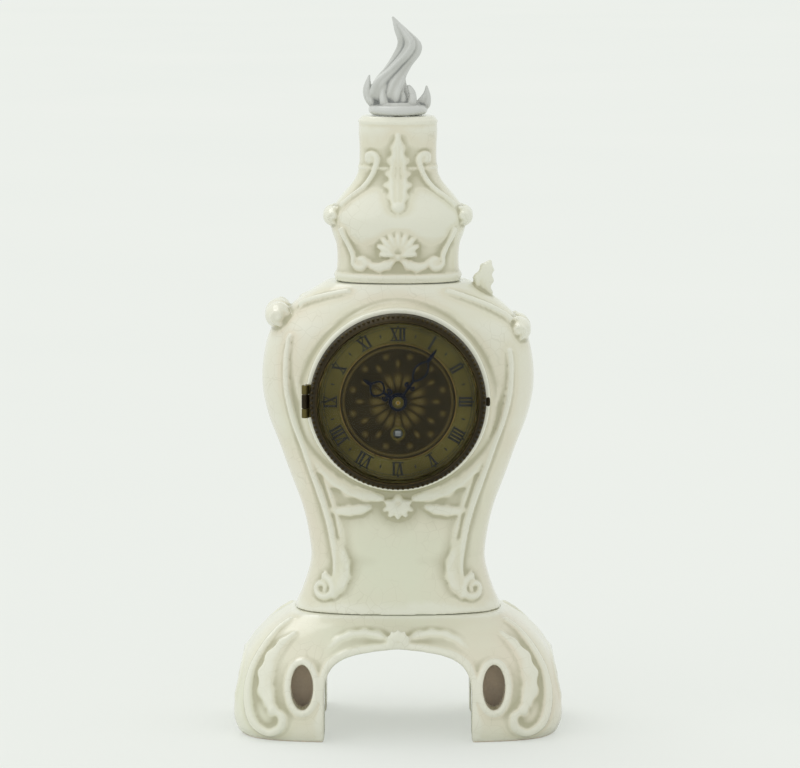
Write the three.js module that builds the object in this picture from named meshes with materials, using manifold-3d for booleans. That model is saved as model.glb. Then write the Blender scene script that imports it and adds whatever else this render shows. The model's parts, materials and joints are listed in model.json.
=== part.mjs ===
// A rococo porcelain mantel clock: a glazed case in four pieces round a spring-driven pendulum movement.
// Millimetres, +Z up. The dial faces -Y, and the origin is the middle of the footprint on the shelf.

import * as THREE from "three";
import { mergeVertices } from "three/addons/utils/BufferGeometryUtils.js";
import Module from "manifold-3d";

const wasm = await Module();
wasm.setup();

// Clearances
const SEAM = 0.3; // between two pieces that seat on each other
const BORE_FIT = 0.4; // round a pin, screw or pipe in its hole
const SHAKE = 0.25; // round an arbor's pivot in its plate
const RUNNING_GAP = 0.8; // beside a wheel that turns past another piece
const OVERCUT = 1; // that a cut runs past the face it opens, and a joined piece into its neighbour

// Porcelain case: [half width, half depth] where the outline turns, and the heights of its pieces
const WALL = 5;
const FOOT_SIZE = [90, 60];
const SEAT_SIZE = [57, 35];
const WAIST_SIZE = [48, 31.5];
const BELLY_SIZE = [74.5, 38.5];
const SHOULDER_SIZE = [39, 27];
const CREST_FOOT_SIZE = [34.5, 25];
const CREST_BROW_SIZE = [37, 27];
const NECK_SIZE = [21, 16.5];
const BASE_HEIGHT = 66;
const BODY_HEIGHT = 180;
const CREST_HEIGHT = 90;
const FINIAL_HEIGHT = 53.5;
const DIAL_AXIS_SHARE = 0.66; // of the body's height, where the belly is widest

// Arches, scroll eyes and hollows of the base
const ARCH_HALF_WIDTH = 40;
const ARCH_HEIGHT = 50;
const SIDE_ARCH_HALF_WIDTH = 28;
const SIDE_ARCH_HEIGHT = 40;
const DECK_THICKNESS = 8;
const LEG_WALL = 6;
const LEG_HOLLOW_WIDTH = 20;
const LEG_HOLLOW_DEPTH = 12;
const LEG_HOLLOW_HEIGHT = 43;
const EYE_HALF_WIDTH = 6;
const EYE_HALF_HEIGHT = 12;
const EYE_HEIGHT = 30;

// Scroll ears: the left shoulder's ear stands higher than the right one's, which has a leaf beside it
const SHOULDER_EAR_RADIUS = 8;
const SHOULDER_EAR_OUT = 65.5;
const SHOULDER_EAR_HALF_LENGTH = 21;
const LEFT_EAR_DROP = 18; // below the body's top
const RIGHT_EAR_DROP = 26;
const LEAF_SIZE = [6, 5, 12];
const LEAF_OUT = 46;
const CREST_EAR_RADIUS = 6;
const CREST_EAR_OUT = 35.5;
const CREST_EAR_HALF_LENGTH = 15;
const CREST_EAR_SHARE = 0.395;

// Relief on the base: radii of the beads, [half width, rise] of the leaves, and lines on the right of the
// front as [share of the foot's half width, share of the base's height]
const ARCH_BEAD = 2.1;
const EYE_RIM = 1.9;
const LEG_SCROLL = 3.1;
const LEG_SCROLL_TAPER_SHARE = 0.4; // of its radius, towards each end
const LEG_SCROLL_SHARES = [
  [0.656, 0.947], [0.733, 0.864], [0.822, 0.712], [0.883, 0.53], [0.9, 0.333],
  [0.867, 0.152], [0.778, 0.083], [0.706, 0.129], [0.7, 0.22], [0.75, 0.265],
];
const LEG_SLANT_SHARE = 0.4; // of the leg's face, sideways over forwards
const KNEE_LEAF = [6.2, 2.4];
const KNEE_LEAF_SHARES = [[0.767, 0.303], [0.794, 0.455], [0.772, 0.621], [0.7, 0.773], [0.611, 0.886]];

// Relief on the body: the same, with lines as shares of the seat's or belly's half width and of the
// body's height
const CORNER_BEAD = 2.3;
const CORNER_BEAD_START_SHARE = 0.078;
const CORNER_BEAD_ANGLES = [52, 38]; // degrees round the body from its side, at the foot and at the ear
const FOOT_CURL = 2;
const FOOT_CURL_RADIUS = 7;
const FOOT_CURL_SHARES = [0.72, 0.072];
const FOOT_CURL_WINDING_SHARE = 0.6; // of its radius lost in one turn
const WAIST_SLANT_SHARE = 0.3; // of the waist's face, sideways over forwards
const SHOULDER_BEAD = 2.2;
const SHOULDER_BEAD_ANGLE = 25; // degrees round the body from its side, at the ear
const SHOULDER_SHARES = [[0.752, 0.95], [0.631, 0.961], [0.51, 0.969], [0.376, 0.981]];
const SPRAY_LEAF = [6, 2.3];
const SPRAY_STANDOFF = 5.5; // outside the boss
const SPRAY_ANGLES = [172, 113]; // degrees round the dial from twelve
const LEAF_END_SHARE = 0.15; // of a leaf's fullness, at its ends

// Lengths that a rib is divided into
const LEAF_STEPS = 5;
const ARCH_BEAD_STEPS = 10;
const LEG_SCROLL_STEPS = 13;
const EYE_RIM_STEPS = 9;
const CORNER_BEAD_STEPS = 9;
const FOOT_CURL_STEPS = 10;
const SHOULDER_BEAD_STEPS = 6;

// Fasteners of the case
const ROD_RADIUS = 2.5;
const NUT_RADIUS = 4.6;
const NUT_HEIGHT = 4;
const WASHER_RADIUS = 7;
const WASHER_HEIGHT = 1.5;
const BOLT_OUT = 30; // of each base bolt from the middle
const FINIAL_GRIP = 14; // length of rod inside the finial

// Flame of the finial
const FLAME_FLUTING = 0.14; // depth of a flute over the flame's radius
const FLAME_FLATTENING = 0.85; // depth of the flame over its width
const FLAME_LEAST_RADIUS = 0.5;
const FINIAL_FOOT_HEIGHT = 7;
const TONGUE_OUT = 9.5;
const LEFT_TONGUE_HEIGHT = 19.3;
const RIGHT_TONGUE_HEIGHT = 13.9;
const LEFT_TONGUE_LEAN = -0.35;
const RIGHT_TONGUE_LEAN = 0.5;

// Going train: module, wheel teeth and pinion leaves from the barrel to the escape wheel
const BARREL_MODULE = 0.48;
const BARREL_TEETH = 64;
const CENTRE_LEAVES = 8;
const CENTRE_MODULE = 0.42;
const CENTRE_TEETH = 72;
const THIRD_LEAVES = 6;
const THIRD_MODULE = 0.38;
const THIRD_TEETH = 72;
const ESCAPE_LEAVES = 6;
const ESCAPE_TEETH = 36;
const ESCAPE_RADIUS = 8.5;
const WHEEL_THICKNESS = 1.4;
const WHEEL_RIM = 3;
const WHEEL_ARM = 1.8;
const WHEEL_HUB = 4;
const WHEEL_ARMS = 4;
const PINION_LENGTH = 3;
const PINION_LEAD = 0.8; // of a pinion in front of the wheel that it meets
const CENTRE_PINION_LENGTH = 2.25;
const CENTRE_WHEEL_SETBACK = 5; // in front of the back plate
const THIRD_WHEEL_LEVEL = 8.4; // behind the front plate
const ESCAPE_WHEEL_LEVEL = 15.6;
const ESCAPE_THICKNESS = 1;
const ESCAPE_ROOT = 7; // radius between the teeth
const ESCAPE_RAKE = 0.2; // of a tooth, as a share of the angle between teeth
const ESCAPE_RIM_INSIDE = 5.8;
const ESCAPE_HUB = 2;
const ESCAPE_ARM = 1.2;
const CENTRE_ARBOR_RADIUS = 1;
const THIRD_ARBOR_RADIUS = 0.6;
const ESCAPE_ARBOR_RADIUS = 0.5;
const PALLET_ARBOR_RADIUS = 0.8;

// Motion work between the front plate and the dial
const CANNON_MODULE = 0.45;
const CANNON_LEAVES = 12;
const MINUTE_TEETH = 36;
const MINUTE_LEAVES = 9;
const HOUR_TEETH = 36;
const CANNON_PIPE_RADIUS = 1.9;
const HOUR_PIPE_WALL = 0.8;
const MINUTE_STUD_RADIUS = 0.8;
const CANNON_LEAF_LENGTH = 2;
const MOTION_WHEEL_GAP = 1.4; // between the minute wheel and the hour wheel

// Barrel and winding work
const DRUM_LENGTH = 13.8;
const DRUM_WALL = 1;
const DRUM_STEP = 1; // of the drum inside the roots of the great wheel's teeth
const GREAT_WHEEL_THICKNESS = 1.8;
const BARREL_END = 1.4;
const BARREL_ARBOR_RADIUS = 1.2;
const BARREL_HUB_RADIUS = 2.6;
const SPRING_TURNS = 5;
const SPRING_THICKNESS = 0.45;
const WINDING_SQUARE = 2.8;
const RATCHET_TEETH = 20;
const RATCHET_RADIUS = 6;
const RATCHET_ROOT = 5; // radius between the teeth
const RATCHET_RAKE = 0.15; // of a tooth, as a share of the angle between teeth
const RATCHET_THICKNESS = 1.6;
const CLICK_OUT = 1.28; // of the click's pivot, right of the ratchet's axis, in ratchet radii
const CLICK_DROP = 0.86; // and below it
const CLICK_WIDTH = 2.4;
const CLICK_BEAK_ANGLE = 20; // degrees round the ratchet, from the horizontal
const CLICK_SPRING_ARC = [-100, 30]; // degrees round the click's pivot
const CLICK_STUD_RADIUS = 0.7;

// Plates and their spacing
const PLATE_THICKNESS = 2.4;
const PLATE_SPACING = 26;
const PLATE_MARGIN = 1.4;
const PILLAR_RADIUS = 2.2;
const PILLAR_NECK_RADIUS = 1.2;
const MOTION_SPACE = 7.3; // from the front plate to the dial's back

// Dial, hands, rings and doors
const BOSS_FACE = 42; // from the case's middle plane to the face that a ring seats on
const BOSS_RIM = 2.5; // porcelain outside a ring's flange
const BOSS_FLARE = 4.5;
const STRAP_THICKNESS = 1.2;
const STRAP_WIDTH = 8;
const STRAP_ANGLE = 25; // degrees below the dial's horizontal
const STRAP_TAB_THICKNESS = 1.5;
const STRAP_TAB_SETBACK = 4.3; // of the strap's tab in front of the rear boss face
const STRAP_SCREW_RADIUS = 1.3;
const STRAP_SCREW_HEAD = 2.2;
const STRAP_SCREW_INSET = 2.6; // from the strap, and from the tab's inner edge
const STRAP_SCREW_REACH = 3; // in front of the tab's face
const LUG_THICKNESS = 1.8;
const RING_WALL = 1.4;
const RING_LIP = 2;
const SPIGOT_LENGTH = 8;
const FLANGE_THICKNESS = 2.7;
const DIAL_THICKNESS = 1.2;
const DIAL_SEAT = 2.4; // of the dial on its ring
const CHAPTER_THICKNESS = 1;
const CHAPTER_WIDTH = 11;
const DIAL_FOOT_RADIUS = 1.6;
const BEZEL_WALL = 2.3;
const BEZEL_DEPTH = 10.2;
const BEZEL_LIP = 2;
const BEZEL_TAB_REACH = 2;
const BEZEL_TAB_HALF_LENGTH = 3;
const BEZEL_TAB_THICKNESS = 2.5;
const BEZEL_TAB_SETBACK = 1.5;
const GLASS_THICKNESS = 1.5;
const GLASS_RISE = 4.9;
const HAND_THICKNESS = 0.8;
const HOUR_HAND_LENGTH = 23;
const HOUR_HAND_HUB_WALL = 1.6;
const HOUR_HAND_WIDTH = 2.4;
const HOUR_HAND_SWELLING = 3;
const MINUTE_HAND_LENGTH = 36;
const MINUTE_HAND_HUB_WALL = 1.8;
const MINUTE_HAND_WIDTH = 2;
const MINUTE_HAND_SWELLING = 2.2;
const HAND_NUT_WALL = 2;
const HAND_NUT_HEIGHT = 1.8;
const HOUR_HAND_ANGLE = 303; // degrees clockwise from twelve, six minutes past ten
const MINUTE_HAND_ANGLE = 36;
const WINDING_HOLE_RADIUS = 3.4;
const KNUCKLE_RADIUS = 2;
const HINGE_PIN_RADIUS = 0.9;
const DOOR_KNUCKLE_HALF = 3.6;
const RING_KNUCKLE_LENGTH = 5;
const DOOR_THICKNESS = 1.3;
const DOOR_CROWN = 0.6;
const DOOR_OVERLAP = 1; // past the dial's radius
const DOOR_LEAF_REACH = 3; // of the hinge leaf over the door's edge
const LATCH_SHAFT_RADIUS = 1.2;
const LATCH_TONGUE_THICKNESS = 1.5;
const LATCH_HOLD = 1.4; // of the tongue behind the ring's lip when it is shut
const LATCH_KNOB_LENGTH = 6;
const LATCH_REACH = 5.4;
const LATCH_KNOB_RADIUS = 3.2;

// Pendulum, pallets and suspension
const PENDULUM_OFFSET = 3; // behind the case's middle plane
const PENDULUM_ROD_RADIUS = 1;
const BOB_RADIUS = 15;
const BOB_HALF_THICKNESS = 4;
const RATING_NUT_RADIUS = 3.6;
const RATING_NUT_HEIGHT = 3.2;
const FLOOR_CLEARANCE = 2.5; // under the pendulum
const ROD_END = 1.5; // of the rod below the rating nut
const BOB_SLEEVE_WALL = 1.2;
const BOB_SLEEVE_LENGTH = 4;
const CRUTCH_LENGTH = 34;
const CRUTCH_THICKNESS = 1.2;
const CRUTCH_HALF_WIDTH = 1.2;
const CRUTCH_HUB_WALL = 1.4;
const CRUTCH_STANDOFF = 1.6; // behind the back plate
const FORK_WALL = 1;
const FORK_HEIGHT = 2.5;
const FORK_REACH = 2; // behind the rod
const PALLET_CLEARANCE = 0.8; // outside the escape wheel's tips, at rest
const PALLET_DEPTH = 2;
const PALLET_SPAN = [45, 135]; // degrees round the escape wheel
const PALLET_HUB = 1.8;
const PALLET_OVERLAP = 0.2; // past each face of the escape wheel
const SUSPENSION_STRIP = 0.3;
const STRIP_HALF_WIDTH = 2.5;
const CHOP_HALF_THICKNESS = 1.4;
const LOWER_CHOP_DROP = 10; // below the pallet arbor
const LOWER_CHOP_HEIGHT = 4;
const UPPER_CHOP_HEIGHT = 2.2;
const COCK_HALF_WIDTH = 4;
const COCK_FOOT_THICKNESS = 2;
const COCK_FOOT_HEIGHT = 6;
const COCK_ARM_BOTTOM = 0.9; // above the pallet arbor's axis
const COCK_ARM_HEIGHT = 4.4;
const COCK_MARGIN = 1.6; // of the arm behind the strip

// Roundness of turned work
const FINE = 28;
const MEDIUM = 16;
const COARSE = 8;
const PIVOT_SIDES = 6;

// Finishes
function finish(color, roughness, metalness) {
  return new THREE.MeshStandardMaterial({ color, roughness, metalness });
}

const CREAM_GLAZE = finish(0xd3d4be, 0.2, 0);
const GREY_GLAZE = finish(0xa5a7a2, 0.25, 0);
const BRASS = finish(0xb08d4a, 0.35, 1);
const AGED_BRASS = finish(0x504b30, 0.5, 0.8);
const DARK_BRONZE = finish(0x28200f, 0.45, 0.8);
const STEEL = finish(0x8d9096, 0.35, 1);
const BLUED_STEEL = finish(0x1d2130, 0.3, 0.9);
const GLASS = finish(0xe8eeee, 0.05, 0);

// Geometry helpers

function toSolid(geometry) {
  const bare = geometry.clone();
  bare.deleteAttribute("normal");
  bare.deleteAttribute("uv");
  const merged = mergeVertices(bare, 1e-4);
  const corners = merged.index.array;
  const triangles = [];
  for (let i = 0; i < corners.length; i += 3) {
    const [a, b, c] = corners.slice(i, i + 3);
    if (a !== b && b !== c && c !== a) triangles.push(a, b, c);
  }
  const vertProperties = Float32Array.from(merged.attributes.position.array);
  const triVerts = Uint32Array.from(triangles);
  return new wasm.Manifold(new wasm.Mesh({ numProp: 3, vertProperties, triVerts }));
}

function toGeometry(solid) {
  const mesh = solid.getMesh();
  const geometry = new THREE.BufferGeometry();
  geometry.setAttribute("position", new THREE.BufferAttribute(Float32Array.from(mesh.vertProperties), 3));
  geometry.setIndex(new THREE.BufferAttribute(Uint32Array.from(mesh.triVerts), 1));
  geometry.computeVertexNormals();
  return geometry;
}

function join(first, ...others) {
  return toGeometry(others.reduce((sum, one) => sum.add(toSolid(one)), toSolid(first)));
}

function cut(first, ...others) {
  return toGeometry(others.reduce((rest, one) => rest.subtract(toSolid(one)), toSolid(first)));
}

const common = (first, second) => toGeometry(toSolid(first).intersect(toSolid(second)));
const mix = (from, to, share) => from.map((value, i) => THREE.MathUtils.lerp(value, to[i], share));
const radians = THREE.MathUtils.degToRad;
const polar = (radius, angle) => new THREE.Vector2(radius * Math.cos(angle), radius * Math.sin(angle));

// A body turned about the Y axis from a closed outline of [radius, y]
function turned(outline, segments) {
  const points = outline.map(([radius, y]) => new THREE.Vector2(radius, y));
  if (THREE.ShapeUtils.area(points) < 0) points.reverse();
  const touchesAxis = points.some((point) => point.x === 0);
  if (touchesAxis) {
    while (points[0].x !== 0 || points.at(-1).x !== 0) points.push(points.shift());
  } else {
    points.push(points[0].clone());
  }
  return new THREE.LatheGeometry(points, segments);
}

const upright = (geometry) => geometry.rotateX(Math.PI / 2);
const rod = (radius, front, back, segments = COARSE) =>
  turned([[0, front], [radius, front], [radius, back], [0, back]], segments);
const post = (radius, bottom, top, segments = COARSE) => upright(rod(radius, bottom, top, segments));
const tube = (inner, outer, front, back, segments) =>
  turned([[inner, front], [outer, front], [outer, back], [inner, back]], segments);

function block(low, high) {
  const size = high.map((value, i) => value - low[i]);
  const middle = high.map((value, i) => (value + low[i]) / 2);
  return new THREE.BoxGeometry(...size).translate(...middle);
}

// A flat plate cut to an outline drawn as seen from the front, between two depths
function plate(shape, front, back, curveSegments = COARSE) {
  const options = { depth: back - front, bevelEnabled: false, curveSegments };
  return new THREE.ExtrudeGeometry(shape, options).rotateX(Math.PI / 2).translate(0, back, 0);
}

// A length of an outline drawn as [y, z], between two x positions
function sideBar(outline, left, right) {
  const shape = new THREE.Shape(outline.map(([y, z]) => new THREE.Vector2(y, z)));
  const options = { depth: right - left, bevelEnabled: false };
  const bar = new THREE.ExtrudeGeometry(shape, options);
  return bar.rotateX(Math.PI / 2).rotateZ(Math.PI / 2).translate(left, 0, 0);
}

function circle(x, z, radius, segments) {
  const points = [];
  for (let i = 0; i < segments; i += 1) {
    const spot = polar(radius, (i / segments) * 2 * Math.PI);
    points.push(new THREE.Vector2(x + spot.x, z + spot.y));
  }
  return points;
}

function disc(radius, holes, segments = FINE) {
  const shape = new THREE.Shape(circle(0, 0, radius, segments));
  for (const hole of holes) {
    const edge = circle(hole.x, hole.z, hole.radius, hole.segments ?? PIVOT_SIDES);
    shape.holes.push(new THREE.Path(edge));
  }
  return shape;
}

// A closed skin through rings of points that run anticlockwise seen from above, lowest ring first
function skin(rings) {
  const count = rings[0].length;
  const total = (ring) => ring.reduce((sum, point) => sum.add(point), new THREE.Vector3());
  const middle = (ring) => total(ring).divideScalar(count);
  const points = [...rings.flat(), middle(rings[0]), middle(rings.at(-1))];
  const [bottom, top] = [points.length - 2, points.length - 1];
  const last = (rings.length - 1) * count;
  const index = [];
  for (let j = 0; j < count; j += 1) {
    const next = (j + 1) % count;
    index.push(bottom, next, j, top, last + j, last + next);
    for (let low = 0; low < last; low += count) {
      const high = low + count;
      index.push(low + j, low + next, high + next, low + j, high + next, high + j);
    }
  }
  const geometry = new THREE.BufferGeometry().setFromPoints(points);
  return geometry.setIndex(index);
}

// A level ring with soft corners: power 2 is an ellipse, and higher powers are squarer
function softRing(halfWidth, halfDepth, height, power, count) {
  const ring = [];
  const bulge = (value) => Math.sign(value) * Math.abs(value) ** (2 / power);
  for (let i = 0; i < count; i += 1) {
    const angle = (i / count) * 2 * Math.PI;
    const x = halfWidth * bulge(Math.cos(angle));
    const y = halfDepth * bulge(Math.sin(angle));
    ring.push(new THREE.Vector3(x, y, height));
  }
  return ring;
}

// The outline through stations of [share of the height, [half width, half depth]], as (width, depth, height)
function outlineThrough(stations, height, levels) {
  const knots = stations.map(([share, [width, depth]]) => new THREE.Vector3(width, depth, share * height));
  return new THREE.CatmullRomCurve3(knots).getPoints(levels);
}

// A moulded shell through stations, drawn in by an inset
function moulding(stations, height, { power, count, levels, inset = 0 }) {
  const outline = outlineThrough(stations, height, levels);
  return skin(outline.map((at) => softRing(at.x - inset, at.y - inset, at.z, power, count)));
}

// Places on a moulding, facing -1 for front or 1 for back: at x or y and a height, or at a turn round it
function placesOn(stations, height, { power, levels }) {
  const outline = outlineThrough(stations, height, levels);
  const sizeAt = (z) => {
    const next = Math.max(1, outline.findIndex((at) => at.z >= z));
    const [low, high] = [outline[next - 1], outline[next]];
    return low.clone().lerp(high, (z - low.z) / (high.z - low.z));
  };
  const fall = (share) => (1 - Math.min(Math.abs(share), 0.99) ** power) ** (1 / power);
  const front = (x, z, facing) => {
    const size = sizeAt(z);
    return new THREE.Vector3(x, facing * size.y * fall(x / size.x), z);
  };
  const side = (y, z) => {
    const size = sizeAt(z);
    return new THREE.Vector3(size.x * fall(y / size.y), y, z);
  };
  const corner = (turn, z, way, facing) => {
    const size = sizeAt(z);
    const x = way * size.x * Math.cos(turn) ** (2 / power);
    return new THREE.Vector3(x, facing * size.y * Math.sin(turn) ** (2 / power), z);
  };
  return { front, side, corner };
}

const RIB_SECTION = [[-1, -0.85], [1, -0.85], [0.6, 0.95], [-0.6, 0.95]]; // half widths across, and rises

// A rib raised along a line on the porcelain, with its [half width, rise] at each share of its length
function rib(points, outward, girth, steps) {
  const line = new THREE.CatmullRomCurve3(points);
  const rings = [];
  for (let i = 0; i <= steps; i += 1) {
    const share = i / steps;
    const [halfWidth, rise] = girth(share);
    const along = line.getTangentAt(share);
    const across = new THREE.Vector3().crossVectors(outward, along).normalize();
    const up = new THREE.Vector3().crossVectors(along, across);
    const middle = line.getPointAt(share);
    rings.push(RIB_SECTION.map(([width, height]) => {
      const spot = middle.clone().addScaledVector(across, halfWidth * width);
      return spot.addScaledVector(up, rise * height);
    }));
  }
  return skin(rings);
}

const bead = (points, outward, radius, steps) => rib(points, outward, () => [radius, radius], steps);

function leafRib(points, outward, [halfWidth, rise]) {
  const fullness = (share) => Math.sqrt(Math.max(Math.sin(Math.PI * share), LEAF_END_SHARE));
  return rib(points, outward, (share) => [halfWidth * fullness(share), rise * fullness(share)], LEAF_STEPS);
}

const clock = new THREE.Group();

function add(group, name, geometry, material) {
  const mesh = new THREE.Mesh(geometry, material);
  mesh.name = name;
  group.add(mesh);
  return mesh;
}

function addGroup(parent, x, y, z) {
  const group = new THREE.Group();
  group.position.set(x, y, z);
  parent.add(group);
  return group;
}

// Gear teeth, as multiples of the module, and as shares of the angle between teeth
const WHEEL_ADDENDUM = 1.1;
const WHEEL_DEDENDUM = 1.5;
const LEAF_ADDENDUM = 0.7;
const LEAF_DEDENDUM = 1.45;
const LEAF_ROOT_SHARE = 0.3;
const LEAF_TIP_SHARE = 0.14;

const pitchRadius = (module, teeth) => (module * teeth) / 2;
const wheelTip = (module, teeth) => pitchRadius(module, teeth) + WHEEL_ADDENDUM * module;
const meshDistance = (module, teeth, leaves) => pitchRadius(module, teeth + leaves);

// Pointed wheel teeth, with one tooth centred on the given angle
function wheelShape(module, teeth, angle) {
  const tip = wheelTip(module, teeth);
  const root = pitchRadius(module, teeth) - WHEEL_DEDENDUM * module;
  const step = (2 * Math.PI) / teeth;
  const points = [];
  for (let i = 0; i < teeth; i += 1) {
    points.push(polar(tip, angle + i * step), polar(root, angle + (i + 0.5) * step));
  }
  return new THREE.Shape(points);
}

// Slim flat-topped pinion leaves, with one gap centred on the given angle
function pinionShape(module, leaves, angle) {
  const tip = pitchRadius(module, leaves) + LEAF_ADDENDUM * module;
  const root = pitchRadius(module, leaves) - LEAF_DEDENDUM * module;
  const step = (2 * Math.PI) / leaves;
  const [rootHalf, tipHalf] = [(LEAF_ROOT_SHARE * step) / 2, (LEAF_TIP_SHARE * step) / 2];
  const points = [];
  for (let i = 0; i < leaves; i += 1) {
    const middle = angle + (i + 0.5) * step;
    points.push(polar(root, middle - rootHalf), polar(tip, middle - tipHalf));
    points.push(polar(tip, middle + tipHalf), polar(root, middle + rootHalf));
  }
  return new THREE.Shape(points);
}

// Openings that leave a rim, a hub and straight arms
function crossOut(shape, arms, inner, outer, armWidth) {
  const arcSteps = 4;
  for (let i = 0; i < arms; i += 1) {
    const from = (i / arms) * 2 * Math.PI;
    const to = ((i + 1) / arms) * 2 * Math.PI;
    const [trimIn, trimOut] = [armWidth / 2 / inner, armWidth / 2 / outer];
    const points = [polar(inner, from + trimIn), polar(inner, to - trimIn)];
    for (let k = 0; k <= arcSteps; k += 1) {
      points.push(polar(outer, THREE.MathUtils.lerp(to - trimOut, from + trimOut, k / arcSteps)));
    }
    shape.holes.push(new THREE.Path(points));
  }
  return shape;
}

// Heights of the case
const bodyBottom = BASE_HEIGHT + SEAM;
const bodyTop = bodyBottom + BODY_HEIGHT;
const crestBottom = bodyTop + SEAM;
const finialBottom = crestBottom + CREST_HEIGHT + SEAM;
const dialAxis = bodyBottom + DIAL_AXIS_SHARE * BODY_HEIGHT;

// Arbor places, seen from the front, from the dial's axis
const centreTip = wheelTip(CENTRE_MODULE, CENTRE_TEETH);
const thirdTip = wheelTip(THIRD_MODULE, THIRD_TEETH);
const barrelTip = wheelTip(BARREL_MODULE, BARREL_TEETH);
const barrelDistance = meshDistance(BARREL_MODULE, BARREL_TEETH, CENTRE_LEAVES);
const thirdDistance = meshDistance(CENTRE_MODULE, CENTRE_TEETH, THIRD_LEAVES);
const escapeDistance = meshDistance(THIRD_MODULE, THIRD_TEETH, ESCAPE_LEAVES);
const escapeHeight = centreTip + ESCAPE_ARBOR_RADIUS + RUNNING_GAP;
const thirdRise = (thirdDistance ** 2 + escapeHeight ** 2 - escapeDistance ** 2) / (2 * escapeHeight);
const barrelAt = { x: 0, z: -barrelDistance };
const thirdAt = { x: Math.sqrt(thirdDistance ** 2 - thirdRise ** 2), z: thirdRise };
const escapeAt = { x: 0, z: escapeHeight };
const palletAt = { x: 0, z: escapeHeight + Math.SQRT2 * ESCAPE_RADIUS };
const minuteDistance = meshDistance(CANNON_MODULE, MINUTE_TEETH, CANNON_LEAVES);
const minuteAt = { x: -minuteDistance, z: 0 };
const hourModule = (2 * minuteDistance) / (HOUR_TEETH + MINUTE_LEAVES);
const angleTo = (from, to) => Math.atan2(to.z - from.z, to.x - from.x);
const CENTRE = { x: 0, z: 0 };

// Radii from the train outwards: pillars, plates, straps, rings, dial, bezel and boss
const trainReach = Math.max(thirdDistance + thirdTip, barrelDistance + barrelTip);
const pillarCircle = trainReach + PILLAR_NECK_RADIUS;
const plateRadius = pillarCircle + PILLAR_RADIUS + PLATE_MARGIN;
const strapInside = plateRadius + RUNNING_GAP;
const strapOutside = strapInside + STRAP_THICKNESS;
const spigotInside = Math.hypot(strapOutside, STRAP_WIDTH / 2) + BORE_FIT;
const spigotOutside = spigotInside + RING_WALL;
const bossBore = spigotOutside + BORE_FIT;
const dialRadius = spigotInside + DIAL_SEAT;
const chapterOutside = dialRadius - BORE_FIT;
const chapterInside = chapterOutside - CHAPTER_WIDTH;
const glassRadius = dialRadius + BEZEL_LIP;
const bezelInside = glassRadius + BORE_FIT;
const bezelOutside = bezelInside + BEZEL_WALL;
const flangeRadius = bezelOutside - SEAM;
const bossRadius = flangeRadius + BOSS_RIM;
const hingeOut = bezelOutside + KNUCKLE_RADIUS + SEAM;

// Depths from the boss face forwards, then back through the movement
const flangeBack = -BOSS_FACE - SEAM;
const flangeFront = flangeBack - FLANGE_THICKNESS;
const dialBack = flangeFront - SEAM;
const dialFront = dialBack - DIAL_THICKNESS;
const chapterBack = dialFront - SEAM;
const chapterFront = chapterBack - CHAPTER_THICKNESS;
const hourHandBack = chapterFront - RUNNING_GAP;
const hourHandFront = hourHandBack - HAND_THICKNESS;
const minuteHandBack = hourHandFront - RUNNING_GAP;
const minuteHandFront = minuteHandBack - HAND_THICKNESS;
const frontPlateFront = dialBack + MOTION_SPACE;
const frontPlateBack = frontPlateFront + PLATE_THICKNESS;
const backPlateFront = frontPlateBack + PLATE_SPACING;
const backPlateBack = backPlateFront + PLATE_THICKNESS;
const pivotFront = frontPlateFront + SEAM;
const pivotBack = backPlateBack - SEAM;
const handNutBack = minuteHandFront - 2 * SEAM;
const handNutFront = handNutBack - HAND_NUT_HEIGHT;
const minuteWheelBack = frontPlateFront - RUNNING_GAP;
const minuteWheelFront = minuteWheelBack - WHEEL_THICKNESS;
const hourWheelBack = minuteWheelFront - MOTION_WHEEL_GAP;
const hourWheelFront = hourWheelBack - WHEEL_THICKNESS;
const minutePinionFront = hourWheelFront - SEAM;
const ratchetBack = frontPlateFront - RUNNING_GAP;
const ratchetFront = ratchetBack - RATCHET_THICKNESS;

// A rolled ear, longest from front to back
function scrollEar(radius, halfLength) {
  return new THREE.SphereGeometry(1, 12, COARSE).scale(radius, halfLength, radius);
}

// Porcelain base: a flared plinth, hollow underneath, on four scroll feet

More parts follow.
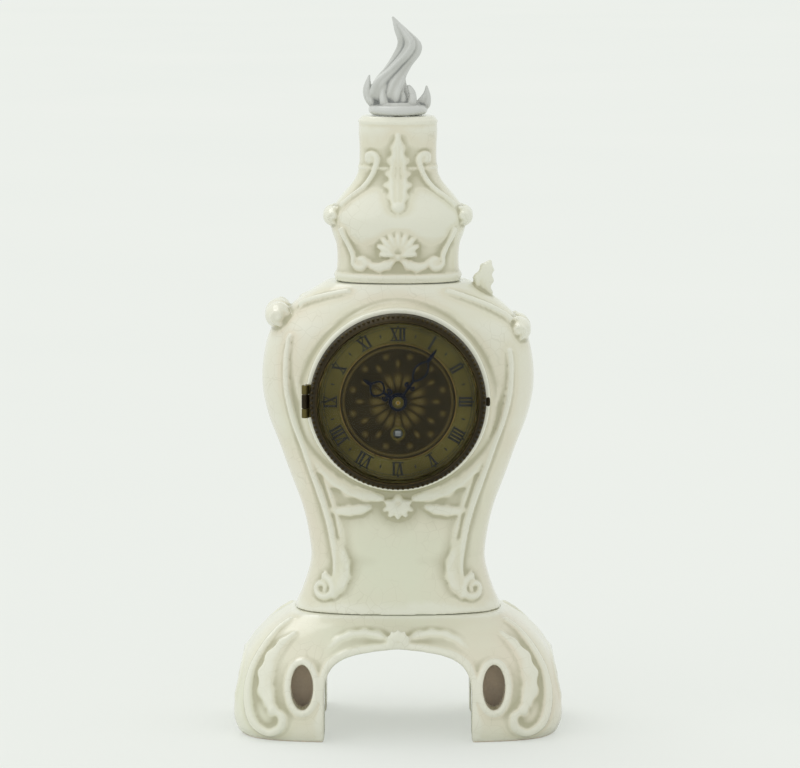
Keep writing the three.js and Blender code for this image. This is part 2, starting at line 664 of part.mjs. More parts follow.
function buildBase() {
  const stations = [
    [0, mix(FOOT_SIZE, SEAT_SIZE, 0.13)],
    [0.09, mix(FOOT_SIZE, SEAT_SIZE, 0.03)],
    [0.22, FOOT_SIZE],
    [0.44, mix(FOOT_SIZE, SEAT_SIZE, 0.09)],
    [0.64, mix(FOOT_SIZE, SEAT_SIZE, 0.22)],
    [0.78, mix(FOOT_SIZE, SEAT_SIZE, 0.42)],
    [0.9, mix(FOOT_SIZE, SEAT_SIZE, 0.7)],
    [1, SEAT_SIZE],
  ];
  const style = { power: 4, count: 24, levels: 9 };
  const outside = moulding(stations, BASE_HEIGHT, style);
  const [reachX, reachY] = FOOT_SIZE.map((half) => half + WALL);

  const arch = (halfWidth, height, foot) => {
    const [spring, shoulder, brow] = [0.5 * height, 0.9 * height, 0.95 * height];
    const haunch = 0.75 * halfWidth;
    const shape = new THREE.Shape();
    shape.moveTo(halfWidth, foot);
    shape.lineTo(halfWidth, spring);
    shape.bezierCurveTo(halfWidth, shoulder, haunch, brow, 0, height);
    shape.bezierCurveTo(-haunch, brow, -halfWidth, shoulder, -halfWidth, spring);
    shape.lineTo(-halfWidth, foot);
    return shape;
  };
  const archSteps = 6;
  const frontArch = plate(arch(ARCH_HALF_WIDTH, ARCH_HEIGHT, -WALL), -reachY, reachY, archSteps);
  const sideArch = plate(arch(SIDE_ARCH_HALF_WIDTH, SIDE_ARCH_HEIGHT, -WALL), -reachX, reachX, archSteps);
  sideArch.rotateZ(Math.PI / 2);

  const deckBottom = BASE_HEIGHT - DECK_THICKNESS;
  const deckHollow = block(
    [-ARCH_HALF_WIDTH + LEG_WALL / 2, -SIDE_ARCH_HALF_WIDTH + LEG_WALL / 2, SIDE_ARCH_HEIGHT / 2],
    [ARCH_HALF_WIDTH - LEG_WALL / 2, SIDE_ARCH_HALF_WIDTH - LEG_WALL / 2, deckBottom],
  );

  const innerX = ARCH_HALF_WIDTH + LEG_WALL;
  const innerY = SIDE_ARCH_HALF_WIDTH + LEG_WALL;
  const hollowOutline = [
    [innerY, -WALL],
    [innerY + LEG_HOLLOW_DEPTH, -WALL],
    [innerY + LEG_HOLLOW_DEPTH, LEG_HOLLOW_HEIGHT / 3],
    [innerY + LEG_HOLLOW_DEPTH / 3, LEG_HOLLOW_HEIGHT],
    [innerY, LEG_HOLLOW_HEIGHT],
  ];
  const eye = new THREE.Shape();
  const eyeOut = innerX + EYE_HALF_WIDTH;
  eye.absellipse(0, EYE_HEIGHT, EYE_HALF_WIDTH, EYE_HALF_HEIGHT, 0, 2 * Math.PI);
  const eyeHole = plate(eye, innerY + LEG_HOLLOW_DEPTH / 4, reachY, COARSE);

  const cuts = [frontArch, sideArch, deckHollow];
  for (const turn of [0, Math.PI]) {
    const hollows = [
      sideBar(hollowOutline, innerX, innerX + LEG_HOLLOW_WIDTH),
      sideBar(hollowOutline, -innerX - LEG_HOLLOW_WIDTH, -innerX),
      eyeHole.clone().translate(eyeOut, 0, 0),
      eyeHole.clone().translate(-eyeOut, 0, 0),
    ];
    for (const hollow of hollows) cuts.push(hollow.rotateZ(turn));
  }
  const boltHole = post(ROD_RADIUS + BORE_FIT, deckBottom - WALL, BASE_HEIGHT + WALL);
  for (const side of [-1, 1]) cuts.push(boltHole.clone().translate(side * BOLT_OUT, 0, 0));

  const places = placesOn(stations, BASE_HEIGHT, style);
  const relief = [];
  const beadLine = (halfWidth, height) =>
    arch(halfWidth + ARCH_BEAD, height + ARCH_BEAD, ARCH_BEAD).getSpacedPoints(ARCH_BEAD_STEPS);
  const rightLine = beadLine(SIDE_ARCH_HALF_WIDTH, SIDE_ARCH_HEIGHT).map((at) => places.side(at.x, at.y));
  const rightBead = bead(rightLine, new THREE.Vector3(1, 0, 0), ARCH_BEAD, ARCH_BEAD_STEPS);
  relief.push(rightBead, rightBead.clone().rotateZ(Math.PI));
  for (const facing of [-1, 1]) {
    const ahead = new THREE.Vector3(0, facing, 0);
    const line = beadLine(ARCH_HALF_WIDTH, ARCH_HEIGHT).map((at) => places.front(at.x, at.y, facing));
    relief.push(bead(line, ahead, ARCH_BEAD, ARCH_BEAD_STEPS));
    for (const side of [-1, 1]) {
      const onFront = ([x, z]) => places.front(side * x * FOOT_SIZE[0], z * BASE_HEIGHT, facing);
      const slanted = new THREE.Vector3(LEG_SLANT_SHARE * side, facing, 0).normalize();
      const taper = (share) => 1 - LEG_SCROLL_TAPER_SHARE * Math.abs(2 * share - 1);
      const girth = (share) => Array(2).fill(LEG_SCROLL * taper(share));
      const scroll = rib(LEG_SCROLL_SHARES.map(onFront), slanted, girth, LEG_SCROLL_STEPS);
      const rimLine = circle(0, 0, 1, COARSE).map((spot) => {
        const x = eyeOut + (EYE_HALF_WIDTH + EYE_RIM) * spot.x;
        return places.front(side * x, EYE_HEIGHT + (EYE_HALF_HEIGHT + EYE_RIM) * spot.y, facing);
      });
      const rimCurve = new THREE.CatmullRomCurve3(rimLine, true);
      const rim = new THREE.TubeGeometry(rimCurve, EYE_RIM_STEPS, EYE_RIM, RIB_SECTION.length, true);
      const kneeLeaf = leafRib(KNEE_LEAF_SHARES.map(onFront), slanted, KNEE_LEAF);
      relief.push(scroll, rim, kneeLeaf);
    }
  }
  return cut(join(outside, ...relief), ...cuts);
}

// Porcelain body: a waisted shell with a round boss front and back, scroll ears and a shoulder leaf

function buildBody() {
  const stations = [
    [0, SEAT_SIZE],
    [0.055, mix(SEAT_SIZE, WAIST_SIZE, 0.5)],
    [0.143, WAIST_SIZE],
    [0.215, mix(WAIST_SIZE, BELLY_SIZE, 0.03)],
    [0.31, mix(WAIST_SIZE, BELLY_SIZE, 0.17)],
    [0.41, mix(WAIST_SIZE, BELLY_SIZE, 0.42)],
    [0.505, mix(WAIST_SIZE, BELLY_SIZE, 0.65)],
    [0.595, mix(WAIST_SIZE, BELLY_SIZE, 0.88)],
    [0.69, BELLY_SIZE],
    [0.79, mix(BELLY_SIZE, SHOULDER_SIZE, 0.04)],
    [0.866, mix(BELLY_SIZE, SHOULDER_SIZE, 0.17)],
    [0.92, mix(BELLY_SIZE, SHOULDER_SIZE, 0.42)],
    [0.955, mix(BELLY_SIZE, SHOULDER_SIZE, 0.64)],
    [1, SHOULDER_SIZE],
  ];
  const style = { power: 2.6, count: 24, levels: 13 };
  const shell = moulding(stations, BODY_HEIGHT, style);
  const inside = moulding(stations, BODY_HEIGHT, { ...style, count: 16, levels: 7, inset: WALL });
  const room = block([-BELLY_SIZE[0], -BOSS_FACE, WALL], [BELLY_SIZE[0], BOSS_FACE, BODY_HEIGHT - WALL]);

  const axis = dialAxis - bodyBottom;
  const bossFlare = bossRadius + BOSS_FLARE;
  const bossFoot = 0.72 * BOSS_FACE;
  const bossOutline = [
    [0, -BOSS_FACE],
    [bossRadius, -BOSS_FACE],
    [bossRadius + 0.1 * BOSS_FLARE, mix([-BOSS_FACE], [-bossFoot], 0.4)[0]],
    [bossRadius + 0.4 * BOSS_FLARE, mix([-BOSS_FACE], [-bossFoot], 0.75)[0]],
    [bossFlare, -bossFoot],
    [bossFlare, 0],
    [0, 0],
  ];
  const frontBoss = turned(bossOutline, FINE).translate(0, 0, axis);
  const rearBoss = frontBoss.clone().rotateZ(Math.PI);
  const reach = BOSS_FACE + WALL;
  const throughBore = rod(bossBore, -reach, reach, FINE).translate(0, 0, axis);

  const ear = scrollEar(SHOULDER_EAR_RADIUS, SHOULDER_EAR_HALF_LENGTH);
  const leftEar = ear.clone().translate(-SHOULDER_EAR_OUT, 0, BODY_HEIGHT - LEFT_EAR_DROP);
  const rightEar = ear.clone().translate(SHOULDER_EAR_OUT, 0, BODY_HEIGHT - RIGHT_EAR_DROP);
  const leaf = new THREE.SphereGeometry(1, 10, 8).rotateX(Math.PI / 2).scale(...LEAF_SIZE);
  leaf.translate(LEAF_OUT, -LEAF_SIZE[1], BODY_HEIGHT);

  const holes = [post(ROD_RADIUS + BORE_FIT, BODY_HEIGHT - 2 * WALL, BODY_HEIGHT + WALL)];
  for (const side of [-1, 1]) {
    holes.push(post(ROD_RADIUS + BORE_FIT, -WALL, 2 * WALL).translate(side * BOLT_OUT, 0, 0));
  }

  const places = placesOn(stations, BODY_HEIGHT, style);
  const relief = [];
  const shares = Array.from({ length: COARSE + 1 }, (_, i) => i / COARSE);
  for (const facing of [-1, 1]) {
    for (const [side, drop] of [[-1, LEFT_EAR_DROP], [1, RIGHT_EAR_DROP]]) {
      const earHeight = BODY_HEIGHT - drop;
      const slanted = new THREE.Vector3(side, facing, 0).normalize();
      const ahead = new THREE.Vector3(WAIST_SLANT_SHARE * side, facing, 0).normalize();
      const [low, high] = [CORNER_BEAD_START_SHARE * BODY_HEIGHT, earHeight - SHOULDER_EAR_RADIUS];
      const cornerLine = shares.map((share) => {
        const turn = THREE.MathUtils.lerp(...CORNER_BEAD_ANGLES.map(radians), share);
        return places.corner(turn, THREE.MathUtils.lerp(low, high, share), side, facing);
      });
      relief.push(bead(cornerLine, slanted, CORNER_BEAD, CORNER_BEAD_STEPS));

      const [curlX, curlZ] = [FOOT_CURL_SHARES[0] * SEAT_SIZE[0], FOOT_CURL_SHARES[1] * BODY_HEIGHT];
      const curlLine = shares.map((share) => {
        const radius = FOOT_CURL_RADIUS * (1 - FOOT_CURL_WINDING_SHARE * share);
        const spot = polar(radius, (0.5 + 2 * share) * Math.PI);
        return places.front(side * (curlX + spot.x), curlZ + spot.y, facing);
      });
      relief.push(bead(curlLine, ahead, FOOT_CURL, FOOT_CURL_STEPS));

      const onShoulder = ([x, z]) => places.front(side * x * BELLY_SIZE[0], z * BODY_HEIGHT, facing);
      const earTop = earHeight + 0.7 * SHOULDER_EAR_RADIUS;
      const shoulderStart = places.corner(radians(SHOULDER_BEAD_ANGLE), earTop, side, facing);
      const shoulderLine = [shoulderStart, ...SHOULDER_SHARES.map(onShoulder)];
      relief.push(bead(shoulderLine, ahead, SHOULDER_BEAD, SHOULDER_BEAD_STEPS));
    }
  }
  for (const side of [-1, 1]) {
    const sprayLine = shares.map((share) => {
      const turn = radians(90 - THREE.MathUtils.lerp(...SPRAY_ANGLES, share));
      const spot = polar(bossRadius + SPRAY_STANDOFF, turn);
      return places.front(side * spot.x, axis + spot.y, -1);
    });
    const ahead = new THREE.Vector3(WAIST_SLANT_SHARE * side, -1, 0).normalize();
    relief.push(leafRib(sprayLine, ahead, SPRAY_LEAF));
  }
  const outside = join(shell, frontBoss, rearBoss, leftEar, rightEar, leaf, ...relief);
  return cut(outside, common(inside, room), throughBore, ...holes);
}

// Porcelain crest: a hollow cap with a swelling brow, scroll ears and a neck that carries the finial

function buildCrest() {
  const stations = [
    [0, CREST_FOOT_SIZE],
    [0.1, mix(CREST_FOOT_SIZE, CREST_BROW_SIZE, -0.5)],
    [0.22, mix(CREST_FOOT_SIZE, CREST_BROW_SIZE, -0.3)],
    [0.3, mix(CREST_FOOT_SIZE, CREST_BROW_SIZE, 0.7)],
    [0.39, CREST_BROW_SIZE],
    [0.47, mix(CREST_BROW_SIZE, NECK_SIZE, 0.2)],
    [0.53, mix(CREST_BROW_SIZE, NECK_SIZE, 0.45)],
    [0.59, mix(CREST_BROW_SIZE, NECK_SIZE, 0.75)],
    [0.66, mix(CREST_BROW_SIZE, NECK_SIZE, 0.95)],
    [0.8, NECK_SIZE],
    [0.93, mix(NECK_SIZE, CREST_BROW_SIZE, 0.03)],
    [1, mix(NECK_SIZE, CREST_BROW_SIZE, -0.08)],
  ];
  const style = { power: 2.4, count: 20, levels: 12 };
  const shell = moulding(stations, CREST_HEIGHT, style);
  const inside = moulding(stations, CREST_HEIGHT, { ...style, count: 12, levels: 6, inset: WALL });
  const reach = CREST_BROW_SIZE[0];
  const room = block([-reach, -reach, -WALL], [reach, reach, CREST_HEIGHT - 2 * WALL]);
  const mouth = skin([-WALL, WALL].map((height) => {
    const [halfWidth, halfDepth] = mix(CREST_FOOT_SIZE, CREST_BROW_SIZE, -0.5);
    return softRing(halfWidth - WALL, halfDepth - WALL, height, style.power, 12);
  }));
  const ear = scrollEar(CREST_EAR_RADIUS, CREST_EAR_HALF_LENGTH);
  ear.translate(0, 0, CREST_EAR_SHARE * CREST_HEIGHT);
  const ears = [-1, 1].map((side) => ear.clone().translate(side * CREST_EAR_OUT, 0, 0));
  const outside = join(shell, ...ears);
  const rodHole = post(ROD_RADIUS + BORE_FIT, CREST_HEIGHT - 3 * WALL, CREST_HEIGHT + WALL);
  return cut(outside, common(inside, room), mouth, rodHole);
}

// Finial: a twisted grey flame with a smaller tongue on each side, on a moulded foot

function flame(stations, height, lobes, twist, count) {
  const knots = stations.map(([share, shift, radius]) => new THREE.Vector3(shift, radius, share * height));
  const spine = new THREE.CatmullRomCurve3(knots).getPoints(stations.length + 4);
  return skin(spine.map((at) => {
    const ring = [];
    for (let i = 0; i < count; i += 1) {
      const angle = (i / count) * 2 * Math.PI;
      const turn = (at.z / height) * twist;
      const flute = 1 + FLAME_FLUTING * Math.cos(lobes * (angle - turn));
      const spot = polar(Math.max(at.y, FLAME_LEAST_RADIUS) * flute, angle);
      ring.push(new THREE.Vector3(at.x + spot.x, FLAME_FLATTENING * spot.y, at.z));
    }
    return ring;
  }));
}

function buildFinial() {
  const footRadius = NECK_SIZE[1] - SEAM;
  const foot = upright(turned([
    [0, 0],
    [0.8 * footRadius, 0],
    [footRadius, 0.35 * FINIAL_FOOT_HEIGHT],
    [0.95 * footRadius, 0.75 * FINIAL_FOOT_HEIGHT],
    [0.7 * footRadius, FINIAL_FOOT_HEIGHT],
    [0, FINIAL_FOOT_HEIGHT],
  ], MEDIUM));
  const flameBottom = FINIAL_FOOT_HEIGHT / 2;
  const flameHeight = FINIAL_HEIGHT - flameBottom;
  const body = flame([
    [0, -1, 8.5],
    [0.14, -4, 10.2],
    [0.3, -4.5, 9.4],
    [0.45, 0, 6.8],
    [0.6, 5, 6.6],
    [0.72, 6, 5.6],
    [0.86, 1.5, 3.6],
    [1, -3, 0.6],
  ], flameHeight, 4, 2.4, 14).translate(0, 0, flameBottom);
  const leftTongue = flame([
    [0, 0, 4.2],
    [0.35, -2.5, 4],
    [0.7, -2.5, 2.4],
    [1, 0.5, 0.6],
  ], LEFT_TONGUE_HEIGHT, 3, 1.2, 12).rotateY(LEFT_TONGUE_LEAN).translate(-TONGUE_OUT, 0, flameBottom);
  const rightTongue = flame([
    [0, 0, 4],
    [0.35, 2.5, 3.6],
    [0.7, 2.2, 2.2],
    [1, -0.5, 0.6],
  ], RIGHT_TONGUE_HEIGHT, 3, -1.2, 12).rotateY(RIGHT_TONGUE_LEAN).translate(TONGUE_OUT, 0, flameBottom);
  const socket = post(ROD_RADIUS + BORE_FIT, -WALL, FINIAL_GRIP + SEAM);
  return cut(join(foot, body, leftTongue, rightTongue), socket);
}

const hexNut = (bottom, top) =>
  cut(post(NUT_RADIUS, bottom, top, 6), post(ROD_RADIUS + SHAKE, bottom - WALL, top + WALL));

function buildCase() {
  add(clock, "base", buildBase(), CREAM_GLAZE);
  const body = addGroup(clock, 0, 0, bodyBottom);
  add(body, "case_body", buildBody(), CREAM_GLAZE);
  const crest = addGroup(clock, 0, 0, crestBottom);
  add(crest, "crest", buildCrest(), CREAM_GLAZE);
  const finial = addGroup(clock, 0, 0, finialBottom);
  add(finial, "finial", buildFinial(), GREY_GLAZE);

  const washerTop = bodyTop - WALL - SEAM;
  const nutTop = washerTop - WASHER_HEIGHT - SEAM;
  const washer = cut(
    post(WASHER_RADIUS, washerTop - WASHER_HEIGHT, washerTop, MEDIUM),
    post(ROD_RADIUS + SHAKE, washerTop - WALL, washerTop + WALL),
  );
  add(clock, "finial_washer", washer, STEEL);
  add(clock, "finial_nut", hexNut(nutTop - NUT_HEIGHT, nutTop), STEEL);
  const rodBottom = nutTop - NUT_HEIGHT - ROD_RADIUS;
  add(clock, "finial_rod", post(ROD_RADIUS, rodBottom, finialBottom + FINIAL_GRIP), STEEL);

  const boltHeadTop = BASE_HEIGHT - DECK_THICKNESS - SEAM;
  const nutBottom = bodyBottom + WALL + SEAM;
  for (const [side, name] of [[-1, "left"], [1, "right"]]) {
    const place = addGroup(clock, side * BOLT_OUT, 0, 0);
    const bolt = join(
      post(NUT_RADIUS, boltHeadTop - NUT_HEIGHT, boltHeadTop, 6),
      post(ROD_RADIUS, boltHeadTop - OVERCUT, nutBottom + NUT_HEIGHT + OVERCUT),
    );
    add(place, `base_bolt_${name}`, bolt, STEEL);
    add(place, `base_nut_${name}`, hexNut(nutBottom, nutBottom + NUT_HEIGHT), STEEL);
  }
}

// Rings, doors, dial and hands, all about the dial's axis

const dialGroup = addGroup(clock, 0, 0, dialAxis);

// Upright hinge barrels, each with a leaf that reaches in to the ring or door that it belongs to
function withKnuckles(geometry, hinge, spans, leafLow, leafHigh) {
  const solids = [];
  const bores = [];
  for (const [bottom, top] of spans) {
    const barrel = post(KNUCKLE_RADIUS, bottom, top, MEDIUM);
    const leaf = block([...leafLow, bottom], [...leafHigh, top]);
    const bore = post(HINGE_PIN_RADIUS + SHAKE, bottom - OVERCUT, top + OVERCUT);
    solids.push(barrel.translate(hinge.x, hinge.y, 0), leaf.translate(hinge.x, hinge.y, 0));
    bores.push(bore.translate(hinge.x, hinge.y, 0));
  }
  return cut(join(geometry, ...solids), ...bores);
}

const doorKnuckle = [[-DOOR_KNUCKLE_HALF, DOOR_KNUCKLE_HALF]];
const ringKnuckles = [-1, 1].map((side) => {
  const near = side * (DOOR_KNUCKLE_HALF + SEAM);
  const far = side * (DOOR_KNUCKLE_HALF + SEAM + RING_KNUCKLE_LENGTH);
  return [Math.min(near, far), Math.max(near, far)];
});
const hingePinHalf = DOOR_KNUCKLE_HALF + SEAM + RING_KNUCKLE_LENGTH + SEAM;
const bezelHinge = { x: -hingeOut, y: flangeFront - KNUCKLE_RADIUS + SEAM };
const backHinge = { x: hingeOut, y: BOSS_FACE + SEAM + FLANGE_THICKNESS + KNUCKLE_RADIUS - SEAM };
const leafReach = hingeOut - flangeRadius + KNUCKLE_RADIUS;

function buildFront() {
  const ring = turned([
    [spigotInside, flangeFront],
    [flangeRadius, flangeFront],
    [flangeRadius, flangeBack],
    [spigotOutside, flangeBack],
    [spigotOutside, flangeBack + SPIGOT_LENGTH],
    [spigotInside, flangeBack + SPIGOT_LENGTH],
  ], FINE);
  const ringLeafLow = [0, flangeFront - bezelHinge.y];
  const ringLeafHigh = [leafReach, flangeBack - bezelHinge.y];
  const frontRing = withKnuckles(ring, bezelHinge, ringKnuckles, ringLeafLow, ringLeafHigh);
  add(dialGroup, "front_ring", frontRing, BRASS);

  const bezelBack = dialBack;
  const bezelFront = bezelBack - BEZEL_DEPTH;
  const lipInside = glassRadius - BEZEL_LIP + BORE_FIT;
  const lipBack = bezelFront + BEZEL_LIP;
  const bezel = turned([
    [bezelInside, bezelBack],
    [bezelOutside, bezelBack],
    [bezelOutside, bezelBack - 0.35 * BEZEL_DEPTH],
    [bezelOutside - 0.35 * BEZEL_WALL, bezelBack - 0.75 * BEZEL_DEPTH],
    [bezelInside, bezelFront],
    [lipInside, bezelFront],
    [lipInside, lipBack],
    [bezelInside, lipBack],
  ], FINE);
  const tabBack = bezelBack - BEZEL_TAB_SETBACK;
  const tab = block(
    [bezelOutside - OVERCUT, tabBack - BEZEL_TAB_THICKNESS, -BEZEL_TAB_HALF_LENGTH],
    [bezelOutside + BEZEL_TAB_REACH, tabBack, BEZEL_TAB_HALF_LENGTH],
  );
  const bezelLeafHigh = [hingeOut - bezelOutside + BEZEL_WALL / 2, bezelBack - bezelHinge.y];
  const bezelLeafLow = [0, bezelLeafHigh[1] - KNUCKLE_RADIUS];
  const bezelDoor = withKnuckles(join(bezel, tab), bezelHinge, doorKnuckle, bezelLeafLow, bezelLeafHigh);
  add(dialGroup, "bezel_door", bezelDoor, DARK_BRONZE);
  const pin = post(HINGE_PIN_RADIUS, -hingePinHalf, hingePinHalf);
  add(dialGroup, "bezel_hinge_pin", pin, STEEL).position.set(bezelHinge.x, bezelHinge.y, 0);

  const rimFront = lipBack + SEAM;
  const domeRadius = lipInside - BORE_FIT;
  const dome = (rise) => {
    const points = [];
    for (const share of [0, 0.45, 0.75, 1]) {
      points.push([share * domeRadius, rimFront - rise * (1 - share ** 2)]);
    }
    return points;
  };
  const backOfGlass = dome(GLASS_RISE).map(([radius, y]) => [radius, y + GLASS_THICKNESS]);
  const glass = turned([
    ...dome(GLASS_RISE),
    [glassRadius, rimFront],
    [glassRadius, rimFront + GLASS_THICKNESS],
    ...backOfGlass.reverse(),
  ], FINE);
  add(dialGroup, "dial_glass", glass, GLASS);
  const retainerFront = rimFront + GLASS_THICKNESS + SEAM;
  const retainer = tube(domeRadius, glassRadius, retainerFront, retainerFront + CHAPTER_THICKNESS, FINE);
  add(dialGroup, "glass_retainer", retainer, BRASS);
}

function buildDial() {
  const hourPipeOutside = CANNON_PIPE_RADIUS + BORE_FIT + HOUR_PIPE_WALL;
  const holes = [
    { ...CENTRE, radius: hourPipeOutside + BORE_FIT, segments: COARSE },
    { ...barrelAt, radius: WINDING_HOLE_RADIUS, segments: COARSE },
  ];
  add(dialGroup, "dial_plate", plate(disc(dialRadius, holes), dialFront, dialBack), BRASS);
  const centreFront = chapterBack - CHAPTER_THICKNESS / 2;
  const centre = plate(disc(chapterInside - BORE_FIT, holes), centreFront, chapterBack);
  add(dialGroup, "dial_centre", centre, DARK_BRONZE);
  const chapter = tube(chapterInside, chapterOutside, chapterFront, chapterBack, FINE);
  add(dialGroup, "chapter_ring", chapter, AGED_BRASS);
  for (const [i, angle] of dialFootAngles.entries()) {
    const foot = rod(DIAL_FOOT_RADIUS, dialBack + SEAM, frontPlateBack - SEAM);
    const spot = polar(pillarCircle, angle);
    add(dialGroup, `dial_foot_${i + 1}`, foot, BRASS).position.set(spot.x, 0, spot.y);
  }
}

// A tapering hand with a leaf-shaped swelling, drawn pointing at twelve
function buildHand({ length, hubInside, hubWall, width, swelling, front }) {
  const hubOutside = hubInside + hubWall;
  const swellStart = length * 0.55;
  const swellMiddle = length * 0.68;
  const swellEnd = length * 0.86;
  const blade = new THREE.Shape();
  blade.moveTo(-width / 2, hubInside + hubWall / 2);
  blade.lineTo(-width / 3, swellStart);
  blade.quadraticCurveTo(-swelling, swellStart, -swelling, swellMiddle);
  blade.quadraticCurveTo(-swelling / 2, swellEnd, -width / 4, swellEnd);
  blade.lineTo(0, length);
  blade.lineTo(width / 4, swellEnd);
  blade.quadraticCurveTo(swelling / 2, swellEnd, swelling, swellMiddle);
  blade.quadraticCurveTo(swelling, swellStart, width / 3, swellStart);
  blade.lineTo(width / 2, hubInside + hubWall / 2);
  const hub = disc(hubOutside, [{ ...CENTRE, radius: hubInside, segments: MEDIUM }], MEDIUM);
  const back = front + HAND_THICKNESS;
  return join(plate(hub, front, back), plate(blade, front, back, 4));
}

function buildHands() {
  const hourHand = buildHand({
    length: HOUR_HAND_LENGTH,
    hubInside: CANNON_PIPE_RADIUS + BORE_FIT + HOUR_PIPE_WALL + SEAM,
    hubWall: HOUR_HAND_HUB_WALL,
    width: HOUR_HAND_WIDTH,
    swelling: HOUR_HAND_SWELLING,
    front: hourHandFront,
  });
  add(dialGroup, "hour_hand", hourHand, BLUED_STEEL).rotation.y = radians(HOUR_HAND_ANGLE);
  const minuteHand = buildHand({
    length: MINUTE_HAND_LENGTH,
    hubInside: CANNON_PIPE_RADIUS + SEAM,
    hubWall: MINUTE_HAND_HUB_WALL,
    width: MINUTE_HAND_WIDTH,
    swelling: MINUTE_HAND_SWELLING,
    front: minuteHandFront,
  });
  add(dialGroup, "minute_hand", minuteHand, BLUED_STEEL).rotation.y = radians(MINUTE_HAND_ANGLE);
  const nutBore = CENTRE_ARBOR_RADIUS + SHAKE;
  const nut = turned([
    [nutBore, handNutBack],
    [nutBore + HAND_NUT_WALL, handNutBack],
    [nutBore + 0.8 * HAND_NUT_WALL, (handNutBack + handNutFront) / 2],
    [nutBore + 0.4 * HAND_NUT_WALL, handNutFront],
    [nutBore, handNutFront],
  ], MEDIUM);
  add(dialGroup, "hand_nut", nut, BRASS);
}

// Movement plates, pillars and the studs that stand on the front plate

const pillarAngles = [45, 135, 225, 315].map(radians);
const dialFootAngles = [15, 105, 255].map(radians);
const clickPivot = {
  x: barrelAt.x + CLICK_OUT * RATCHET_RADIUS,
  z: barrelAt.z - CLICK_DROP * RATCHET_RADIUS,
};

function buildPlates() {
  const pivotHole = (at, radius) => ({ ...at, radius: radius + SHAKE });
  const onCircle = (angle, radius) => {
    const spot = polar(pillarCircle, angle);
    return { x: spot.x, z: spot.y, radius };
  };
  const shared = [
    pivotHole(CENTRE, CENTRE_ARBOR_RADIUS),
    pivotHole(barrelAt, BARREL_ARBOR_RADIUS),
    pivotHole(thirdAt, THIRD_ARBOR_RADIUS),
    pivotHole(escapeAt, ESCAPE_ARBOR_RADIUS),
    pivotHole(palletAt, PALLET_ARBOR_RADIUS),
    ...pillarAngles.map((angle) => onCircle(angle, PILLAR_NECK_RADIUS + SHAKE)),
  ];
  const feet = dialFootAngles.map((angle) => onCircle(angle, DIAL_FOOT_RADIUS + BORE_FIT));
  const studDepth = PLATE_THICKNESS / 2;
  const minuteStud = rod(MINUTE_STUD_RADIUS, minutePinionFront - 3 * SEAM, frontPlateFront + studDepth);
  const clickStud = rod(CLICK_STUD_RADIUS, ratchetFront - SEAM, frontPlateFront + studDepth);
  const frontPlate = join(
    plate(disc(plateRadius, [...shared, ...feet]), frontPlateFront, frontPlateBack),
    minuteStud.translate(minuteAt.x, 0, minuteAt.z),
    clickStud.translate(clickPivot.x, 0, clickPivot.z),
  );
  add(dialGroup, "front_plate", frontPlate, BRASS);
  add(dialGroup, "back_plate", plate(disc(plateRadius, shared), backPlateFront, backPlateBack), BRASS);
  for (const [i, angle] of pillarAngles.entries()) {
    const [front, back] = [frontPlateBack + SEAM, backPlateFront - SEAM];
    const middle = (front + back) / 2;
    const pillar = turned([
      [0, pivotFront],
      [PILLAR_NECK_RADIUS, pivotFront],
      [PILLAR_NECK_RADIUS, front],
      [PILLAR_RADIUS, front],
      [0.75 * PILLAR_RADIUS, middle],
      [PILLAR_RADIUS, back],
      [PILLAR_NECK_RADIUS, back],
      [PILLAR_NECK_RADIUS, pivotBack],
      [0, pivotBack],
    ], COARSE);
    const spot = polar(pillarCircle, angle);
    add(dialGroup, `pillar_${i + 1}`, pillar, BRASS).position.set(spot.x, 0, spot.y);
  }
}

// Barrel with its spring and winding work

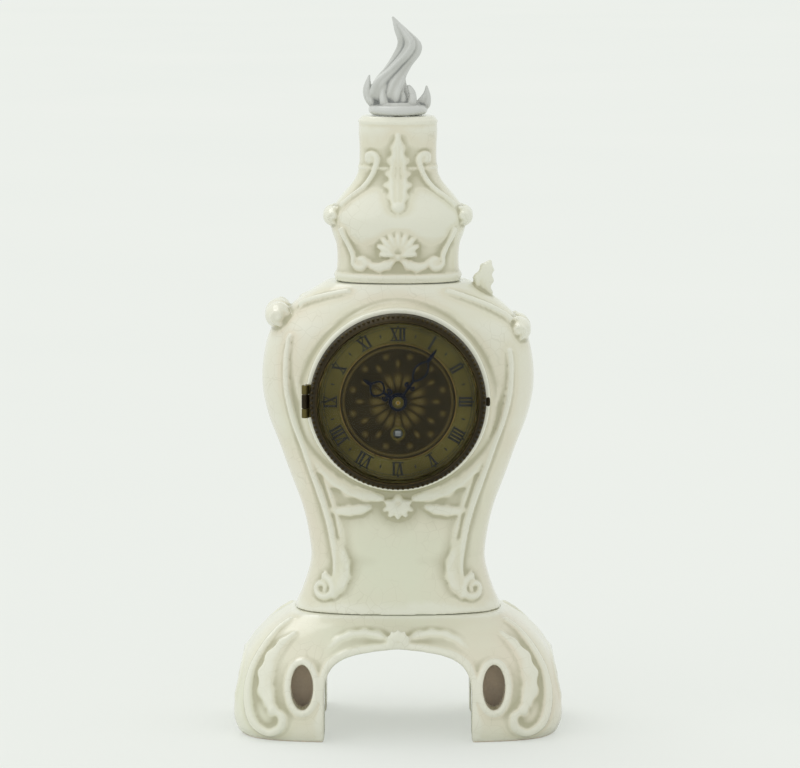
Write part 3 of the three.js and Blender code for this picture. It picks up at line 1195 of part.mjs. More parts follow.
function buildBarrel() {
  const place = addGroup(dialGroup, barrelAt.x, 0, barrelAt.z);
  const greatFront = frontPlateBack + BORE_FIT;
  const greatBack = greatFront + GREAT_WHEEL_THICKNESS;
  const drumRadius = barrelTip - (WHEEL_ADDENDUM + WHEEL_DEDENDUM) * BARREL_MODULE - DRUM_STEP;
  const drumInside = drumRadius - DRUM_WALL;
  const drumBack = greatBack + DRUM_LENGTH;
  const endBore = BARREL_HUB_RADIUS + BORE_FIT;
  const drum = turned([
    [endBore, greatFront],
    [drumRadius, greatFront],
    [drumRadius, drumBack],
    [drumInside, drumBack],
    [drumInside, greatBack],
    [endBore, greatBack],
  ], FINE);
  const teeth = wheelShape(BARREL_MODULE, BARREL_TEETH, angleTo(barrelAt, CENTRE));
  teeth.holes.push(new THREE.Path(circle(0, 0, drumRadius - DRUM_WALL / 2, FINE)));
  add(place, "barrel", join(plate(teeth, greatFront, greatBack), drum), BRASS);
  const coverFront = drumBack + SEAM;
  add(place, "barrel_cover", tube(endBore, drumRadius, coverFront, coverFront + BARREL_END, FINE), BRASS);

  const strip = [];
  const stepsPerTurn = 10;
  const innerCoil = BARREL_HUB_RADIUS + 2 * BORE_FIT;
  const outerCoil = drumInside - BORE_FIT - SPRING_THICKNESS;
  const steps = SPRING_TURNS * stepsPerTurn;
  const coilPoint = (i, offset) =>
    polar(THREE.MathUtils.lerp(innerCoil, outerCoil, i / steps) + offset, (i / stepsPerTurn) * 2 * Math.PI);
  for (let i = 0; i <= steps; i += 1) strip.push(coilPoint(i, 0));
  for (let i = steps; i >= 0; i -= 1) strip.push(coilPoint(i, SPRING_THICKNESS));
  add(place, "mainspring", plate(new THREE.Shape(strip), greatBack + SEAM, drumBack - SEAM), BLUED_STEEL);

  const squareBack = ratchetFront - SEAM;
  const square = new THREE.BoxGeometry(WINDING_SQUARE, squareBack - dialFront, WINDING_SQUARE);
  square.translate(0, (squareBack + dialFront) / 2, 0);
  const arbor = join(
    rod(BARREL_ARBOR_RADIUS, squareBack - OVERCUT, pivotBack),
    rod(BARREL_HUB_RADIUS, greatFront, coverFront + BARREL_END, MEDIUM),
    square,
  );
  add(place, "barrel_arbor", arbor, STEEL);

  const ratchet = [];
  const toothStep = (2 * Math.PI) / RATCHET_TEETH;
  for (let i = 0; i < RATCHET_TEETH; i += 1) {
    ratchet.push(polar(RATCHET_RADIUS, i * toothStep));
    ratchet.push(polar(RATCHET_ROOT, (i + RATCHET_RAKE) * toothStep));
  }
  const ratchetOutline = new THREE.Shape(ratchet);
  ratchetOutline.holes.push(new THREE.Path(circle(0, 0, BARREL_ARBOR_RADIUS + SHAKE, COARSE)));
  add(place, "ratchet_wheel", plate(ratchetOutline, ratchetFront, ratchetBack), STEEL);
}

// The click's beak lies just outside the ratchet's tips, and its spring lies along its back
function buildClick() {
  const place = addGroup(dialGroup, clickPivot.x, 0, clickPivot.z);
  const toRatchet = new THREE.Vector2(barrelAt.x - clickPivot.x, barrelAt.z - clickPivot.z);
  const beak = polar(RATCHET_RADIUS + SEAM, radians(CLICK_BEAK_ANGLE)).add(toRatchet);
  const along = beak.clone().normalize();
  const across = new THREE.Vector2(along.y, -along.x);
  const at = (share, side) =>
    beak.clone().multiplyScalar(share).addScaledVector(across, side * CLICK_WIDTH);
  const arm = new THREE.Shape([at(0, 0), at(0, 0.5), at(0.6, 0.5), at(1, 0.35), at(1, 0.05), at(0.75, 0)]);
  const hubRadius = 0.75 * CLICK_WIDTH;
  const hub = disc(hubRadius, [], MEDIUM);
  const lever = join(plate(hub, ratchetFront, ratchetBack), plate(arm, ratchetFront, ratchetBack));
  const bore = rod(CLICK_STUD_RADIUS + SHAKE, ratchetFront - OVERCUT, ratchetBack + OVERCUT);
  add(place, "click", cut(lever, bore), STEEL);

  const springBack = frontPlateFront - SEAM;
  const inner = hubRadius + 2 * SEAM;
  const [from, to] = CLICK_SPRING_ARC.map(radians);
  const bend = new THREE.Shape();
  bend.absarc(0, 0, inner + SPRING_THICKNESS, from, to, false);
  bend.absarc(0, 0, inner, to, from, true);
  const footSpot = polar(inner + CLICK_WIDTH / 2, from);
  const foot = disc(CLICK_WIDTH / 2, [], COARSE);
  const clickSpring = join(
    plate(bend, ratchetFront, springBack),
    plate(foot, ratchetFront, springBack).translate(footSpot.x, 0, footSpot.y),
  );
  add(place, "click_spring", clickSpring, BLUED_STEEL);
}

// Going train

function arborWheel(name, at, arborRadius, front, back, gears) {
  const solids = gears.map(({ shape, from, to }) => plate(shape, from, to));
  const wheel = join(rod(arborRadius, front, back), ...solids);
  add(dialGroup, name, wheel, BRASS).position.set(at.x, 0, at.z);
}

function buildTrain() {
  const greatFront = frontPlateBack + SEAM;
  const centreLevel = backPlateFront - CENTRE_WHEEL_SETBACK;
  const thirdLevel = frontPlateBack + THIRD_WHEEL_LEVEL;
  const escapeLevel = frontPlateBack + ESCAPE_WHEEL_LEVEL;
  const crossed = (module, teeth, angle) => {
    const rimInside = wheelTip(module, teeth) - WHEEL_RIM;
    return crossOut(wheelShape(module, teeth, angle), WHEEL_ARMS, WHEEL_HUB, rimInside, WHEEL_ARM);
  };

  arborWheel("centre_wheel", CENTRE, CENTRE_ARBOR_RADIUS, handNutFront + SEAM, pivotBack, [
    {
      shape: pinionShape(BARREL_MODULE, CENTRE_LEAVES, angleTo(CENTRE, barrelAt)),
      from: greatFront,
      to: greatFront + CENTRE_PINION_LENGTH,
    },
    {
      shape: crossed(CENTRE_MODULE, CENTRE_TEETH, angleTo(CENTRE, thirdAt)),
      from: centreLevel,
      to: centreLevel + WHEEL_THICKNESS,
    },
  ]);
  arborWheel("third_wheel", thirdAt, THIRD_ARBOR_RADIUS, pivotFront, pivotBack, [
    {
      shape: pinionShape(CENTRE_MODULE, THIRD_LEAVES, angleTo(thirdAt, CENTRE)),
      from: centreLevel - PINION_LEAD,
      to: centreLevel - PINION_LEAD + PINION_LENGTH,
    },
    {
      shape: crossed(THIRD_MODULE, THIRD_TEETH, angleTo(thirdAt, escapeAt)),
      from: thirdLevel,
      to: thirdLevel + WHEEL_THICKNESS,
    },
  ]);

  const teeth = [];
  const toothStep = (2 * Math.PI) / ESCAPE_TEETH;
  for (let i = 0; i < ESCAPE_TEETH; i += 1) {
    teeth.push(polar(ESCAPE_RADIUS, i * toothStep), polar(ESCAPE_ROOT, (i + ESCAPE_RAKE) * toothStep));
  }
  arborWheel("escape_wheel", escapeAt, ESCAPE_ARBOR_RADIUS, pivotFront, pivotBack, [
    {
      shape: pinionShape(THIRD_MODULE, ESCAPE_LEAVES, angleTo(escapeAt, thirdAt)),
      from: thirdLevel - PINION_LEAD,
      to: thirdLevel - PINION_LEAD + PINION_LENGTH,
    },
    {
      shape: crossOut(new THREE.Shape(teeth), WHEEL_ARMS, ESCAPE_HUB, ESCAPE_RIM_INSIDE, ESCAPE_ARM),
      from: escapeLevel,
      to: escapeLevel + ESCAPE_THICKNESS,
    },
  ]);

  const reach = ESCAPE_RADIUS + PALLET_CLEARANCE;
  const palletDrop = escapeAt.z - palletAt.z;
  const [from, to] = PALLET_SPAN.map(radians);
  const anchor = new THREE.Shape();
  anchor.absarc(0, palletDrop, reach + PALLET_DEPTH, from, to, false);
  anchor.absarc(0, palletDrop, reach, to, from, true);
  const hub = disc(PALLET_HUB, [], COARSE);
  const front = escapeLevel - PALLET_OVERLAP;
  const back = escapeLevel + ESCAPE_THICKNESS + PALLET_OVERLAP;
  const neckBottom = palletDrop + reach + PALLET_DEPTH / 2;
  const crutchEnd = backPlateBack + CRUTCH_STANDOFF + CRUTCH_THICKNESS + RUNNING_GAP;
  const pallets = join(
    plate(anchor, front, back),
    plate(hub, front, back),
    block([-PALLET_ARBOR_RADIUS, front, neckBottom], [PALLET_ARBOR_RADIUS, back, 0]),
    rod(PALLET_ARBOR_RADIUS, pivotFront, crutchEnd),
  );
  add(dialGroup, "pallet_anchor", pallets, STEEL).position.set(palletAt.x, 0, palletAt.z);
}

// Motion work: cannon pinion, minute wheel and hour wheel

function buildMotionWork() {
  const arborBore = CENTRE_ARBOR_RADIUS + SHAKE;
  const leafBack = frontPlateFront - 2 * SEAM;
  const leafFront = leafBack - CANNON_LEAF_LENGTH;
  const pipeFront = minuteHandFront - SEAM;
  const cannon = join(
    plate(pinionShape(CANNON_MODULE, CANNON_LEAVES, angleTo(CENTRE, minuteAt)), leafFront, leafBack),
    rod(CANNON_PIPE_RADIUS, pipeFront, leafBack, MEDIUM),
  );
  const cannonBore = rod(arborBore, pipeFront - OVERCUT, leafBack + OVERCUT);
  add(dialGroup, "cannon_pinion", cut(cannon, cannonBore), STEEL);

  const towardsCentre = angleTo(minuteAt, CENTRE);
  const minuteTeeth = wheelShape(CANNON_MODULE, MINUTE_TEETH, towardsCentre);
  const minuteLeaves = pinionShape(hourModule, MINUTE_LEAVES, towardsCentre);
  const minuteWheel = join(
    plate(minuteTeeth, minuteWheelFront, minuteWheelBack),
    plate(minuteLeaves, minutePinionFront, minuteWheelBack),
  );
  const studBore = rod(MINUTE_STUD_RADIUS + SHAKE, minutePinionFront - OVERCUT, minuteWheelBack + OVERCUT);
  const onStud = add(dialGroup, "minute_wheel", cut(minuteWheel, studBore), BRASS);
  onStud.position.set(minuteAt.x, 0, minuteAt.z);

  const pipeInside = CANNON_PIPE_RADIUS + BORE_FIT;
  const hourPipeFront = hourHandFront - SEAM;
  const hourTeeth = wheelShape(hourModule, HOUR_TEETH, angleTo(CENTRE, minuteAt));
  const hourWheel = join(
    plate(hourTeeth, hourWheelFront, hourWheelBack),
    rod(pipeInside + HOUR_PIPE_WALL, hourPipeFront, hourWheelBack, MEDIUM),
  );
  const pipeBore = rod(pipeInside, hourPipeFront - OVERCUT, hourWheelBack + OVERCUT, MEDIUM);
  add(dialGroup, "hour_wheel", cut(hourWheel, pipeBore), BRASS);
}

// Crutch, suspension and pendulum behind the back plate, hung from the pallet arbor's height

function buildPendulum() {
  const place = addGroup(dialGroup, palletAt.x, 0, palletAt.z);
  const crutchFront = backPlateBack + CRUTCH_STANDOFF;
  const crutchBack = crutchFront + CRUTCH_THICKNESS;
  const forkInside = PENDULUM_ROD_RADIUS + BORE_FIT;
  const forkOutside = forkInside + FORK_WALL;
  const forkBack = PENDULUM_OFFSET + PENDULUM_ROD_RADIUS + FORK_REACH;
  const forkTop = -CRUTCH_LENGTH + FORK_HEIGHT;
  const hub = disc(PALLET_ARBOR_RADIUS + CRUTCH_HUB_WALL, [], COARSE);
  const crutch = join(
    plate(hub, crutchFront, crutchBack),
    block([-CRUTCH_HALF_WIDTH, crutchFront, -CRUTCH_LENGTH], [CRUTCH_HALF_WIDTH, crutchBack, 0]),
    block([-forkOutside, crutchFront, -CRUTCH_LENGTH], [forkOutside, crutchBack, forkTop]),
    block([-forkOutside, crutchFront, -CRUTCH_LENGTH], [-forkInside, forkBack, forkTop]),
    block([forkInside, crutchFront, -CRUTCH_LENGTH], [forkOutside, forkBack, forkTop]),
  );
  const hubBore = rod(PALLET_ARBOR_RADIUS + SHAKE, crutchFront - OVERCUT, crutchBack + OVERCUT);
  add(place, "crutch", cut(crutch, hubBore), STEEL);

  const footFront = backPlateBack + SEAM;
  const footBack = footFront + COCK_FOOT_THICKNESS;
  const footBottom = PALLET_ARBOR_RADIUS + COCK_FOOT_THICKNESS;
  const footTop = footBottom + COCK_FOOT_HEIGHT;
  const armTop = COCK_ARM_BOTTOM + COCK_ARM_HEIGHT;
  const stripFront = PENDULUM_OFFSET - STRIP_HALF_WIDTH;
  const stripBack = PENDULUM_OFFSET + STRIP_HALF_WIDTH;
  const armFront = stripFront - COCK_FOOT_THICKNESS;
  const armBack = stripBack + COCK_MARGIN;
  const cock = sideBar([
    [footFront, footBottom],
    [armFront, footBottom],
    [armFront, COCK_ARM_BOTTOM],
    [armBack, COCK_ARM_BOTTOM],
    [armBack, armTop],
    [footBack, armTop],
    [footBack, footTop],
    [footFront, footTop],
  ], -COCK_HALF_WIDTH, COCK_HALF_WIDTH);
  const slotHalf = SUSPENSION_STRIP / 2 + BORE_FIT;
  const slot = block(
    [-slotHalf, stripFront - BORE_FIT, COCK_ARM_BOTTOM - OVERCUT],
    [slotHalf, stripBack + BORE_FIT, armTop + OVERCUT],
  );
  add(place, "suspension_cock", cut(cock, slot), BRASS);

  const upperChopBottom = armTop + SEAM;
  const chop = (bottom, height) =>
    block([-CHOP_HALF_THICKNESS, stripFront, bottom], [CHOP_HALF_THICKNESS, stripBack, bottom + height]);
  const strip = block(
    [-SUSPENSION_STRIP / 2, stripFront, -LOWER_CHOP_DROP + OVERCUT],
    [SUSPENSION_STRIP / 2, stripBack, upperChopBottom + OVERCUT],
  );
  const lowerChop = chop(-LOWER_CHOP_DROP, LOWER_CHOP_HEIGHT);
  const upperChop = chop(upperChopBottom, UPPER_CHOP_HEIGHT);
  add(place, "suspension_spring", join(strip, lowerChop, upperChop), BLUED_STEEL);

  const rodBottom = bodyBottom + WALL + FLOOR_CLEARANCE;
  const nutBottom = rodBottom + ROD_END;
  const bobBottom = nutBottom + RATING_NUT_HEIGHT + SEAM;
  const bobMiddle = bobBottom + BOB_RADIUS;
  const behind = addGroup(clock, 0, PENDULUM_OFFSET, 0);
  const rodTop = dialAxis + palletAt.z - LOWER_CHOP_DROP - SEAM;
  add(behind, "pendulum_rod", post(PENDULUM_ROD_RADIUS, rodBottom, rodTop), STEEL);
  const lens = turned([
    [0, -BOB_HALF_THICKNESS],
    [0.4 * BOB_RADIUS, -0.9 * BOB_HALF_THICKNESS],
    [0.75 * BOB_RADIUS, -0.55 * BOB_HALF_THICKNESS],
    [BOB_RADIUS, -0.12 * BOB_HALF_THICKNESS],
    [BOB_RADIUS, 0.12 * BOB_HALF_THICKNESS],
    [0.75 * BOB_RADIUS, 0.55 * BOB_HALF_THICKNESS],
    [0.4 * BOB_RADIUS, 0.9 * BOB_HALF_THICKNESS],
    [0, BOB_HALF_THICKNESS],
  ], FINE).translate(0, 0, bobMiddle);
  const boreRadius = PENDULUM_ROD_RADIUS + BORE_FIT;
  const bobSleeve = post(boreRadius + BOB_SLEEVE_WALL, bobBottom, bobBottom + BOB_SLEEVE_LENGTH);
  const bobBore = post(boreRadius, bobBottom - OVERCUT, bobMiddle + BOB_RADIUS + OVERCUT);
  add(behind, "pendulum_bob", cut(join(lens, bobSleeve), bobBore), BRASS);
  const nut = cut(
    post(RATING_NUT_RADIUS, nutBottom, nutBottom + RATING_NUT_HEIGHT, MEDIUM),
    post(PENDULUM_ROD_RADIUS + SHAKE, nutBottom - OVERCUT, nutBottom + RATING_NUT_HEIGHT + OVERCUT),
  );
  add(behind, "rating_nut", nut, BRASS);
}

// Rear ring, straps and back door

function buildBack() {
  const ringFront = BOSS_FACE + SEAM;
  const ringBack = ringFront + FLANGE_THICKNESS;
  const lipInside = spigotInside - RING_LIP;
  const screwAt = strapInside - STRAP_SCREW_INSET;
  const tabInside = screwAt - STRAP_SCREW_INSET;
  const tabBack = ringFront - STRAP_TAB_SETBACK;
  const tabFront = tabBack - STRAP_TAB_THICKNESS;
  const lugFront = tabBack + 2 * SEAM;
  const lugBack = lugFront + LUG_THICKNESS;
  const halfWidth = STRAP_WIDTH / 2;
  const ring = turned([
    [spigotInside, ringFront - SPIGOT_LENGTH],
    [spigotOutside, ringFront - SPIGOT_LENGTH],
    [spigotOutside, ringFront],
    [flangeRadius, ringFront],
    [flangeRadius, ringBack],
    [lipInside, ringBack],
    [lipInside, ringFront],
    [spigotInside, ringFront],
  ], FINE);

  const strapTurns = [["right", STRAP_ANGLE], ["left", 180 - STRAP_ANGLE]];
  const lugs = [];
  const lugHoles = [];
  for (const [name, degrees] of strapTurns) {
    const turn = radians(degrees);
    const lugOutside = spigotInside + RING_WALL / 2;
    const lug = block([tabInside, lugFront, -halfWidth], [lugOutside, lugBack, halfWidth]);
    const lugHole = rod(STRAP_SCREW_RADIUS + BORE_FIT, lugFront - OVERCUT, lugBack + OVERCUT);
    lugs.push(lug.rotateY(turn));
    lugHoles.push(lugHole.translate(screwAt, 0, 0).rotateY(turn));

    const strap = join(
      block([strapInside, dialBack + SEAM, -halfWidth], [strapOutside, tabBack, halfWidth]),
      block([tabInside, tabFront, -halfWidth], [strapOutside, tabBack, halfWidth]),
    );
    const tabHole = rod(STRAP_SCREW_RADIUS + SHAKE, tabFront - OVERCUT, tabBack + OVERCUT);
    tabHole.translate(screwAt, 0, 0);
    const turnedGroup = addGroup(dialGroup, 0, 0, 0);
    turnedGroup.rotation.y = turn;
    add(turnedGroup, `case_strap_${name}`, cut(strap, tabHole), BRASS);
    const screw = join(
      rod(STRAP_SCREW_RADIUS, tabBack - STRAP_SCREW_REACH, lugBack + OVERCUT),
      rod(STRAP_SCREW_HEAD, lugBack + SEAM, lugBack + SEAM + LUG_THICKNESS, MEDIUM),
    );
    add(turnedGroup, `strap_screw_${name}`, screw, STEEL).position.x = screwAt;
  }
  const leafLow = [-leafReach, ringFront - backHinge.y];
  const leafHigh = [0, ringBack - backHinge.y];
  const flanged = cut(join(ring, ...lugs), ...lugHoles);
  add(dialGroup, "rear_ring", withKnuckles(flanged, backHinge, ringKnuckles, leafLow, leafHigh), BRASS);

  const doorFront = ringBack + SEAM;
  const doorBack = doorFront + DOOR_THICKNESS;
  const doorRadius = dialRadius + DOOR_OVERLAP;
  const door = turned([
    [0, doorFront],
    [doorRadius, doorFront],
    [doorRadius, doorBack - 0.4 * DOOR_THICKNESS],
    [doorRadius - DOOR_THICKNESS, doorBack],
    [0, doorBack + DOOR_CROWN],
  ], FINE);
  const latchAt = LATCH_REACH - LATCH_HOLD - lipInside;
  const latchHole = rod(LATCH_SHAFT_RADIUS + SHAKE, doorFront - OVERCUT, doorBack + DOOR_CROWN + OVERCUT);
  latchHole.translate(latchAt, 0, 0);
  const doorLeafLow = [doorRadius - DOOR_LEAF_REACH - hingeOut, doorFront - backHinge.y];
  const doorLeafHigh = [0, doorBack - backHinge.y];
  const hinged = withKnuckles(door, backHinge, doorKnuckle, doorLeafLow, doorLeafHigh);
  add(dialGroup, "back_door", cut(hinged, latchHole), BRASS);
  const pin = post(HINGE_PIN_RADIUS, -hingePinHalf, hingePinHalf);
  add(dialGroup, "back_door_hinge_pin", pin, STEEL).position.set(backHinge.x, backHinge.y, 0);

  const tongueBack = ringFront - 2 * SEAM;
  const tongueFront = tongueBack - LATCH_TONGUE_THICKNESS;
  const knobFront = doorBack + DOOR_CROWN + SEAM;
  const knobBack = knobFront + LATCH_KNOB_LENGTH;
  const latch = join(
    rod(LATCH_SHAFT_RADIUS, tongueFront, knobFront + OVERCUT),
    block([-LATCH_SHAFT_RADIUS, tongueFront, 0], [LATCH_SHAFT_RADIUS, tongueBack, LATCH_REACH]),
    turned([
      [0, knobFront],
      [0.7 * LATCH_KNOB_RADIUS, knobFront],
      [0.55 * LATCH_KNOB_RADIUS, knobFront + 0.27 * LATCH_KNOB_LENGTH],
      [LATCH_KNOB_RADIUS, knobFront + 0.5 * LATCH_KNOB_LENGTH],
      [LATCH_KNOB_RADIUS, knobFront + 0.83 * LATCH_KNOB_LENGTH],
      [0.6 * LATCH_KNOB_RADIUS, knobBack],
      [0, knobBack],
    ], MEDIUM),
  );
  add(dialGroup, "door_latch", latch, BRASS).position.x = latchAt;
}

buildCase();
buildFront();
buildDial();
buildHands();
buildPlates();
buildBarrel();
buildClick();
buildTrain();
buildMotionWork();
buildPendulum();
buildBack();

export default clock;
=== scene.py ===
"""The looks of a rococo porcelain mantel clock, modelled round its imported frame.

The porcelain case, flame finial, glazed bezel, dial, hands, case back and pendulum are modelled here and
ride on the frame's bodies. Every other piece of the frame keeps its shape and gets a finish. Lengths are
metres, +Z is up and the dial faces -Y.
"""

from __future__ import annotations

import json
import logging
import math
from collections.abc import Callable, Iterable, Sequence
from dataclasses import dataclass
from enum import Enum
from typing import Any

import bmesh
import bpy
import numpy as np
from bmesh.types import BMEdge, BMesh, BMFace, BMVert
from mathutils import Matrix, Vector
from mathutils.geometry import interpolate_bezier

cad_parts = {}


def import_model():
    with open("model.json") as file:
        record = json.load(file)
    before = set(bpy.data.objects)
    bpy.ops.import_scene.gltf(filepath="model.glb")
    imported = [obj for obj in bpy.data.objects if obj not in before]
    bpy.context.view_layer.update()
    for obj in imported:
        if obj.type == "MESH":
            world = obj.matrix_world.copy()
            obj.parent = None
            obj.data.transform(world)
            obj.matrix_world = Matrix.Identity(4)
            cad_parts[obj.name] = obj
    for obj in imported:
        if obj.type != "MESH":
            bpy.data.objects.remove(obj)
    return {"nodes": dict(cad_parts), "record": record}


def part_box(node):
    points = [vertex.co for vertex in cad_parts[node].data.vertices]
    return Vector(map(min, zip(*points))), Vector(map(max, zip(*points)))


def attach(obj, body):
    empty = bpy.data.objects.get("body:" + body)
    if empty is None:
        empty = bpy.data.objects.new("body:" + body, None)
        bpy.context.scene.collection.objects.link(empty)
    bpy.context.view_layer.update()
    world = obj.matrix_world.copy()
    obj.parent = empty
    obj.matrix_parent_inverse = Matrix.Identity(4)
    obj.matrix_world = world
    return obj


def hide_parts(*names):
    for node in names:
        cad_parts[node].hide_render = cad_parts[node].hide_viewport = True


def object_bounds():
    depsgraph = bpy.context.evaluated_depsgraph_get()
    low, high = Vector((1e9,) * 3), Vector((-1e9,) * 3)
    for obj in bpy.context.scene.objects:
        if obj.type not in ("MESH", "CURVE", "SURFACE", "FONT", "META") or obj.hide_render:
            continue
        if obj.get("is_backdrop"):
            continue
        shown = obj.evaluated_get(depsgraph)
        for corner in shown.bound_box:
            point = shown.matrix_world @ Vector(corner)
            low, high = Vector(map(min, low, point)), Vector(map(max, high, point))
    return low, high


MM = 0.001
OVERCUT = 5 * MM
FULL_TURN = 2.0 * math.pi
WORLD_UP = Vector((0.0, 0.0, 1.0))
DEPTH_AXIS = Vector((0.0, 1.0, 0.0))
LOG = logging.getLogger("clock")

Colour = tuple[float, float, float, float]
Box = tuple[Vector, Vector]
Size = tuple[float, float]
Knot = tuple[float, float, float]
Points = Sequence[Size]
Piece = bpy.types.Object
Socket = bpy.types.NodeSocket


class Side(Enum):
    """The two sides of the clock, seen from the front."""

    LEFT = -1.0
    RIGHT = 1.0


class Facing(Enum):
    """The show side and the wall side of the clock."""

    FRONT = -1.0
    BACK = 1.0


# Numbers


def srgb(red: int, green: int, blue: int) -> Colour:
    """Turns a colour as screens give it, from 0 to 255, into the linear values that shaders take.

    Args:
        red: Red of the colour.
        green: Green of the colour.
        blue: Blue of the colour.

    Returns:
        Linear red, green, blue and an alpha of one.
    """
    channels = [channel / 255.0 for channel in (red, green, blue)]
    linear = [s / 12.92 if s <= 0.04045 else ((s + 0.055) / 1.055) ** 2.4 for s in channels]
    return (linear[0], linear[1], linear[2], 1.0)


def blend_values(low: float, high: float, share: float) -> float:
    """Gives the value a share of the way from low to high."""
    return low + (high - low) * share


def bump_at(value: float, place: float, width: float) -> float:
    """Gives the height, up to one, of a smooth bump about a place."""
    return math.exp(-(((value - place) / width) ** 2))


def shares(steps: int) -> list[float]:
    """Lists the shares from 0 to 1 in even steps."""
    return [step / steps for step in range(steps + 1)]


def turns(count: int) -> list[float]:
    """Lists the angles of a full turn in even steps, without its end."""
    return [FULL_TURN * step / count for step in range(count)]


def middle_of(node: str) -> Vector:
    """Gives the middle of a frame node's box."""
    low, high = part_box(node)
    return (low + high) / 2.0


def half_of(node: str) -> Knot:
    """Gives half of a frame node's width, depth and height."""
    return tuple((high - low) / 2.0 for low, high in zip(*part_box(node)))


# Mesh building


def rim(verts: Iterable[BMVert]) -> list[BMEdge]:
    """Lists the edges that join the vertices of a fresh ring."""
    return list({edge for vert in verts for edge in vert.link_edges})


def add_ring(bm: BMesh, count: int, place: Callable[[float], Vector]) -> list[BMEdge]:
    """Adds a closed ring of vertices.

    Args:
        bm: The mesh that gets the ring.
        count: Number of vertices.
        place: Gives a vertex its place from its angle.

    Returns:
        The ring's edges.
    """
    made = bmesh.ops.create_circle(bm, cap_ends=False, segments=count, radius=1.0)
    for vert in made["verts"]:
        vert.co = place(math.atan2(vert.co.y, vert.co.x))
    return rim(made["verts"])


def add_section(bm: BMesh, point: Vector, axes: Sequence[Vector], sides: int, radius: float) -> list[BMEdge]:
    """Adds a round section of a bar.

    Args:
        bm: The mesh that gets the section.
        point: Its middle.
        axes: Directions across it, through its depth and along the bar.
        sides: Number of its sides.
        radius: Its radius.

    Returns:
        The section's edges.
    """
    matrix = Matrix.Translation(point) @ Matrix(axes).transposed().to_4x4()
    made = bmesh.ops.create_circle(bm, cap_ends=False, segments=sides, radius=radius, matrix=matrix)
    return rim(made["verts"])


def skin_rings(bm: BMesh, rings: Sequence[list[BMEdge]]) -> None:
    """Bridges rings in order and closes both ends.

    Args:
        bm: The mesh that holds the rings.
        rings: Edges of each ring, in order along the form.
    """
    for near, far in zip(rings, rings[1:]):
        bmesh.ops.bridge_loops(bm, edges=near + far)
    bmesh.ops.edgeloop_fill(bm, edges=rings[0])
    bmesh.ops.edgeloop_fill(bm, edges=rings[-1])


def merge_into(bm: BMesh, work: BMesh) -> None:
    """Moves everything in a working mesh into another mesh.

    Args:
        bm: The mesh that gets it.
        work: The working mesh, which is freed.
    """
    mesh = bpy.data.meshes.new("working")
    work.to_mesh(mesh)
    work.free()
    bm.from_mesh(mesh)
    bpy.data.meshes.remove(mesh)


def pull_out(bm: BMesh, work: BMesh, faces: Sequence[BMFace], reach: Vector) -> None:
    """Thickens faces of a working mesh into a closed form.

    Args:
        bm: The mesh that gets the form.
        work: The working mesh, which is freed.
        faces: Its faces.
        reach: From the faces to their copy on the other side.
    """
    made = bmesh.ops.extrude_face_region(work, geom=faces)
    moved = [item for item in made["geom"] if isinstance(item, BMVert)]
    bmesh.ops.translate(work, verts=moved, vec=reach)
    bmesh.ops.recalc_face_normals(work, faces=work.faces[:])
    merge_into(bm, work)


def add_tube(
    bm: BMesh,
    path: Sequence[Vector],
    radius: Callable[[float], float],
    sides: int = 12,
    flatness: float = 1.0,
) -> None:
    """Adds a round or flattened bar along a path, closed at both ends.

    Args:
        bm: The mesh that gets the bar.
        path: Points along the bar's middle.
        radius: Gives the bar's radius from the share of the path that is done.
        sides: Sides of the bar's section.
        flatness: Depth of the section over its width.
    """
    rings = []
    work = bmesh.new()
    last = len(path) - 1
    for index, point in enumerate(path):
        along = (path[min(index + 1, last)] - path[max(index - 1, 0)]).normalized()
        across = DEPTH_AXIS.cross(along)
        if across.length < 1e-6:
            across = WORLD_UP.cross(along)
        across.normalize()
        axes = (across, along.cross(across) * flatness, along)
        rings.append(add_section(work, point, axes, sides, radius(index / last)))
    skin_rings(work, rings)
    bmesh.ops.recalc_face_normals(work, faces=work.faces[:])
    merge_into(bm, work)


def add_lathe(
    bm: BMesh,
    profile: Points,
    centre: Vector,
    axis: Vector = DEPTH_AXIS,
    steps: int = 96,
    closed: bool = False,
) -> None:
    """Adds a turned form.

    Args:
        bm: The mesh that gets the form.
        profile: Radius and place along the axis of each point of the outline.
        centre: A point on the axis.
        axis: Direction of the axis.
        steps: Steps round the axis.
        closed: Whether the outline returns to its start, as a ring's does.
    """
    outward = Vector((1.0, 0.0, 0.0))
    work = bmesh.new()
    verts = [work.verts.new(centre + outward * radius + axis * along) for radius, along in profile]
    pairs = list(zip(verts, verts[1:]))
    if closed:
        pairs.append((verts[-1], verts[0]))
    for pair in pairs:
        work.edges.new(pair)
    geom = work.verts[:] + work.edges[:]
    bmesh.ops.spin(work, geom=geom, cent=centre, axis=axis, angle=FULL_TURN, steps=steps, use_merge=True)
    bmesh.ops.remove_doubles(work, verts=work.verts[:], dist=1e-7)
    bmesh.ops.recalc_face_normals(work, faces=work.faces[:])
    merge_into(bm, work)


def add_plug(bm: BMesh, centre: Vector, axis: Vector, radius: float, ends: Size, steps: int = 24) -> None:
    """Adds a plain cylinder.

    Args:
        bm: The mesh that gets the cylinder.
        centre: A point on its axis.
        axis: Direction of its axis.
        radius: Its radius.
        ends: Places of its ends along the axis.
        steps: Steps round it.
    """
    low, high = ends
    add_lathe(bm, [(0.0, low), (radius, low), (radius, high), (0.0, high)], centre, axis, steps)


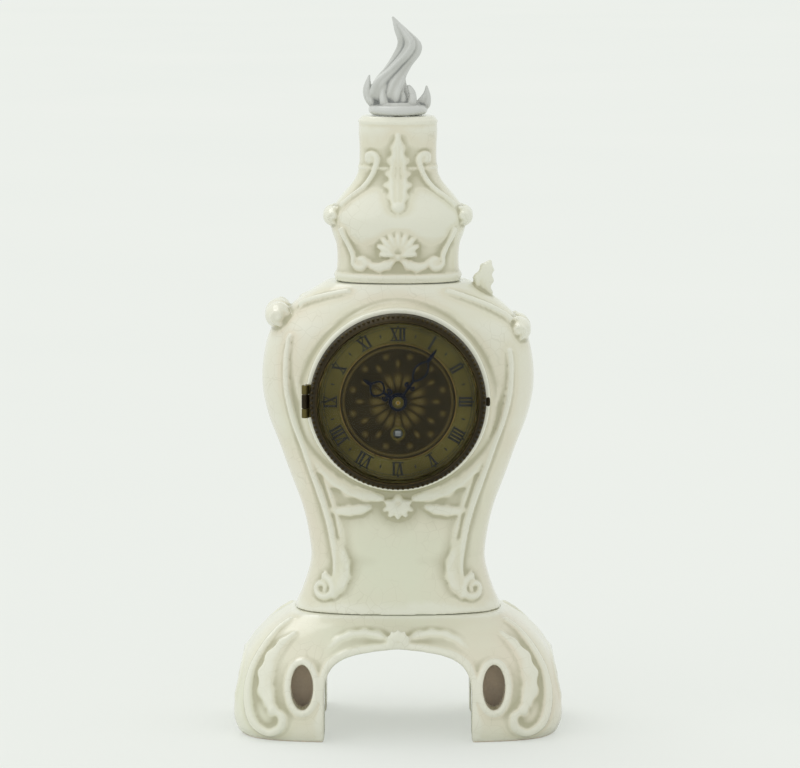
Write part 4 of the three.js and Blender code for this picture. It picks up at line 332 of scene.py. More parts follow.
def add_block(bm: BMesh, low: Sequence[float], high: Sequence[float], soften: float) -> None:
    """Adds a block with rounded edges between two corners.

    Args:
        bm: The mesh that gets the block.
        low: Lowest corner.
        high: Highest corner.
        soften: Width of the rounding along its edges.
    """
    work = bmesh.new()
    middle = (Vector(low) + Vector(high)) / 2.0
    size = Vector(high) - Vector(low)
    matrix = Matrix.Translation(middle) @ Matrix.Diagonal((*size, 1.0))
    bmesh.ops.create_cube(work, size=1.0, matrix=matrix)
    bmesh.ops.bevel(
        work,
        geom=work.edges[:],
        offset=soften,
        offset_type="OFFSET",
        affect="EDGES",
        segments=2,
        profile=0.5,
        material=-1,
    )
    merge_into(bm, work)


def add_ball(bm: BMesh, centre: Vector, radii: Sequence[float]) -> None:
    """Adds an egg-shaped form, whose radii along X, Y and Z are given in millimetres."""
    matrix = Matrix.Translation(centre) @ Matrix.Diagonal((*[radius * MM for radius in radii], 1.0))
    bmesh.ops.create_uvsphere(bm, u_segments=24, v_segments=16, radius=1.0, matrix=matrix)


def add_prism(bm: BMesh, outline: Sequence[Vector], reach: Vector) -> None:
    """Adds a straight form with a flat section.

    Args:
        bm: The mesh that gets the form.
        outline: Corners of its section, in order.
        reach: From one end of the form to the other.
    """
    work = bmesh.new()
    face = work.faces.new([work.verts.new(corner) for corner in outline])
    pull_out(bm, work, [face], reach)


def smooth_path(points: Sequence[Vector], steps: int = 8) -> list[Vector]:
    """Runs a smooth curve through points.

    Args:
        points: Points that the curve passes through.
        steps: Steps between each two of them.

    Returns:
        Points along the curve.
    """
    ends = [2.0 * points[0] - points[1], *points, 2.0 * points[-1] - points[-2]]
    path = []
    for before, start, end, after in zip(ends, ends[1:], ends[2:], ends[3:]):
        for t in shares(steps)[:-1]:
            linear = (end - before) * t
            square = (2.0 * before - 5.0 * start + 4.0 * end - after) * t**2
            cube = (3.0 * start - before - 3.0 * end + after) * t**3
            path.append(0.5 * (2.0 * start + linear + square + cube))
    path.append(points[-1].copy())
    return path


def volute(centre: Size, outer: float, inner: float, rounds: float, start: float, steps: int) -> list[Size]:
    """Works out a spiral that winds inwards.

    Args:
        centre: The eye's place in the spiral's own plane.
        outer: Radius where it starts.
        inner: Radius where it ends.
        rounds: Turns from start to end, negative for clockwise.
        start: Angle where it starts, in degrees.
        steps: Steps along it.

    Returns:
        Points in the spiral's plane.
    """
    points = []
    for share in shares(steps):
        radius = blend_values(outer, inner, share**0.8)
        angle = math.radians(start) + FULL_TURN * rounds * share
        points.append((centre[0] + radius * math.cos(angle), centre[1] + radius * math.sin(angle)))
    return points


@dataclass(frozen=True)
class LeafShape:
    """Proportions of a moulded acanthus leaf.

    Attributes:
        width: Half width at the widest place.
        lift: Height of its crown over the surface.
        lobes: Lobes along each edge.
        sink: Depth of its root under the surface.
        cut: Depth of the notches between lobes, as a share of the half width.
        curl: How far the tip stands off the surface.
        root: How broad its root is.
    """

    width: float
    lift: float
    lobes: float
    sink: float = 1.5 * MM
    cut: float = 0.32
    curl: float = 0.0
    root: float = 0.08

    def half_width(self, along: float, edge: float) -> float:
        """Gives the half width at a place, notched more towards the edge.

        Args:
            along: Share of the way to the tip.
            edge: Share of the way to the edge.

        Returns:
            The half width.
        """
        body = math.sin(math.pi * min(1.0, self.root + (1.0 - self.root) * along) ** 0.75) ** 0.7
        notch = 0.5 - 0.5 * math.cos(FULL_TURN * self.lobes * along)
        return self.width * max(body, 0.05) * (1.0 - self.cut * notch * edge**2)

    def height(self, along: float, edge: float) -> float:
        """Gives the height over the surface: a rib, a hollow beside it and a rolled edge.

        Args:
            along: Share of the way to the tip.
            edge: Share of the way to the edge.

        Returns:
            The height.
        """
        crown = 0.55 + 0.45 * bump_at(edge, 0.0, 0.14) + 0.35 * math.sin(math.pi * edge) ** 2
        fall = (1.0 - edge**4) * (1.0 - 0.6 * along**3)
        vein = 0.12 * math.cos(FULL_TURN * (self.lobes * along - 0.8 * edge)) * edge
        return self.lift * max(0.0, crown * fall + vein) + self.curl * along**3


def add_leaf(bm: BMesh, spine: Sequence[Vector], out: Vector, shape: LeafShape) -> None:
    """Adds a leaf along a spine as a closed form.

    Args:
        bm: The mesh that gets the leaf.
        spine: Points from the leaf's root to its tip.
        out: Direction that the leaf's face looks in.
        shape: The leaf's proportions.
    """
    work = bmesh.new()
    bmesh.ops.create_grid(work, x_segments=36, y_segments=16, size=1.0)
    last = len(spine) - 1
    for vert in work.verts:
        along, edge = (vert.co.x + 1.0) / 2.0, vert.co.y
        exact = along * last
        index = min(int(exact), last - 1)
        point = spine[index].lerp(spine[index + 1], exact - index)
        forward = (spine[index + 1] - spine[index]).normalized()
        across = forward.cross(out).normalized()
        reach = edge * shape.half_width(along, abs(edge))
        vert.co = point + across * reach + out * shape.height(along, abs(edge))
    pull_out(bm, work, work.faces[:], -out * (shape.sink + shape.lift))


def add_shell(
    bm: BMesh, root: Vector, reach: float, spread: float, lobes: int, out: Vector, thickness: float
) -> None:
    """Adds a fan of swelling lobes, as of a scallop shell.

    Args:
        bm: The mesh that gets the shell.
        root: Where the lobes meet.
        reach: Length of the middle lobe, negative for a shell that hangs.
        spread: Angle of the whole fan, in degrees.
        lobes: Number of lobes.
        out: Direction that the shell's face looks in.
        thickness: Radius of a lobe near its tip.
    """
    for place in shares(lobes - 1):
        share = place - 0.5
        angle = math.radians(spread) * share
        length = reach * (1.0 - 0.35 * abs(2.0 * share) ** 2)
        ray = Vector((math.sin(angle), 0.0, math.cos(angle)))
        path = []
        for along in shares(12):
            bulge = out * thickness * 0.9 * math.sin(math.pi * min(1.0, along * 0.9 + 0.1))
            path.append(root + ray * (length * along) + bulge)
        add_tube(bm, path, lambda s: thickness * (0.3 + 0.7 * s) * (1.0 - 0.55 * s**6), sides=10)


def add_rolled_ear(bm: BMesh, ear: Vector, radius: float, half: float, side: Side) -> None:
    """Adds a rolled ear, drawn in at its banded middle, with a spiral on each end.

    Args:
        bm: The mesh that gets the ear.
        ear: Middle of the roll.
        radius: Radius of the roll's ends.
        half: Half length of the roll, from front to back.
        side: The side that it looks to.
    """
    power = 3.2
    profile = []
    for place in shares(32):
        share = -1.0 + 2.0 * place
        waist = 1.0 - 0.2 * bump_at(share, 0.0, 0.4)
        profile.append((radius * waist * max(1.0 - abs(share) ** power, 0.0) ** 0.5, half * share))
    add_lathe(bm, profile, ear, steps=48)
    bead = 0.16 * radius
    for place in (-1.05 * bead, 1.05 * bead):
        band = [(0.8 * radius + bead * math.cos(a), place + bead * math.sin(a)) for a in turns(12)]
        add_lathe(bm, band, ear, steps=48, closed=True)
    for facing in Facing:
        path = []
        for x, z in volute((0.0, 0.0), 0.82 * radius, 0.06 * radius, 1.6 * side.value, 90.0, 48):
            share = min(math.hypot(x, z) / radius, 0.97)
            depth = half * (1.0 - share**2) ** (1.0 / power)
            path.append(ear + Vector((x, facing.value * (depth - 0.2 * MM), z)))
        add_tube(bm, path, lambda s: (0.19 - 0.065 * s) * radius, sides=10)


def mill_rim(
    verts: Iterable[BMVert], spot: Vector, plane: tuple[int, int], count: int, depth: float
) -> None:
    """Mills even flutes into the rim of a turned form.

    Args:
        verts: The rim's vertices.
        spot: A point on the form's axis.
        plane: Numbers of the two axes that the form's section lies in.
        count: Number of flutes.
        depth: Depth of a flute, as a share of the radius.
    """
    first, second = plane
    for vert in verts:
        across, up = vert.co[first] - spot[first], vert.co[second] - spot[second]
        shrink = 1.0 - depth * (0.5 + 0.5 * math.cos(count * math.atan2(up, across)))
        vert.co[first] = spot[first] + across * shrink
        vert.co[second] = spot[second] + up * shrink


# Pieces


def new_object(name: str, bm: BMesh, smooth: bool = True) -> Piece:
    """Makes an object at the origin from a mesh, which is freed.

    Args:
        name: The piece's name.
        bm: Its mesh.
        smooth: Whether its faces are shaded smooth.

    Returns:
        The new object, in the scene.
    """
    mesh = bpy.data.meshes.new(name)
    for face in bm.faces:
        face.smooth = smooth
    bm.to_mesh(mesh)
    bm.free()
    made = bpy.data.objects.new(name, mesh)
    bpy.context.scene.collection.objects.link(made)
    return made


def combine(piece: Piece, form: BMesh, operation: str = "DIFFERENCE") -> Piece:
    """Adds a step that cuts a form out of a piece, or joins it on.

    Args:
        piece: The piece.
        form: The form, which is freed.
        operation: The kind of boolean step.

    Returns:
        The form's object, which goes once the piece is settled.
    """
    tool = new_object(f"{piece.name}_tool", form)
    tool.hide_render = True
    modifier = piece.modifiers.new("combine", "BOOLEAN")
    modifier.operation = operation
    modifier.solver = "MANIFOLD"
    modifier.object = tool
    return tool


def settle(piece: Piece, tools: Sequence[Piece]) -> None:
    """Turns a piece's steps into plain mesh and clears the forms that they used.

    Args:
        piece: The piece.
        tools: Objects of the forms.
    """
    graph = bpy.context.evaluated_depsgraph_get()
    mesh = bpy.data.meshes.new_from_object(piece.evaluated_get(graph))
    mesh.name = piece.name
    old = piece.data
    piece.modifiers.clear()
    piece.data = mesh
    bpy.data.meshes.remove(old)
    for tool in tools:
        bpy.data.objects.remove(tool)


def soften_shading(piece: Piece, degrees: float = 35.0) -> None:
    """Shades a piece smooth except over edges that are sharper than an angle.

    Args:
        piece: The piece.
        degrees: The angle.
    """
    piece.data.shade_smooth()
    bm = bmesh.new()
    bm.from_mesh(piece.data)
    limit = math.radians(degrees)
    for edge in bm.edges:
        edge.smooth = len(edge.link_faces) == 2 and edge.calc_face_angle(0.0) < limit
    bm.to_mesh(piece.data)
    bm.free()


@dataclass(frozen=True)
class Casting:
    """How separate forms are run together into one softly moulded body.

    Attributes:
        grain: Size of the finest detail that is kept.
        softening: Passes of smoothing over the joins.
        keep: Share of the faces that is kept at the end.
    """

    grain: float
    softening: int
    keep: float

    def pour(
        self, name: str, form: BMesh, early: Sequence[BMesh] = (), late: Sequence[BMesh] = ()
    ) -> Piece:
        """Runs the forms of a mesh together and cuts the hollows.

        Args:
            name: The piece's name.
            form: Closed forms that overlap.
            early: Hollows with softened edges.
            late: Hollows whose edges stay crisp.

        Returns:
            The finished piece.
        """
        piece = new_object(name, form)
        self._remesh(piece)
        tools = [combine(piece, hollow) for hollow in early]
        if early:
            self._remesh(piece)
        smooth = piece.modifiers.new("soften", "SMOOTH")
        smooth.factor = 0.5
        smooth.iterations = self.softening
        piece.modifiers.new("thin", "DECIMATE").ratio = self.keep
        tools += [combine(piece, hollow) for hollow in late]
        settle(piece, tools)
        piece.data.shade_smooth()
        return piece

    def _remesh(self, piece: Piece) -> None:
        """Adds the step that runs overlapping forms together.

        Args:
            piece: The piece that gets the step.
        """
        modifier = piece.modifiers.new("join", "REMESH")
        modifier.mode = "VOXEL"
        modifier.voxel_size = self.grain
        modifier.use_smooth_shade = True


def vertex_rows(mesh: bpy.types.Mesh, name: str) -> np.ndarray:
    """Reads the place or the normal of each vertex.

    Args:
        mesh: The mesh.
        name: What is read, co or normal.

    Returns:
        A row for each vertex.
    """
    values = np.empty(len(mesh.vertices) * 3)
    mesh.vertices.foreach_get(name, values)
    return values.reshape(-1, 3)


def store(mesh: bpy.types.Mesh, name: str, values: np.ndarray) -> None:
    """Stores a value from 0 to 1 for each vertex, under the name that finishes read it by."""
    layer = mesh.attributes.new(name, "FLOAT", "POINT")
    layer.data.foreach_set("value", np.clip(values, 0.0, 1.0).astype(np.float32))


def mark_hollows(piece: Piece, passes: int, depth: float) -> None:
    """Stores how deep each point lies under its softened surroundings, for glaze that pools there and for
    the shade that is painted into the hollows.

    Args:
        piece: The piece to mark.
        passes: Passes of averaging, which set how wide the surroundings are.
        depth: Depth that counts as a full hollow.
    """
    mesh = piece.data
    count = len(mesh.vertices)
    places = vertex_rows(mesh, "co")
    ends = np.empty(len(mesh.edges) * 2, dtype=np.int32)
    mesh.edges.foreach_get("vertices", ends)
    first, second = ends[0::2], ends[1::2]
    degree = np.bincount(first, minlength=count) + np.bincount(second, minlength=count)
    degree = np.maximum(degree, 1)[:, None]
    soft = places.copy()
    for _ in range(passes):
        total = np.empty_like(soft)
        for axis in range(3):
            ahead = np.bincount(first, weights=soft[second, axis], minlength=count)
            behind = np.bincount(second, weights=soft[first, axis], minlength=count)
            total[:, axis] = ahead + behind
        soft = total / degree
    sunk = ((soft - places) * vertex_rows(mesh, "normal")).sum(axis=1)
    store(mesh, "hollow", 0.5 + 0.5 * sunk / depth)


def mark_bare(piece: Piece, boxes: Sequence[Box]) -> None:
    """Stores which points lie in unglazed places, which are the same in each quarter of the piece.

    Args:
        piece: The piece to mark.
        boxes: Boxes that hold the unglazed places of one quarter.
    """
    places = np.abs(vertex_rows(piece.data, "co"))
    bare = np.zeros(len(places))
    for low, high in boxes:
        bare[np.all((places >= np.array(low)) & (places <= np.array(high)), axis=1)] = 1.0
    store(piece.data, "bare", bare)


# Finishes


class Graph:
    """Short calls for adding and linking the nodes of a shader tree."""

    def __init__(self, tree: bpy.types.NodeTree) -> None:
        """Keeps the tree."""
        self.tree = tree

    def add(self, kind: str, inputs: dict[str | int, Any] | None = None, **settings: Any) -> bpy.types.Node:
        """Adds a node.

        Args:
            kind: The node's type, without its ShaderNode prefix.
            inputs: Values or sockets for its inputs, by name or number.
            **settings: Values for the node's own settings.

        Returns:
            The new node.
        """
        prefix = "" if kind.startswith("NodeGroup") else "ShaderNode"
        node = self.tree.nodes.new(prefix + kind)
        for name, value in settings.items():
            setattr(node, name, value)
        self.dress(node, inputs or {})
        return node

    def dress(self, node: bpy.types.Node, inputs: dict[str | int, Any]) -> None:
        """Links sockets to a node's inputs, or writes plain values there.

        Args:
            node: The node.
            inputs: Values or sockets for its inputs, by name or number.
        """
        for name, value in inputs.items():
            if isinstance(value, Socket):
                self.tree.links.new(value, node.inputs[name])
            else:
                node.inputs[name].default_value = value

    def math(self, operation: str, first: Any, second: Any) -> Socket:
        """Adds a sum of numbers and returns its result."""
        return self.add("Math", {0: first, 1: second}, operation=operation).outputs[0]

    def vector(self, operation: str, first: Any, second: Any) -> Socket:
        """Adds a sum of vectors and returns its result."""
        node = self.add("VectorMath", {0: first, 1: second}, operation=operation)
        return node.outputs["Value" if operation == "DOT_PRODUCT" else "Vector"]

    def span(self, value: Any, low: Any, high: Any, start: Any, end: Any) -> Socket:
        """Maps low to high onto start to end, kept inside them, and returns the result."""
        inputs = {"Value": value, "From Min": low, "From Max": high, "To Min": start, "To Max": end}
        return self.add("MapRange", inputs).outputs["Result"]

    def mix(self, share: Any, first: Any, second: Any) -> Socket:
        """Mixes two colours and returns the result."""
        return self.add("Mix", {0: share, 6: first, 7: second}, data_type="RGBA").outputs[2]

    def noise(self, place: Any, scale: Any, detail: float) -> Socket:
        """Adds a noise and returns its value."""
        return self.add("TexNoise", {"Vector": place, "Scale": scale, "Detail": detail}).outputs[0]

    def stored(self, name: str) -> Socket:
        """Reads a value that is stored for each vertex, none where the piece has no such value."""
        return self.add("Attribute", attribute_name=name).outputs["Fac"]

    def bump(self, height: Any, strength: float, distance: float) -> Socket:
        """Turns a height into a bumped normal."""
        inputs = {"Strength": strength, "Distance": distance, "Height": height}
        return self.add("Bump", inputs).outputs[0]

    def effect(self, name: str, place: Any, **inputs: float) -> Socket:
        """Places one of the shared effects and returns its value."""
        return self.add("Group", {"Vector": place, **inputs}, node_tree=Effects.get(name)).outputs[0]

    def mottled(self, place: Any, scale: float, low: float = 0.0, high: float = 1.0) -> Socket:
        """Places the effect of soft clouds and returns its value."""
        return self.effect("mottling", place, Scale=scale, Low=low, High=high)


class Effects:
    """Surface effects that more than one finish uses, each made once as a node group.

    Attributes:
        sockets: First values of each effect's inputs, beside its Vector, and the name of its output.
    """

    sockets: dict[str, tuple[dict[str, float], str]] = {
        "mottling": ({"Scale": 20.0, "Low": 0.0, "High": 1.0}, "Value"),
        "crackle": ({"Scale": 130.0, "Width": 0.03}, "Mask"),
        "edge_wear": ({"Radius": 0.0005, "Amount": 1.0}, "Mask"),
        "brushing": ({"Scale": 900.0, "Stretch": 0.04}, "Height"),
    }

    @classmethod
    def get(cls, name: str) -> bpy.types.NodeTree:
        """Gives an effect's node group, made on its first use.

        Args:
            name: The effect's name.

        Returns:
            The node group.
        """
        tree = bpy.data.node_groups.get(name)
        if tree is not None:
            return tree
        inputs, output = cls.sockets[name]
        tree = bpy.data.node_groups.new(name, "ShaderNodeTree")
        tree.interface.new_socket("Vector", in_out="INPUT", socket_type="NodeSocketVector")
        for key, value in inputs.items():
            socket = tree.interface.new_socket(key, in_out="INPUT", socket_type="NodeSocketFloat")
            socket.default_value = value
        tree.interface.new_socket(output, in_out="OUTPUT", socket_type="NodeSocketFloat")
        graph = Graph(tree)
        result = getattr(cls, f"_{name}")(graph, graph.add("NodeGroupInput").outputs)
        graph.add("NodeGroupOutput", {output: result})
        return tree

    @staticmethod
    def _mottling(graph: Graph, given: Any) -> Socket:
        """Makes soft clouds between two values."""
        noise = graph.noise(given["Vector"], given["Scale"], 4.0)
        return graph.span(noise, 0.32, 0.68, given["Low"], given["High"])

    @staticmethod
    def _crackle(graph: Graph, given: Any) -> Socket:
        """Makes the fine broken lines of an aged glaze.

        Args:
            graph: The effect's graph.
            given: The effect's inputs.

        Returns:
            How much a place lies on a line.
        """
        wander = graph.add("TexNoise", {"Vector": given["Vector"], "Scale": 90.0, "Detail": 2.0})
        bent = graph.vector("MULTIPLY", wander.outputs["Color"], (0.004, 0.004, 0.004))
        place = graph.vector("ADD", given["Vector"], bent)
        inputs = {"Vector": place, "Scale": given["Scale"]}
        cells = graph.add("TexVoronoi", inputs, feature="DISTANCE_TO_EDGE")
        line = graph.span(cells.outputs["Distance"], 0.0, given["Width"], 1.0, 0.0)
        shown = graph.span(graph.noise(given["Vector"], 28.0, 3.0), 0.42, 0.62, 0.0, 1.0)
        return graph.math("MULTIPLY", line, shown)

    @staticmethod
    def _edge_wear(graph: Graph, given: Any) -> Socket:
        """Makes a mask of the rubbed edges of a metal piece.

        Args:
            graph: The effect's graph.
            given: The effect's inputs.

        Returns:
            How much a place is rubbed.
        """
        rounded = graph.add("Bevel", {"Radius": given["Radius"]}, samples=4).outputs[0]
        facing = graph.vector("DOT_PRODUCT", rounded, graph.add("NewGeometry").outputs["Normal"])
        edge = graph.span(facing, 0.995, 0.93, 0.0, 1.0)
        broken = graph.span(graph.noise(given["Vector"], 300.0, 3.0), 0.35, 0.65, 0.2, 1.0)
        return graph.math("MULTIPLY", graph.math("MULTIPLY", edge, broken), given["Amount"])

    @staticmethod
    def _brushing(graph: Graph, given: Any) -> Socket:
        """Makes the fine lines that a polishing stick leaves."""
        squeeze = graph.add("CombineXYZ", {0: given["Stretch"], 1: 1.0, 2: 1.0}).outputs[0]
        return graph.noise(graph.vector("MULTIPLY", given["Vector"], squeeze), given["Scale"], 5.0)


def start_material(name: str) -> tuple[bpy.types.Material, Graph, bpy.types.Node, Socket]:
    """Begins a material.

    Args:
        name: The material's name.

    Returns:
        The material, its graph, its main shader and the Object coordinates.
    """
    material = bpy.data.materials.new(f"{name}_surface")
    material.use_nodes = True
    graph = Graph(material.node_tree)
    shader = material.node_tree.nodes["Principled BSDF"]
    return material, graph, shader, graph.add("TexCoord").outputs["Object"]


@dataclass(frozen=True)
class GlazeFinish:
    """Glazed porcelain with pooled glaze in the hollows and a fine crackle.

    Attributes:
        name: The material's name.
        body: Main colour.
        warm: Colour of the warmer clouds.
        pooled_and_shade: Colour where glaze pools in hollows, which also paints the shade there.
        thin: Colour where glaze runs thin over crests.
        bare: Colour of unglazed places.
        grit: Colour of the grains in unglazed places.
        crackle: How much the crackle shows.
    """

    name: str
    body: Colour
    warm: Colour
    pooled_and_shade: Colour
    thin: Colour
    bare: Colour
    grit: Colour
    crackle: float

    def material(self) -> bpy.types.Material:
        """Builds the material.

        Returns:
            The new material.
        """
        material, graph, shader, place = start_material(self.name)
        colour = graph.mix(graph.mottled(place, 14.0), self.body, self.warm)
        hollow = graph.stored("hollow")
        # painted shade: hollows darken towards the pooled colour, partly pooled glaze and partly shade
        # painted into the recesses
        colour = graph.mix(graph.span(hollow, 0.55, 0.95, 0.0, 0.85), colour, self.pooled_and_shade)
        colour = graph.mix(graph.span(hollow, 0.42, 0.1, 0.0, 0.7), colour, self.thin)
        lines = graph.effect("crackle", place, Scale=150.0, Width=0.035)
        colour = graph.mix(graph.math("MULTIPLY", lines, self.crackle), colour, self.pooled_and_shade)
        bare = graph.stored("bare")
        biscuit = graph.mix(graph.mottled(place, 700.0, 0.75), self.grit, self.bare)
        matt = graph.math("MULTIPLY", bare, 0.85)
        height = graph.math("SUBTRACT", graph.mottled(place, 110.0), graph.math("MULTIPLY", lines, 0.6))
        inputs = {
            "Base Color": graph.mix(bare, colour, biscuit),
            "Roughness": graph.math("MAXIMUM", graph.mottled(place, 60.0, 0.13, 0.24), matt),
            "Normal": graph.bump(height, 0.12, 0.15 * MM),
            "Coat Weight": graph.math("MULTIPLY", graph.math("SUBTRACT", 1.0, bare), 0.35),
            "Coat Roughness": 0.06,
            "IOR": 1.52,
        }
        graph.dress(shader, inputs)
        return material


@dataclass(frozen=True)
class MetalFinish:
    """Worked metal with clouds of tarnish, polishing lines, rubbed edges and a painted highlight on raised
    ornament.

    Attributes:
        name: The material's name.
        body: Main colour.
        tarnish: Colour of the dull clouds.
        wear_and_highlight: Colour of the rubbed edges, and of the painted highlight on raised ornament.
        metallic: How metallic the surface is.
        smooth: Lowest roughness.
        dull: Highest roughness.
        wear: How much the rubbed edges show.
        lines: Strength of the polishing lines.
    """

    name: str
    body: Colour
    tarnish: Colour
    wear_and_highlight: Colour
    metallic: float
    smooth: float
    dull: float
    wear: float = 0.8
    lines: float = 0.12

    def material(self) -> bpy.types.Material:
        """Builds the material.

        Returns:
            The new material.
        """
        material, graph, shader, place = start_material(self.name)
        clouds = graph.math("MULTIPLY", graph.mottled(place, 45.0), 0.7)
        dulled = graph.math("MAXIMUM", clouds, graph.mottled(place, 420.0, 0.0, 0.35))
        colour = graph.mix(dulled, self.body, self.tarnish)
        wear_and_highlight = graph.effect("edge_wear", place, Radius=0.3 * MM, Amount=self.wear)
        colour = graph.mix(wear_and_highlight, colour, self.wear_and_highlight)
        # painted highlight: raised ornament is lightened towards the rubbed colour, part wear and part
        # highlight
        raised = graph.span(graph.stored("raised"), 0.15, 0.9, 0.0, 0.36)
        inputs = {
            "Base Color": graph.mix(raised, colour, self.wear_and_highlight),
            "Roughness": graph.span(dulled, 0.0, 0.8, self.smooth, self.dull),
            "Normal": graph.bump(graph.effect("brushing", place), self.lines, 0.05 * MM),
            "Metallic": self.metallic,
        }
        graph.dress(shader, inputs)
        return material


@dataclass(frozen=True)
class GlassFinish:
    """Clear dial glass with faint smears.

    Attributes:
        name: The material's name.
        tint: Colour of the glass.
    """

    name: str
    tint: Colour

    def material(self) -> bpy.types.Material:
        """Builds the material.

        Returns:
            The new material.
        """
        material, graph, shader, place = start_material(self.name)
        smears = graph.mottled(place, 55.0, 0.0, 0.03)
        inputs = {"Base Color": self.tint, "Roughness": smears, "Transmission Weight": 1.0, "IOR": 1.12}
        graph.dress(shader, inputs)
        return material


@dataclass(frozen=True)
class InkFinish:
    """Black wax or paint in the engraving of the dial.

    Attributes:
        name: The material's name.
        body: Main colour.
        faded: Colour of the faded clouds.
    """

    name: str
    body: Colour
    faded: Colour

    def material(self) -> bpy.types.Material:
        """Builds the material.

        Returns:
            The new material.
        """
        material, graph, shader, place = start_material(self.name)
        colour = graph.mix(graph.mottled(place, 260.0), self.body, self.faded)
        graph.dress(shader, {"Base Color": colour, "Roughness": graph.mottled(place, 500.0, 0.4, 0.7)})
        return material


class Finish(Enum):
    """The finishes of the clock, by the frame's material slots, and the dial's ink."""

    CREAM_GLAZE = GlazeFinish(
        name="cream_glaze",
        body=srgb(224, 226, 203),
        warm=srgb(228, 221, 200),
        # the pooled colour also paints the shade in the hollows
        pooled_and_shade=srgb(176, 173, 142),
        thin=srgb(234, 235, 220),
        bare=srgb(240, 227, 208),
        grit=srgb(212, 196, 176),
        crackle=0.22,
    )
    GREY_GLAZE = GlazeFinish(
        name="grey_glaze",
        body=srgb(188, 191, 186),
        warm=srgb(196, 196, 189),
        # the pooled colour also paints the shade in the hollows
        pooled_and_shade=srgb(118, 121, 119),
        thin=srgb(212, 214, 210),
        bare=srgb(200, 188, 172),
        grit=srgb(170, 156, 140),
        crackle=0.25,
    )
    BRASS = MetalFinish(
        name="brass",
        body=srgb(164, 134, 78),
        tarnish=srgb(116, 92, 52),
        wear_and_highlight=srgb(206, 182, 124),
        metallic=1.0,
        smooth=0.24,
        dull=0.48,
    )
    AGED_BRASS = MetalFinish(
        name="aged_brass",
        body=srgb(104, 95, 52),
        tarnish=srgb(76, 66, 30),
        wear_and_highlight=srgb(150, 136, 92),
        metallic=0.75,
        smooth=0.4,
        dull=0.62,
        wear=0.5,
        lines=0.02,
    )
    DARK_BRONZE = MetalFinish(
        name="dark_bronze",
        body=srgb(45, 36, 12),
        tarnish=srgb(32, 24, 5),
        # the rubbed colour also paints a highlight on the dial centre's raised ornament
        wear_and_highlight=srgb(138, 118, 66),
        metallic=0.7,
        smooth=0.38,
        dull=0.6,
        wear=0.5,
        lines=0.02,
    )
    STEEL = MetalFinish(
        name="steel",
        body=srgb(150, 153, 158),
        tarnish=srgb(104, 102, 100),
        wear_and_highlight=srgb(206, 208, 212),
        metallic=1.0,
        smooth=0.26,
        dull=0.46,
    )
    BLUED_STEEL = MetalFinish(
        name="blued_steel",
        body=srgb(30, 34, 50),
        tarnish=srgb(24, 22, 26),
        wear_and_highlight=srgb(96, 98, 110),
        metallic=0.9,
        smooth=0.24,
        dull=0.4,
        wear=0.35,
        lines=0.06,
    )
    GLASS = GlassFinish(name="glass", tint=srgb(250, 252, 250))
    INK = InkFinish(name="dial_ink", body=srgb(16, 12, 6), faded=srgb(30, 24, 13))

    def material(self) -> bpy.types.Material:
        """Gives the finish's material, built on its first use."""
        found = bpy.data.materials.get(f"{self.value.name}_surface")
        return found if found is not None else self.value.material()


def enrol(piece: Piece, finish: Finish, body: str, *nodes: str, slot: str = "") -> None:
    """Gives a finished piece its material and its place in the frame.

    Args:
        piece: The piece.
        finish: Its finish.
        body: The body that it moves with.
        *nodes: The frame's nodes that it stands for.
        slot: Not used. The record's material slot that it belongs to, its finish's own where none is given.
    """
    piece.data.materials.clear()
    piece.data.materials.append(finish.material())
    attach(piece, body)
    slot or finish.value.name
    if nodes:
        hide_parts(*nodes)
    LOG.info("%s rides on %s with %d faces", piece.name, body, len(piece.data.polygons))


def present(piece: Piece, finish: Finish, body: str, *nodes: str, slot: str = "") -> None:
    """Enrols a metal or glass piece, as enrol says, with its sharp edges kept crisp."""
    soften_shading(piece)
    enrol(piece, finish, body, *nodes, slot=slot)


# The porcelain case


